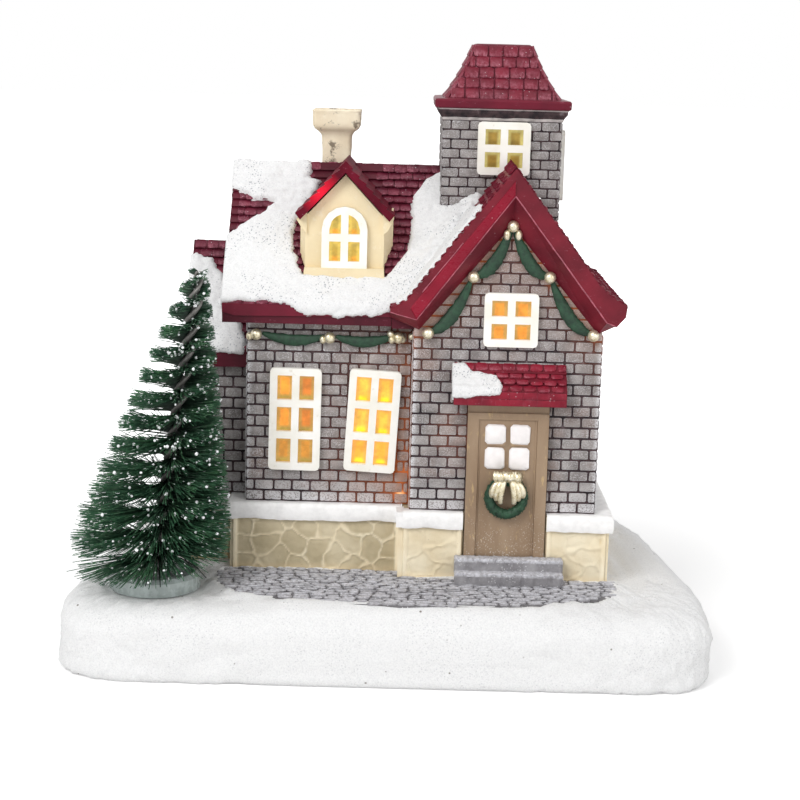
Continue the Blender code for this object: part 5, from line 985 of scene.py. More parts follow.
FRONT = BROOF_LOW.y
# A raised band on the left board alone, in a brighter red: painted light on the board's lit side.
skin = Skin()
BAND = [(3.7, 83.3), (27.02, 113.1), SOFFIT_RIDGE, LEFT_FOOT]
raised_band = [(4.1, 83.1), (26.9, 112.5), (26.95, 109.75), (5.35, 81.1)]
skin.add([Vector((x, FRONT + 0.1, z)) for x, z in BAND]
         + [Vector((x, FRONT - 0.32, z)) for x, z in raised_band],
         [(4, 5, 6, 7), (0, 1, 5, 4), (1, 2, 6, 5), (2, 3, 7, 6), (3, 0, 4, 7)])
skin.piece("gable_board_band", TRIM_LIT_BAND, "roof_red", smooth=False, weld=True)
# Pale pink strips along the boards' inner edges, across the left board and at the feet: painted
# highlights.
skin = Skin()
for *ends, radius in ((LEFT_FOOT, SOFFIT_RIDGE, 0.15), (SOFFIT_RIDGE, RIGHT_FOOT, 0.19),
                      ((6.5, 87.0), (15.5, 98.6), 0.13), ((-0.8, 82.2), LEFT_FOOT, 0.12),
                      (RIGHT_FOOT, (51.3, 80.2), 0.13)):
    a, b = (Vector((x, FRONT - 0.03, z)) for x, z in ends)
    path = [a.lerp(b, i / 24) for i in range(25)]
    path = [p + Vector((0, 0, noise.noise(p * 0.4) * 0.1)) for p in path]
    skin.tube(path, [radius * (0.75 + 0.5 * abs(noise.noise(p * 0.9))) for p in path], 5)
skin.piece("gable_board_highlights", EDGE_HIGHLIGHT, "roof_red", angle=180)


def above_shell(line, height=0.32):
    return [(x, z + height * (1.0 if x < 3.1 or x > 49 else 1.6)) for x, z in line]


left_at, left_length = profile_frame(above_shell(LEFT_LINE), 1)
right_at, right_length = profile_frame(above_shell(RIGHT_LINE[1:]), -1)


def under_main(a, b, low, high):
    return left_at(0, high, 0).z < min(main_surface(-a), main_surface(-b)) - 1.0


tiles = Skin()
lay_tiles(tiles, left_at, (-BROOF_HIGH.y + 0.2, -BROOF_LOW.y + 0.02), left_length, rng,
          lift=(0.10, -0.10), hidden=under_main, wobble=0.12)
lay_tiles(tiles, right_at, (BROOF_LOW.y - 0.02, BROOF_HIGH.y - 0.2), right_length, rng,
          lift=(0.10, -0.10), wobble=0.12)
tiles.piece("block_roof_tiles", TRIM_TILE, "roof_red")
skin = Skin()
for a, b in zip(BLOCK_LINE, BLOCK_LINE[1:]):
    a, b = Vector((a[0], FRONT + 0.97, a[1])), Vector((b[0], FRONT + 0.97, b[1]))
    out = Vector((a.z - b.z, 0, b.x - a.x)).normalized()
    count = max(1, round((b - a).length / 2.05))
    for i in range(count):
        place = a.lerp(b, (i + 0.5) / count) - out * 0.42
        skin.ball(place, 0.92 * rng.uniform(0.9, 1.1), 2, rng.uniform(0.95, 1.1))
skin.piece("gable_tile_ends", TRIM, "roof_red", angle=180)

tiles = Skin()
annex_eave = AROOF_LOW.z + ROOF_THICK
annex_length = slope_length((AROOF_HIGH.y - AROOF_LOW.y) / 2, ANNEX_SLOPE)
annex_at = slope_at(AROOF_LOW.y, annex_eave, ANNEX_SLOPE)
lay_tiles(tiles, annex_at, (AROOF_LOW.x + 0.3, AROOF_HIGH.x), annex_length, rng)
lay_tiles(tiles, slope_at(AROOF_HIGH.y, annex_eave, ANNEX_SLOPE, -1),
          (-AROOF_HIGH.x, -AROOF_LOW.x - 0.3), annex_length, rng)
tiles.piece("annex_roof_tiles", TILE, "roof_red")

tiles = Skin()
CANOPY_RISE = 5.4
canopy_run = CANOPY_HIGH.y - CANOPY_LOW.y
canopy_slope = CANOPY_RISE / canopy_run
canopy_eave = CANOPY_HIGH.z - CANOPY_RISE
canopy_at = slope_at(CANOPY_LOW.y, canopy_eave, canopy_slope)
lay_tiles(tiles, canopy_at, (CANOPY_LOW.x, CANOPY_HIGH.x), slope_length(canopy_run, canopy_slope),
          rng, width=3.2, gap=0.42, lift=(0.46, 0.10), course=1.9, wobble=0.10)
for number, (low, high) in enumerate(((0.05, 1.6), (1.7, 3.3))):
    step = CANOPY_LOW.x + 0.1
    while step < CANOPY_HIGH.x - 0.2:
        end = min(step + 3.2, CANOPY_HIGH.x - 0.1)
        pillow(tiles, facade("front", CANOPY_LOW.y), (step, end),
               (CANOPY_LOW.z + low, CANOPY_LOW.z + high), (-0.1, -0.1),
               (0.10 + 0.12 * number, 0.14 + 0.12 * number), 0.12, 0.05, rng, 0.03,
               (0.3, 0.6, 0.1, 0.1))
        step = end
tiles.piece("canopy_tiles", TILE_BRIGHT, "roof_red")


# Tower roof: a flared pyramid cut off flat, on a fascia and a grey cornice

TOWER_COURSES = 5
TOWER_EAVE_REACH = 13.9
TOWER_TOP_REACH = 7.2
TOWER_TILE_FOOT = 130.4
TOWER_RISE = TROOF_HIGH.z - TOWER_TILE_FOOT - 0.35
TOWER_AXIS = Vector((TOWER_X, TOWER_Y, 0))
QUARTERS = [Matrix.Rotation(math.pi / 2 * quarter, 3, "Z") for quarter in range(4)]


def lumps(point, seed, *octaves):
    """Signed noise in millimetres: (size of a lump, height) pairs."""
    total = 0.0
    for size, height in octaves:
        total += noise.noise(Vector(point) / size + Vector((seed, seed * 1.7, -seed))) * height
    return total


def square_loft(name, look, slot, centre, rings, corner, rough, seed, step, angle):
    """Joins rounded square rings, each (half width, height), into one rough cast piece."""
    full = []
    for (h0, z0), (h1, z1) in zip(rings, rings[1:]):
        count = max(1, round(math.hypot(h1 - h0, z1 - z0) / step))
        full += [(h0 + (h1 - h0) * i / count, z0 + (z1 - z0) * i / count) for i in range(count)]
    full.append(rings[-1])
    sides = max(2, round(2 * max(h for h, _ in rings) / step))
    points = []
    for half, z in full:
        round_by = min(corner, half * 0.6)
        for turn in QUARTERS:
            for i in range(sides + 1):
                points.append(turn @ Vector(((2 * i / sides - 1) * (half - round_by), -half, z)))
            points.append(turn @ Vector((half - 0.293 * round_by, -half + 0.293 * round_by, z)))
    for number, point in enumerate(points):
        out = Vector((point.x, point.y, 0)).normalized()
        point += out * lumps(point + centre, seed, (3.0, rough), (1.0, rough * 0.6))
        points[number] = point + centre
    skin = Skin()
    skin.grid(points, 4 * (sides + 2), closed=True, caps=(-1,))
    return skin.piece(name, look, slot, angle=angle)


def tower_ring(share):
    bow = 1 - share - 0.39 * share * (1 - share)
    return TOWER_TOP_REACH + (TOWER_EAVE_REACH - TOWER_TOP_REACH) * bow


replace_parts(square_loft(
    "tower_roof_core", TRIM_BOARD, "roof_red", TOWER_AXIS,
    [(12.0, 128.0), (15.9, 128.1), (16.25, 128.35), (16.3, 129.85), (16.0, 130.3), (14.0, 130.5)]
    + [(tower_ring(i / 6) - 0.35, TOWER_TILE_FOOT + TOWER_RISE * i / 6) for i in range(7)]
    + [(6.4, TROOF_HIGH.z - 0.05), (0.5, TROOF_HIGH.z)], 0.35, 0.05, 3.0, 1.2, 30), "tower_roof")
square_loft("tower_cornice", CORNICE, "brick_grey", TOWER_AXIS,
            [(14.0, 125.2), (14.5, 125.35), (14.65, 126.1), (15.0, 127.0), (15.5, 127.8),
             (15.95, 128.25), (13.0, 128.3)], 0.3, 0.08, 5.0, 0.7, 60)

tiles = Skin()
for turn in QUARTERS:
    for row in range(TOWER_COURSES):
        shares = row / TOWER_COURSES, (row + 1) / TOWER_COURSES
        low_reach, high_reach = (tower_ring(s) for s in shares)
        low_z, high_z = (TOWER_TILE_FOOT + TOWER_RISE * s for s in shares)
        along = turn @ Vector((1, 0, 0))
        foot = TOWER_AXIS + turn @ Vector((0, -low_reach, 0)) + Vector((0, 0, low_z))
        rise = turn @ Vector((0, low_reach - high_reach, 0)) + Vector((0, 0, high_z - low_z))
        at = plane(foot, along, rise.normalized(), along.cross(rise).normalized())
        width = 2 * high_reach / max(3, round(2 * low_reach / 3.9))
        edge = (low_reach + high_reach) / 2 - 0.4
        step = -edge - (width / 2 if row % 2 else 0)
        while step < edge:
            a, b = max(step, -edge), min(step + width, edge)
            step += width
            if b - a > 0.9:
                pillow(tiles, at, (a + 0.16, b - 0.16), (-0.15, rise.length - 0.1), (-0.4, -0.5),
                       (0.40, 0.05), 0.2, 0.35, rng, 0.07)
for turn in QUARTERS:
    path = []
    for i in range(13):
        reach = tower_ring(i / 12) - 0.30
        path.append(Vector((TOWER_X, TOWER_Y, TOWER_TILE_FOOT + TOWER_RISE * (i / 12) - 0.05))
                    + turn @ Vector((-reach, -reach, 0)))
    before_hips = len(tiles.points)
    tiles.tube(path, [0.40] * 13, 7)
    tiles.tones[before_hips:] = [0.8] * (len(tiles.points) - before_hips)
tiles.piece("tower_roof_tiles", TILE_RED, "roof_red")


# Snow

def polygon_depth(points, outline):
    """How deep each point lies inside an outline, negative outside. Arrays of (n, 2)."""
    inside = np.zeros(len(points), bool)
    least = np.full(len(points), 1e9)
    for (ax, ay), (bx, by) in zip(outline, outline[1:] + outline[:1]):
        ex, ey = bx - ax, by - ay
        px, py = points[:, 0] - ax, points[:, 1] - ay
        share = np.clip((px * ex + py * ey) / max(ex * ex + ey * ey, 1e-9), 0, 1)
        least = np.minimum(least, np.hypot(px - share * ex, py - share * ey))
        crosses = (ay > points[:, 1]) != (by > points[:, 1])
        if ay != by:
            inside ^= crosses & (points[:, 0] < (bx - ax) * (points[:, 1] - ay) / (by - ay) + ax)
    return np.where(inside, least, -least)


def snow_field(skin, at, outline, thickness, seed, step=0.42, edge=1.1, keep=None, extra=None,
               ragged=0.9):
    """A lumpy sheet over an outline on a face, with rounded edges that dip into the face."""
    xs = [x for x, _ in outline]
    ys = [y for _, y in outline]
    a0, b0 = min(xs) - 1, min(ys) - 1
    columns = int((max(xs) + 1 - a0) / step) + 2
    rows = int((max(ys) + 1 - b0) / step) + 2
    grid = np.array([(a0 + i * step, b0 + j * step) for j in range(rows) for i in range(columns)])
    shifted = np.array([(a + lumps((a, b, 0), seed, (2.6, ragged), (0.9, 0.35)),
                         b + lumps((a, b, 9), seed, (2.6, ragged), (0.9, 0.35))) for a, b in grid])
    depth = polygon_depth(shifted, outline)
    used = {}
    points = []
    heights = np.zeros(len(grid))
    for n, (a, b) in enumerate(grid):
        d = depth[n]
        if d > 0:
            rise = math.sqrt(max(0.0, 1 - (1 - min(d / edge, 1)) ** 2))
            full = thickness + (extra(a, b) if extra else 0.0)
            grow = 1 + lumps((a, b, 3), seed, (5.0, 0.30), (1.6, 0.22), (0.7, 0.20))
            heights[n] = full * rise * max(grow, 0.35)
        else:
            heights[n] = max(d * 2.2, -1.0)
    faces = []

    def use(n):
        if n not in used:
            used[n] = len(points)
            points.append(at(grid[n][0], grid[n][1], heights[n] - 0.12))
        return used[n]

    for j in range(rows - 1):
        for i in range(columns - 1):
            corners = [j * columns + i, j * columns + i + 1, (j + 1) * columns + i + 1,
                       (j + 1) * columns + i]
            if max(depth[c] for c in corners) < -0.5:
                continue
            if keep and not keep(*grid[corners[0]]):
                continue
            faces.append(tuple(use(c) for c in corners))
    skin.add(points, faces)


def eave_bend(at, slope, straight=0.5, radius=1.0):
    """Follows a slope, and below its eave turns down over the edge."""
    turn = math.pi / 2 - math.atan(slope)
    out = (at(0, 0, 1) - at(0, 0, 0))
    down = (at(0, -1, 0) - at(0, 0, 0))
    arc = radius * turn

    def bent(a, b, c):
        if b >= straight:
            return at(a, b, c)
        centre = at(a, straight, 0) - out * radius
        angle = min((straight - b) / radius, turn)
        ray = out * math.cos(angle) + down * math.sin(angle)
        point = centre + ray * (radius + c)
        if straight - b > arc:
            along = down * math.cos(angle) - out * math.sin(angle)
            point += along * (straight - b - arc)
        return point

    return bent


def rake_fold(at, left):
    """Beyond a roof's left rake, turns down over the edge."""
    def folded(a, b, c):
        over = left - a
        if over <= 0:
            return at(a, b, c)
        return at(left - min(over, 0.45), b, c - max(over - 0.3, 0.0) * 1.35)
    return folded


def on_slope(eave, slope, *outline):
    """Turns points of the front view into points of a slope, and of what hangs below its eave."""
    sine = math.sin(math.atan(slope))
    return [(x, (z - eave) / sine if z > eave else z - eave) for x, z in outline]


main_sine = math.sin(math.atan(MAIN_SLOPE))
MAIN_SNOW = on_slope(
    MAIN_EAVE, MAIN_SLOPE,
    (-41.6, 113.7), (-21.0, 113.8), (-21.2, 109.8), (-18.6, 109.6), (-19.8, 106.4), (-21.4, 103.2),
    (-23.5, 101.0), (-24.4, 98.2), (-24.6, 95.2), (-22.9, 91.6), (-21.9, 88.8), (-11.6, 88.4),
    (-2.3, 88.8), (1.8, 93.0), (3.6, 96.8), (3.4, 104.6), (6.7, 110.4), (10.9, 112.3),
    (27.0, 113.0), (27.0, 96.0), (4.2, 83.6), (0.3, 81.2), (-5.0, 80.2), (-11.3, 79.7),
    (-17.0, 80.1), (-22.6, 80.7), (-25.6, 82.6), (-30.8, 83.2), (-42.2, 82.5), (-42.0, 95.8),
    (-36.1, 99.8), (-31.1, 102.9), (-29.3, 104.6), (-35.3, 105.3), (-37.2, 106.6), (-41.4, 107.6))
# The block's left slope carries snow up to its front boards and the tower.
BLOCK_SNOW = [(24.9, 1.6), (24.9, 30.6), (21.0, 31.8), (12.0, 30.0), (3.0, 29.4), (-2.0, 29.0),
              (-2.0, 14.0), (16.0, 2.4)]


def valley_mound(a, b):
    """Snow heaps up where the main slope meets the block's roof and the tower."""
    z = MAIN_EAVE + b * main_sine
    if a < -22 and z > 101:
        return 0.22 * math.cos(2 * math.pi * b / COURSE)
    reach = a - (BLOCK_RIDGE_X - (BROOF_HIGH.z - z) / BLOCK_LEFT_SLOPE)
    near = max(0.0, 1 - abs(reach) / 6.5)
    return 2.6 * near * near * (3 - 2 * near) * min(1.0, max(0.0, (z - 84) / 8))


def above_valley(a, b):
    return MAIN_EAVE + b * main_sine > block_surface(a) - 5.0 or a < 2


skin = Skin()
snow_field(skin, rake_fold(eave_bend(front_at, MAIN_SLOPE), MROOF_LOW.x + 0.05), MAIN_SNOW, 1.15,
           3.0, keep=above_valley, extra=valley_mound, ragged=0.6)
snow_field(skin, left_at, BLOCK_SNOW, 0.75, 12.0, ragged=0.5)
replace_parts(skin.piece("main_snow_cover", SNOW_ROOF, "snow_white", angle=180), "main_roof_snow")

skin = Skin()
ANNEX_SNOW = on_slope(annex_eave, ANNEX_SLOPE, (-52.0, 90.7), (-45.0, 90.2), (-40.6, 83.5),
                      (-35.0, 72.0), (-35.4, 69.3), (-44.8, 69.0), (-52.4, 70.0))
snow_field(skin, rake_fold(eave_bend(annex_at, ANNEX_SLOPE), AROOF_LOW.x + 0.05), ANNEX_SNOW,
           1.2, 5.0)
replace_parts(skin.piece("annex_snow_cover", SNOW_ROOF, "snow_white", angle=180), "annex_roof_snow")

skin = Skin()
CANOPY_SNOW = on_slope(canopy_eave, canopy_slope, (13.2, 69.9), (17.4, 69.9), (18.6, 68.4),
                       (24.6, 67.5), (25.8, 65.6), (24.9, 63.6), (21.0, 63.5), (18.1, 63.0),
                       (13.0, 62.8))
snow_field(skin, rake_fold(eave_bend(canopy_at, canopy_slope, 0.4, 0.7), CANOPY_LOW.x + 0.05),
           CANOPY_SNOW, 1.0, 8.0, step=0.3, edge=0.7, ragged=0.35)
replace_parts(skin.piece("canopy_snow_cover", SNOW_ROOF, "snow_white", angle=180), "canopy_snow")


# Eave boards of the main roof, and the dormer's returns, cheek and foot

def prisms(name, look, slot, *solids, cuts=()):
    """Extrudes outlines of the (X, Z) plane between two depths, or of (X, Y) between heights."""
    skin = Skin()
    for outline, low, high, *axis in solids:
        points = [Vector((a, b, level)) if axis else Vector((a, level, b))
                  for level in (low, high) for a, b in outline]
        skin.grid(points, len(outline), closed=True, caps=(0, -1), order=TURNED)
    skin.piece(name, look, slot, smooth=False, weld=True, cuts=cuts)


EAVE, RAKE_END = MROOF_LOW.y, MROOF_LOW.x
prisms("eave_board_upper", TRIM_BOARD, "roof_red",
       ([(RAKE_END, 80.5), (-37.0, 79.7), (-0.2, 80.3), (-0.2, 82.3), (RAKE_END, 82.6)],
        EAVE - 0.5, EAVE + 0.2))
FILLER = [(-0.35, 77.5), (5.2, 77.5), (5.2, 80.9), (-0.35, 82.2)]
prisms("eave_board_end", TRIM_DARK, "roof_red",
       ([(RAKE_END, 82.4), (RAKE_END, 78.0), (RAKE_END + 0.4, 78.0), (RAKE_END + 0.4, 82.4)],
        EAVE - 0.1, EAVE + 0.2),
       (FILLER, EAVE - 0.05, MAIN_LOW.y + 1), (FILLER, BLOCK_HIGH.y - 0.1, BROOF_HIGH.y - 0.2))
above_main = (Vector((0, MAIN_RIDGE_Y, MROOF_HIGH.z)), Vector((0, MAIN_SLOPE, -1)).normalized())
prisms("dormer_returns", DORMER_CREAM, "render_cream",
       ([(-20.9, 98.6), (-22.2, 100.0), (-23.4, 101.9), (-20.9, 104.4)], -13.9, -3.0),
       ([(-3.1, 98.6), (-1.9, 99.6), (-0.5, 102.4), (-1.2, 103.6), (-3.1, 105.0)], -13.9, -3.0),
       ([(-21.6, 88.0), (-2.4, 88.0), (-2.6, 90.7), (-21.3, 90.7)], -14.9, -12.6),
       ([(-3.0, -13.0), (-0.7, -7.5), (-0.7, -2.0), (-3.0, -2.0)], 89.0, 104.0, "Z"),
       ([(-21.0, -13.0), (-21.0, -2.0), (-22.6, -2.0), (-22.6, -9.5)], 89.0, 100.0, "Z"),
       cuts=[above_main])
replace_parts(square_loft(
    "chimney_cast", CHIMNEY_CREAM, "render_cream", Vector((-15.3, 15, 0)),
    [(3.45, 106.0), (3.6, 119.3), (3.75, 120.4), (4.3, 121.2), (5.4, 122.0), (5.75, 122.7),
     (5.8, 125.9), (5.95, 126.35), (5.7, 126.65), (3.9, 126.7), (3.6, 126.4), (3.5, 124.2),
     (0.4, 124.0)], 0.8, 0.16, 9.0, 0.8, 60), "chimney")


# The snowy base: a lumpy skin over the solid's sides and the open part of its top

BASE_HIGH = node_box("snow_base")[1]
PATH_LOW, PATH_HIGH = node_box("cobble_path")
PATH_OUTLINE = [(-38.8, -17.8), (-40.0, -30.0), (-34.7, -38.3), (-19.5, -43.7), (3.2, -45.5),
                (25.9, -44.3), (40.0, -41.2), (49.2, -37.9), (54.5, -32.0), (53.2, -22.8),
                (3.0, -22.8), (3.0, -17.8)]


def base_ring(inset, count):
    ring = []
    for i in range(count):
        turn = 2 * math.pi * (i + 0.5) / count
        # Even spacing along a squared outline needs more points near its corners.
        turn -= 0.10 * math.sin(4 * turn)
        cosine, sine = math.cos(turn), math.sin(turn)
        across = math.copysign(abs(cosine) ** 0.2, cosine)
        deep = math.copysign(abs(sine) ** 0.2, sine)
        ring.append((across * (1 - 0.14 * ((deep + 1) / 2) ** 2), deep))
    widest = max(x for x, _ in ring)
    return [Vector((x / widest * (BASE_HIGH.x - inset), y * (BASE_HIGH.y - inset)))
            for x, y in ring]


def smooth_step(value, low, high):
    share = min(1.0, max(0.0, (value - low) / (high - low)))
    return share * share * (3 - 2 * share)


def base_rise(x, y, path):
    """How high the snow stands over the solid's flat top, path being the way to the cobbles."""
    disc = math.hypot(x - TREE.x, y - TREE.y) - DISC_REACH
    rise = 0.55 + lumps((x, y, 0), 2.0, (16, 1.3), (5, 0.7), (1.7, 0.45), (0.8, 0.3))
    rise = max(rise, 0.10)
    path += lumps((x, y, 5), 4.0, (5, 1.5), (1.8, 0.9), (0.8, 0.4))
    bank = 1.35 + lumps((x, y, 8), 5.0, (3, 0.5), (1.1, 0.3))
    rise = rise + (bank - rise) * (1 - smooth_step(path, 0.4, 4.5))
    rise *= smooth_step(path, -1.5, -0.3)
    rise *= smooth_step(disc, 0.1, 2.5)
    return max(rise, 0.03)


disc_low, disc_high = node_box("tree_disc")
TREE = (disc_low + disc_high) / 2
DISC_REACH = 10.5
COUNT = 560
BASE_TOP = 17.0
FOOT_ROUND, TOP_ROUND = 2.0, 7.0
upright = BASE_TOP - TOP_ROUND - FOOT_ROUND
# Each row's inset from the outline, its height, and its outward direction as (aside, up)
rows = []
for k in range(5):
    turn = math.pi / 2 * k / 4
    rows.append((FOOT_ROUND * (1 - math.sin(turn)), FOOT_ROUND * (1 - math.cos(turn)),
                 Vector((math.sin(turn), -math.cos(turn)))))
for k in range(1, 10):
    rows.append((0.0, FOOT_ROUND + upright * k / 10, Vector((1, 0))))
for k in range(13):
    turn = math.pi / 2 * k / 12
    rows.append((TOP_ROUND * (1 - math.cos(turn)),
                 BASE_TOP - TOP_ROUND + TOP_ROUND * math.sin(turn),
                 Vector((math.cos(turn), math.sin(turn)))))
for k in range(1, 44):
    rows.append((TOP_ROUND + 0.68 * k, BASE_TOP, Vector((0, 1))))
rings = [base_ring(inset, COUNT) for inset, _, _ in rows]
gaps = -polygon_depth(np.array([(p.x, p.y) for ring in rings for p in ring]), PATH_OUTLINE)
skin = Skin()
points = []
for number, (inset, height, out) in enumerate(rows):
    ring = rings[number]
    for i, here in enumerate(ring):
        ahead, behind = ring[(i + 1) % COUNT], ring[i - 1]
        side = Vector((ahead.y - behind.y, behind.x - ahead.x)).normalized()
        rise = base_rise(here.x, here.y, float(gaps[number * COUNT + i])) if out.y > 0 else 0.0
        if out.x > 0.02:
            bulge = 0.42 + lumps((here.x, here.y, height), 6.0, (14, 0.6), (4.5, 0.6),
                                 (1.6, 0.35), (0.8, 0.2))
            bulge = min(max(bulge, 0.04), 1.05)
            if out.y > 0:
                bulge = bulge * (1 - out.y) + rise * out.y
            point = here + side * out.x * bulge
            points.append(Vector((point.x, point.y, max(height + out.y * bulge, 0.02))))
        else:
            points.append(Vector((here.x, here.y, height + rise)))
skin.grid(points, COUNT, closed=True)
skin.piece("base_snow_skin", SNOW, "snow_white", angle=180)


# Plinths: crazy paving with raised veins, under a snowed cap

def paving(skin, at, u, v, seed, step=0.36, stone=6.4, pale=0.0):
    """A face of irregular stones with raised joints. pale is the stones' own share of cream."""
    dice = random.Random(seed)
    seeds = []
    rows_of = max(2, round((v[1] - v[0]) / (stone * 0.62)))
    columns_of = max(1, round((u[1] - u[0]) / stone))
    for j in range(-1, rows_of + 1):
        for i in range(-1, columns_of + 1):
            seeds.append((u[0] + (i + 0.5 + 0.5 * (j % 2) + dice.uniform(-0.36, 0.36))
                          * (u[1] - u[0]) / columns_of,
                          v[0] + (j + 0.5 + dice.uniform(-0.36, 0.36)) * (v[1] - v[0]) / rows_of))
    seeds = np.array(seeds)
    columns = max(2, int((u[1] - u[0]) / step) + 1)
    rows = max(2, int((v[1] - v[0]) / step) + 1)
    points, tones = [], []
    for j in range(rows):
        b = v[0] + (v[1] - v[0]) * j / (rows - 1)
        for i in range(columns):
            a = u[0] + (u[1] - u[0]) * i / (columns - 1)
            wa = a + lumps((a, b, 1), seed, (3.0, 0.9), (1.1, 0.25))
            wb = b + lumps((a, b, 7), seed, (3.0, 0.9), (1.1, 0.25))
            far = np.sort(np.hypot(seeds[:, 0] - wa, seeds[:, 1] - wb))
            gap = far[1] - far[0]
            vein = math.exp(-(gap / 0.42) ** 2)
            groove = math.exp(-((gap - 0.85) / 0.35) ** 2)
            grain = lumps((a, b, 4), seed, (1.2, 0.10), (0.5, 0.06))
            height = 0.24 + 0.24 * vein - 0.10 * groove + grain
            tone = max(pale, 0.8 * vein)
            side = min(a - u[0], u[1] - a)
            if side < 1.5:
                post = smooth_step(1.5 - side, 0.0, 0.4)
                height = max(height, 0.55 * post)
                tone = max(tone, post)
            if side < 0.02:
                height = -0.2
            tones.append(tone)
            points.append(at(a, b, height))
    skin.grid(points, columns, tones)


def wall_faces(low, high, names):
    """The upright faces of a box as (function, range along) by side."""
    made = {"front": (low.y, (low.x, high.x)), "back": (high.y, (-high.x, -low.x)),
            "right": (high.x, (low.y, high.y)), "left": (low.x, (-high.y, -low.y))}
    return [(facade(name, made[name][0]), made[name][1]) for name in names]


def cap_snow(skin, path, seed, low, top):
    """A white coat over a plinth cap, along (point, outward) pairs in plan."""
    profile = ((-0.3, low), (0.22, low), (0.40, low + 0.5), (0.42, top - 0.7),
               (0.20, top + 0.1), (-0.35, top + 0.38), (-1.2, top + 0.35), (-4.3, top + 0.1))
    points = []
    for here, out in path:
        for k, (proud, z) in enumerate(profile):
            wobble = lumps((here.x, here.y, z), seed, (3.0, 0.22), (1.1, 0.14), (0.5, 0.06))
            drop = lumps((here.x, here.y, 50), seed, (6.0, 0.35), (1.3, 0.12)) if k < 2 else 0.0
            place = here + out * (proud + wobble * (0.5 if k else 0.0))
            points.append(Vector((place.x, place.y, z + drop + (wobble * 0.5 if k > 3 else 0))))
    skin.grid(points, len(profile), order=UPRIGHT)


def cap_path(corners, step=0.55):
    """Walks round corners in plan, giving points with a mitred outward direction."""
    corners = [Vector(c) for c in corners]
    plains = []
    for here, there in zip(corners, corners[1:]):
        along = (there - here).normalized()
        plains.append(Vector((along.y, -along.x)))
    outs = []
    for i in range(len(corners)):
        sides = plains[max(i - 1, 0):i + 1]
        total = sum(sides, Vector((0, 0)))
        outs.append(total / max(total.dot(sides[0]), 0.3))
    path = []
    for i, plain in enumerate(plains):
        count = max(1, round((corners[i + 1] - corners[i]).length / step))
        for k in range(count):
            path.append((corners[i].lerp(corners[i + 1], k / count), plain if k else outs[i]))
    path.append((corners[-1], outs[-1]))
    return path


skin = Skin()
caps = Skin()
PLINTH_FOOT, PLINTH_CAP = 17.35, 30.7
STONE_INSET = Vector((1, 1, 0))
for number, (name, sides) in enumerate((("main_plinth", ("front", "left", "back")),
                                        ("block_plinth", ("front", "right", "back")),
                                        ("annex_plinth", ("front", "left", "back")))):
    low, high = node_box(name)
    block = name == "block_plinth"
    # The stones stand back from the cap, but run on where the footing meets the next one.
    stone_low, stone_high = low + STONE_INSET, high - STONE_INSET
    if block:
        stone_low.x -= STONE_INSET.x
    else:
        stone_high.x += STONE_INSET.x
    for side, (at, along) in zip(sides, wall_faces(stone_low, stone_high, sides)):
        if block and side == "front":
            for part in ((along[0], door_low.x - 0.3), (door_high.x + 0.3, along[1])):
                paving(skin, at, part, (PLINTH_FOOT, PLINTH_CAP), 31 + number, pale=0.75)
        else:
            paving(skin, at, along, (PLINTH_FOOT, PLINTH_CAP), 40 + number * 5 + len(side),
                   pale=0.75 if block else 0.0)
    if block:
        runs = [[(low.x, low.y), (door_low.x - 0.4, low.y)],
                [(door_high.x + 0.4, low.y), (high.x, low.y), (high.x, high.y), (low.x, high.y)]]
    else:
        runs = [[(high.x, high.y), (low.x, high.y), (low.x, low.y), (high.x, low.y)]]
    for run in runs:
        cap_snow(caps, cap_path(run), 3.0 + number, 30.5, 34.1)
skin.box((2.4, -22.55, PLINTH_FOOT), (4.0, -17.0, PLINTH_CAP), 1.0)
skin.piece("plinth_paving", STONE, "plinth_cream", angle=60)
caps.box((1.8, -23.75, 30.6), (3.6, -18.0, 34.25))
caps.piece("plinth_cap_snow", CAP_WHITE, "snow_white", angle=60)


# The cobbled path and the steps

skin = Skin()
rng = random.Random(5)
path_at = plane((0, 0, PATH_HIGH.z), (1, 0, 0), (0, 1, 0), UP)
y = PATH_LOW.y + 0.2
while y < -18.0:
    depth_of_row = rng.uniform(1.45, 1.75)
    x = PATH_LOW.x - rng.uniform(0, 2)
    while x < PATH_HIGH.x:
        width = rng.uniform(2.4, 4.4)
        centre = (x + width / 2, y + depth_of_row / 2)
        if polygon_depth(np.array([centre]), PATH_OUTLINE)[0] > 0.35:
            high = rng.uniform(0.30, 0.62)
            pillow(skin, path_at, (x + 0.17, x + width - 0.17), (y + 0.15, y + depth_of_row - 0.15),
                   (-0.1, -0.1), (high, high), 0.34, 0.5, rng, 0.16, STONE_TONES)
        x += width
    y += depth_of_row
skin.piece("path_cobbles", COBBLE, "cobble_grey", angle=50)

steps_low, steps_high = node_box("front_steps")
skin = Skin()
rise = (steps_high.z - steps_low.z) / 2
for number in range(2):
    tread_y = steps_low.y + 2.6 * number
    top = steps_low.z + rise * (number + 1)
    profile = ((-0.05, top - rise, 0.3), (-0.14, top - rise + 0.4, 0.1), (-0.14, top - 0.75, 0.1),
               (-0.22, top - 0.5, 0.7), (-0.12, top + 0.06, 1.0), (0.35, top + 0.20, 1.0),
               (1.6, top + 0.22, 0.9), (2.9, top + 0.16, 0.5))
    points, tones = [], []
    count = 70
    for i in range(count + 1):
        x = steps_low.x - 0.2 + (steps_high.x - steps_low.x + 0.4) * i / count
        sunk = 0.45 if i in (0, count) else 0.0
        for k, (y, z, tone) in enumerate(profile):
            rough = lumps((x, y * 2, z), 3.0 + number, (2.2, 0.22), (0.7, 0.26))
            joint = 0.10 * math.exp(-(((x - 16 + 3 * number) % 12.6 - 6) / 0.25) ** 2)
            points.append(Vector((x, tread_y + y + (rough if k < 4 else 0) + sunk + joint,
                                  z + (rough * 0.6 if k > 2 else 0) - sunk - joint)))
            tones.append(max(0.0, tone - 5 * joint))
    skin.grid(points, len(profile), tones, order=UPRIGHT)
skin.piece("step_stones", COBBLE, "cobble_grey", angle=50)


# Garlands, wreath and bow

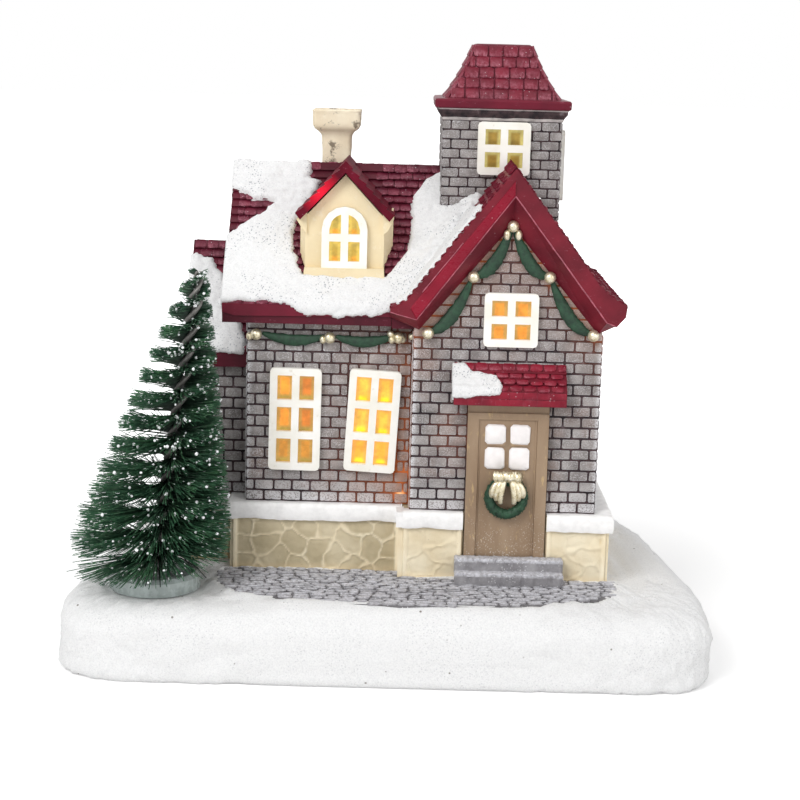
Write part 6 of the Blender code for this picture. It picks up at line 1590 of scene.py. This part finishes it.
def crescent(skin, start, end, sag, depth, fat, seed):
    """A leafy swag that hangs between two hooks and is fattest at its middle."""
    sides, count, thin = 12, 22, 0.55
    rings = []
    for i in range(count + 1):
        share = i / count
        belly = math.sin(math.pi * share) ** 0.8 if 0 < share < 1 else 0.0
        drop = sag * 4 * share * (1 - share)
        centre = Vector((start[0] + (end[0] - start[0]) * share, 0,
                         start[1] + (end[1] - start[1]) * share - drop))
        slant = Vector((end[0] - start[0], 0, end[1] - start[1] - sag * 4 * (1 - 2 * share)))
        slant.normalize()
        up = Vector((-slant.z, 0, slant.x))
        high = 0.35 + fat * belly
        for k in range(sides):
            turn = 2 * math.pi * k / sides
            rough = 1 + lumps((share * 30, math.cos(turn) * 2, math.sin(turn) * 2), seed, (1, 0.22))
            ahead = math.sin(turn) * thin * (0.6 + 0.7 * belly) * rough
            rings.append(centre + up * (math.cos(turn) * high * rough)
                         + Vector((0, depth - ahead, 0)))
    skin.grid(rings, sides, closed=True, caps=(0, -1))


EAVE_HOOKS = [(-32.2, 74.9), (-14.9, 74.5), (1.3, 74.9)]
GABLE_HOOKS = [(8.1, 77.0), (18.2, 90.4), (26.95, 102.3), (35.9, 90.7), (46.5, 77.4)]
greens, golds = Skin(), Skin()
for number, (a, b) in enumerate(zip(EAVE_HOOKS, EAVE_HOOKS[1:])):
    crescent(greens, (a[0] + 1.4, a[1] + 0.3), (b[0] - 1.2, b[1] + 0.3), 1.35, MAIN_LOW.y - 0.75,
             1.0, number + 1.0)
for number, (a, b) in enumerate(zip(GABLE_HOOKS, GABLE_HOOKS[1:])):
    a, b = Vector((*a, 0)), Vector((*b, 0))
    crescent(greens, a.lerp(b, 0.03), a.lerp(b, 0.97), 3.1, BLOCK_LOW.y - 0.85, 1.2, number + 7.0)
greens.piece("garland_swags", GREEN, "garland_green", angle=180)
for x, z in EAVE_HOOKS:
    depth = MAIN_LOW.y - 1.45
    golds.ball(Vector((x, depth, z)), 1.36, 3)
    golds.ball(Vector((x - 1.6, depth + 0.4, z - 0.5)), 0.9, 3, 1.1, 0.9)
last_x, last_z = EAVE_HOOKS[2]
for x, z in ((-1.9, 0.9), (0.9, -0.4), (3.1, 0.4)):
    golds.ball(Vector((last_x + x, MAIN_LOW.y - 1.2, last_z + z)), 0.85, 3)
for x, z in GABLE_HOOKS:
    golds.ball(Vector((x, BLOCK_LOW.y - 1.6, z)), 1.38, 3)
apex_x, apex_z = GABLE_HOOKS[2]
for side in (-1, 1):
    golds.ball(Vector((apex_x + side * 1.35, BLOCK_LOW.y - 1.3, apex_z - 2.0)), 0.85, 3, 1.5, 0.95)
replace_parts(golds.piece("garland_balls", GOLD, "bow_gold", angle=180), "eave_garland",
            "gable_garland")


# Wreath and bow

skin = Skin()
rng = random.Random(29)
WREATH = Vector((27.55, -24.35, 38.7))
WREATH_RADIUS = 4.0
ring_path = []
for i in range(49):
    turn = 2 * math.pi * i / 48
    ring_path.append(WREATH + Vector((math.sin(turn), 0, math.cos(turn))) * WREATH_RADIUS)
skin.tube(ring_path, [1.15 + 0.12 * math.sin(i * 2.4) for i in range(49)], 12)
for i in range(420):
    turn, lean = rng.uniform(0, 2 * math.pi), rng.uniform(-2.2, 2.2)
    out = Vector((math.sin(turn), 0, math.cos(turn)))
    normal = out * math.sin(lean) + Vector((0, -math.cos(lean), 0))
    foot = WREATH + out * WREATH_RADIUS + normal * 0.95
    along = Vector((out.z, 0, -out.x)) * rng.choice((-1, 1))
    tip = foot + (normal * rng.uniform(0.25, 0.5) + along * rng.uniform(0.2, 0.7))
    skin.tube([foot, tip], [0.15, 0.04], 4)
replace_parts(skin.piece("wreath_tufts", WREATH_GREEN, "garland_green", angle=180), "wreath")

skin = Skin()
BOW_HEIGHT = 44.0
path = [Vector((24.6 + 6.2 * i / 40, -25.9 - 0.15 * math.sin(i * 0.8),
                BOW_HEIGHT + 0.1 * math.sin(i * 0.5))) for i in range(41)]
skin.tube(path, [0.92 + 0.16 * math.sin(i * 1.9) + 0.10 * math.sin(i * 0.9) for i in range(41)],
          12)
for point in skin.points:
    point.z = BOW_HEIGHT + (point.z - BOW_HEIGHT) * 1.25
for side in (-1, 1):
    for fold in range(1, 4):
        path = []
        for i in range(15):
            share = i / 14
            spread = (0.45 + 0.80 * fold) * side
            path.append(Vector((27.75 + spread * (0.55 + 0.75 * math.sin(math.pi * share * 0.62)),
                                -25.6 - 0.5 * math.sin(math.pi * share) + 0.12 * fold,
                                43.4 - (6.6 - 0.75 * fold) * share)))
        skin.tube(path, [0.42 + 0.34 * math.sin(math.pi * (0.15 + 0.7 * i / 14))
                         for i in range(15)], 9)
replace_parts(skin.piece("bow_ribbon", GOLD, "bow_gold", angle=180), "wreath_bow")


# Door: white lights, a lintel under the canopy and beads round the leaf

skin = Skin()
rng = random.Random(41)
DOOR_FACE = -23.1
for u, v in (((22.2, 27.0), (51.2, 55.9)), ((28.1, 32.7), (51.3, 56.0)),
             ((22.3, 26.9), (45.2, 50.4)), ((27.9, 32.6), (45.1, 50.5))):
    pillow(skin, facade("front", DOOR_FACE), u, v, (-0.5, -0.5), (0.50, 0.50), 0.35, 0.62, rng,
           0.10)
skin.piece("door_lights", DOOR_WHITE, "frame_ivory", angle=60)
skin = Skin()
skin.box((door_low.x, DOOR_FACE, 58.4), (door_high.x, -20.9, 61.4))
for bead in (((20.75, 24.3), (20.75, 57.2)), ((34.25, 24.3), (34.25, 57.2)),
             ((20.6, 57.2), (34.4, 57.2))):
    skin.tube([Vector((x, -22.75, z)) for x, z in bead], [0.42, 0.42], 8)
skin.piece("door_lintel", DOOR, "door_brown", angle=40)


# Windows: a lit sheet before each pane, with its colours on the points

def linear(*colour):
    return tuple(v ** 2.2 for v in colour)


def blend(low, high, share):
    return tuple(a + (b - a) * share for a, b in zip(low, high))


def lit_sheet(name, at, half, rows, hues, lean=0.0, arch=None):
    """hues is (left, right, bottom, lowest, edge) in sRGB. arch is the height where it starts."""
    left, right, bottom, lowest, edge = (linear(*hue) for hue in hues)
    skin = Skin()
    columns, count = 37, 25 * rows
    half_x, half_z = half
    turn = math.radians(lean)
    bar = 1.75
    open_x = (2 * half_x - 3 * bar) / 2
    open_z = (2 * half_z - (rows + 1) * bar) / rows
    points = []
    for j in range(count):
        z = -half_z + 0.8 + (2 * half_z - 1.6) * j / (count - 1)
        reach = half_x - 0.8
        if arch is not None and z > arch:
            reach = math.sqrt(max(reach ** 2 - (z - arch) ** 2, 0.05))
        for i in range(columns):
            x = reach * (2 * i / (columns - 1) - 1)
            border = i in (0, columns - 1) or j in (0, count - 1)
            points.append(at(x * math.cos(turn) + z * math.sin(turn),
                             z * math.cos(turn) - x * math.sin(turn), -0.3 if border else 0.16))
            share = (z + half_z) / (2 * half_z)
            cell = (z + half_z - bar) % (open_z + bar)
            # Painted light and shade: the glow changes hue across the sheet, to the lowest hue at
            # each light's foot, and to the edge hue next to the bars and at each light's top.
            hue = blend(left, right, smooth_step(x, -0.8, 0.8))
            hue = blend(bottom, hue, smooth_step(share, 0.30, 0.38))
            hue = blend(lowest, hue, smooth_step(cell, 0.5, 1.6))
            aside = abs(abs(x) - (bar + open_x) / 2)
            near = smooth_step(aside, open_x / 2 - 1.0, open_x / 2 - 0.4)
            near = max(near, smooth_step(cell, open_z - 1.0, open_z - 0.4))
            hue = blend(hue, edge, 0.85 * near)
            cloud = 1 + lumps((x, z, 2), half_x, (3.0, 0.22), (1.2, 0.10))
            skin.hues.append(tuple(min(1.0, v * cloud) for v in hue))
    skin.grid(points, columns)
    skin.piece(name + "_glow", LIGHTS, "pane_amber", angle=180)


ORANGE = ((0.97, 0.60, 0.17), (0.84, 0.48, 0.14), (0.80, 0.53, 0.16), (0.68, 0.56, 0.24),
          (0.72, 0.57, 0.28))
YELLOW = ((0.99, 0.76, 0.27), (0.98, 0.74, 0.25), (0.99, 0.68, 0.20), (1.00, 0.90, 0.12),
          (0.93, 0.66, 0.30))
AMBER = ((0.92, 0.60, 0.20), (0.94, 0.60, 0.20), (0.90, 0.56, 0.17), (0.90, 0.58, 0.20),
         (0.74, 0.60, 0.32))
OLIVE = ((0.60, 0.48, 0.20), (0.62, 0.51, 0.22), (0.54, 0.42, 0.15), (0.48, 0.38, 0.13),
         (0.76, 0.71, 0.44))
DORMER = ((0.76, 0.65, 0.30), (0.76, 0.64, 0.30), (0.74, 0.60, 0.24), (0.90, 0.62, 0.20),
          (0.88, 0.76, 0.36))
for name, side, rows_of, hues, lean in (
        ("main_window_left", "front", 3, ORANGE, 0.6),
        ("main_window_right", "front", 3, YELLOW, 2.9),
        ("gable_window", "front", 2, AMBER, 0.0), ("tower_window", "front", 2, OLIVE, 0.0),
        ("dormer_window", "front", 2, DORMER, 0.0), ("tower_side_window", "right", 2, OLIVE, 0.0),
        ("block_side_window", "right", 3, AMBER, 0.0), ("rear_window", "back", 3, AMBER, 0.0)):
    low, high = node_box(name + "_frame")
    pane_low, pane_high = node_box(name + "_pane")
    along, out = FACINGS[side]
    middle = (low + high) / 2
    if side == "right":
        middle.x = pane_high.x
        width = high.y - low.y
    else:
        middle.y = pane_low.y if side == "front" else pane_high.y
        width = high.x - low.x
    tall = high.z - low.z
    sine = math.sin(math.radians(lean))
    half = ((width - tall * sine) / 2, (tall - width * sine) / 2)
    lit_sheet(name, plane(middle, along, UP, out), half, rows_of, hues, lean,
              half[1] - half[0] if name == "dormer_window" else None)


# The full bottle-brush tree

DISC_TOP = disc_high.z
STEM_FOOT, STEM_TOP = DISC_TOP, 91.9
WIRE_TURN, WIRE_START = 10.5, DISC_TOP - 2.7
TREE_LEAN = 10.1


def stem_at(height):
    share = (height - STEM_FOOT) / (STEM_TOP - STEM_FOOT)
    return Vector((TREE.x + TREE_LEAN * share, TREE.y, height))


def level(angle):
    """The direction of an angle in plan."""
    return Vector((math.cos(angle), math.sin(angle), 0))


def wire_angle(height, half_turns):
    return 2 * math.pi * (height - WIRE_START) / WIRE_TURN + math.pi * half_turns


def make_tree():
    dice = random.Random(17)
    strands, tips = Skin(), Skin()
    low, high = STEM_FOOT + 3.6, STEM_TOP - 0.6
    count, dots = ((7600, 0.085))
    for n in range(count):
        share = (n + dice.random()) / count
        share = 1 - (1 - share) ** 0.86
        height = low + (high - low) * share
        angle = wire_angle(height, n % 2) + dice.gauss(0, 0.30)
        reach = (1.6 + 18.0 * (1 - share)) * (1 - 0.12 * math.cos(angle))
        reach *= (1 - 0.14 * dice.random() ** 2) * (0.94 + 0.06 * smooth_step(share, 0.0, 0.15))
        droop = -0.06 * (1 - share) + 0.22 * share + dice.gauss(0, 0.085)
        if share < 0.04:
            droop -= dice.uniform(0.0, 0.14)
        out = level(angle)
        foot = stem_at(height) + out * 0.8
        ray = out * math.cos(droop) + Vector((0, 0, math.sin(droop)))
        side = ray.cross(Vector(UP)).normalized()
        up = side.cross(ray)
        bend = up * dice.gauss(-0.1, 0.55) + side * dice.gauss(0, 0.9)
        bend *= reach / 18
        middle = foot + ray * (reach * 0.55) + bend * 0.35
        tip = foot + ray * reach + bend
        if tip.z < DISC_TOP + 0.4:
            tip.z = DISC_TOP + 0.4 + dice.uniform(0, 0.6)
        points = []
        for centre, radius in ((foot, 0.12), (middle, 0.125), (tip, 0.09)):
            for k in range(3):
                turn = 2 * math.pi * k / 3
                points.append(centre + (side * math.cos(turn) + up * math.sin(turn)) * radius)
        strands.grid(points, 3, [0.0] * 3 + [0.5] * 3 + [1.0] * 3, closed=True, caps=(-1,))
        chance = dice.random()
        if chance < dots:
            place = tip.lerp(foot, dice.random() ** 1.5 * 0.55)
            tips.ball(place, dice.uniform(0.24, 0.46), 1, dice.uniform(0.75, 1.1))
        elif chance < dots + 0.14:
            start = tip.lerp(middle, dice.uniform(0.12, 0.3))
            ring = [start + (side * math.cos(t) + up * math.sin(t)) * 0.14 for t in (0.3, 2.4, 4.5)]
            tips.add([*ring, tip + ray * 0.1, start - ray * 0.3],
                     [(0, 1, 3), (1, 2, 3), (2, 0, 3), (1, 0, 4), (2, 1, 4), (0, 2, 4)])
    # A skirt of stiff needles at the foot
    for n in range(34):
        out = level(2 * math.pi * (n + dice.random()) / 34)
        foot = stem_at(DISC_TOP + dice.uniform(3.5, 7.5)) + out * 0.6
        reach = dice.uniform(7, 11.5 - 2.0 * out.y)
        tip = foot + out * reach
        tip.z = DISC_TOP + 0.5 if reach < 10.5 else DISC_TOP - dice.uniform(0.2, 1.4)
        middle = foot.lerp(tip, 0.55) + Vector((0, 0, dice.uniform(0.6, 1.4)))
        strands.tube([foot, middle, tip], [0.15, 0.15, 0.11], 5)
        if dice.random() < 0.35:
            tips.ball(foot.lerp(tip, dice.uniform(0.1, 0.5)) + Vector(UP), 0.42, 1)
    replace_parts(strands.piece("tree_brush", BRISTLE, "bristle_green", angle=80), "tree_bristles")
    tips.piece("tree_snow", FROST, "snow_white", angle=180)
    wires = Skin()
    steps = 260
    for phase in (0.5, 1.5):
        path = []
        for i in range(steps + 1):
            height = DISC_TOP - 0.3 + (STEM_TOP - DISC_TOP - 0.5) * i / steps
            reach = 1.2 - 0.5 * smooth_step(height, STEM_TOP - 8, STEM_TOP)
            path.append(stem_at(height) + level(wire_angle(height, phase)) * reach)
        wires.tube(path, [0.62 - 0.25 * smooth_step(i, steps * 0.88, steps)
                          for i in range(steps + 1)], 9)
    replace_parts(wires.piece("tree_stem", WIRE, "wire_dark", angle=180), "tree_wire_a",
                "tree_wire_b")


make_tree()


# Camera, light and floor

def add_camera():
    """The view of the photograph, whose lens was fitted in pixels of a frame 800 wide."""
    data = bpy.data.cameras.new("camera")
    data.sensor_width = 36
    data.lens = 1776 / 800 * data.sensor_width
    data.clip_start = 0.01
    camera = bpy.data.objects.new("camera", data)
    bpy.context.scene.collection.objects.link(camera)
    camera.matrix_world = (Matrix.Translation((0.002, -0.430, 0.141))
                           @ Matrix.Rotation(math.radians(90 - 11.1), 4, "X")
                           @ Matrix.Rotation(math.radians(1.5), 4, "Z"))
    bpy.context.scene.camera = camera


def add_lamp(name, location, size, watts, target=(0, 0, 0.06)):
    data = bpy.data.lights.new(name, "AREA")
    data.size = size
    data.energy = watts
    lamp = bpy.data.objects.new(name, data)
    bpy.context.scene.collection.objects.link(lamp)
    lamp.location = location
    lamp.rotation_euler = (Vector(target) - Vector(location)).to_track_quat("-Z", "Y").to_euler()


def add_world():
    world = bpy.data.worlds.new("studio")
    bpy.context.scene.world = world
    world.use_nodes = True
    tree = world.node_tree
    background = tree.nodes["Background"]
    background.inputs[0].default_value = (1, 1, 1, 1)
    path = tree.nodes.new("ShaderNodeLightPath")
    seen = path.outputs["Is Camera Ray"]
    for ray in ("Is Glossy Ray", "Is Transmission Ray"):
        either = tree.nodes.new("ShaderNodeMath")
        either.operation = "MAXIMUM"
        tree.links.new(seen, either.inputs[0])
        tree.links.new(path.outputs[ray], either.inputs[1])
        seen = either.outputs[0]
    scale = tree.nodes.new("ShaderNodeMapRange")
    scale.inputs["To Min"].default_value = 0.44
    scale.inputs["To Max"].default_value = 1.0
    tree.links.new(seen, scale.inputs["Value"])
    tree.links.new(scale.outputs[0], background.inputs[1])


def add_floor():
    """White, and lit for the camera alone, more so away from the house. It is open under the
    house, and clear from below, so that the underside can be seen."""
    count = 140
    points = [(p.x * MM, p.y * MM, 0) for p in base_ring(2.3, count)]
    for radius in (0.10, 0.4, 5.0):
        for i in range(count):
            turn = 2 * math.pi * (i + 0.5) / count
            points.append((radius * math.cos(turn), radius * math.sin(turn), 0))
    mesh = bpy.data.meshes.new("floor")
    mesh.from_pydata(points, [], quads(4, count, closed=True, order=UPRIGHT))
    floor = bpy.data.objects.new("floor", mesh)
    bpy.context.scene.collection.objects.link(floor)
    s = Shader("floor_white", (0.92, 0.92, 0.92), 1.0)
    s.put("Specular IOR Level", 0.0)
    far = s.node("ShaderNodeVectorMath", operation="LENGTH")
    s.set(far, 0, s.place)
    far = s.ramp(far.outputs["Value"], (0.09, 0.22), (0.30, 1.0))
    seen = s.node("ShaderNodeLightPath").outputs["Is Camera Ray"]
    s.glow((1, 1, 1, 1), s.times(seen, far))
    mixed = s.node("ShaderNodeMixShader")
    s.set(mixed, 0, s.node("ShaderNodeNewGeometry").outputs["Backfacing"])
    s.set(mixed, 1, s.surface.outputs[0])
    s.set(mixed, 2, s.node("ShaderNodeBsdfTransparent").outputs[0])
    s.set(s.tree.nodes["Material Output"], "Surface", mixed.outputs[0])
    mesh.materials.append(s.material)
    floor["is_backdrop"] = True


add_camera()
add_lamp("key", (-0.40, -0.60, 0.60), 0.4, 4.5)
add_lamp("fill", (0.55, -0.50, 0.35), 0.6, 1.5)
add_lamp("top", (0.05, 0.15, 0.8), 0.7, 1.4)
add_world()
add_floor()
bpy.context.scene.view_settings.view_transform = "Standard"

boxes = {"cad": cad_box, "visual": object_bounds()}
{key: [list(corner) for corner in box] for key, box in boxes.items()}
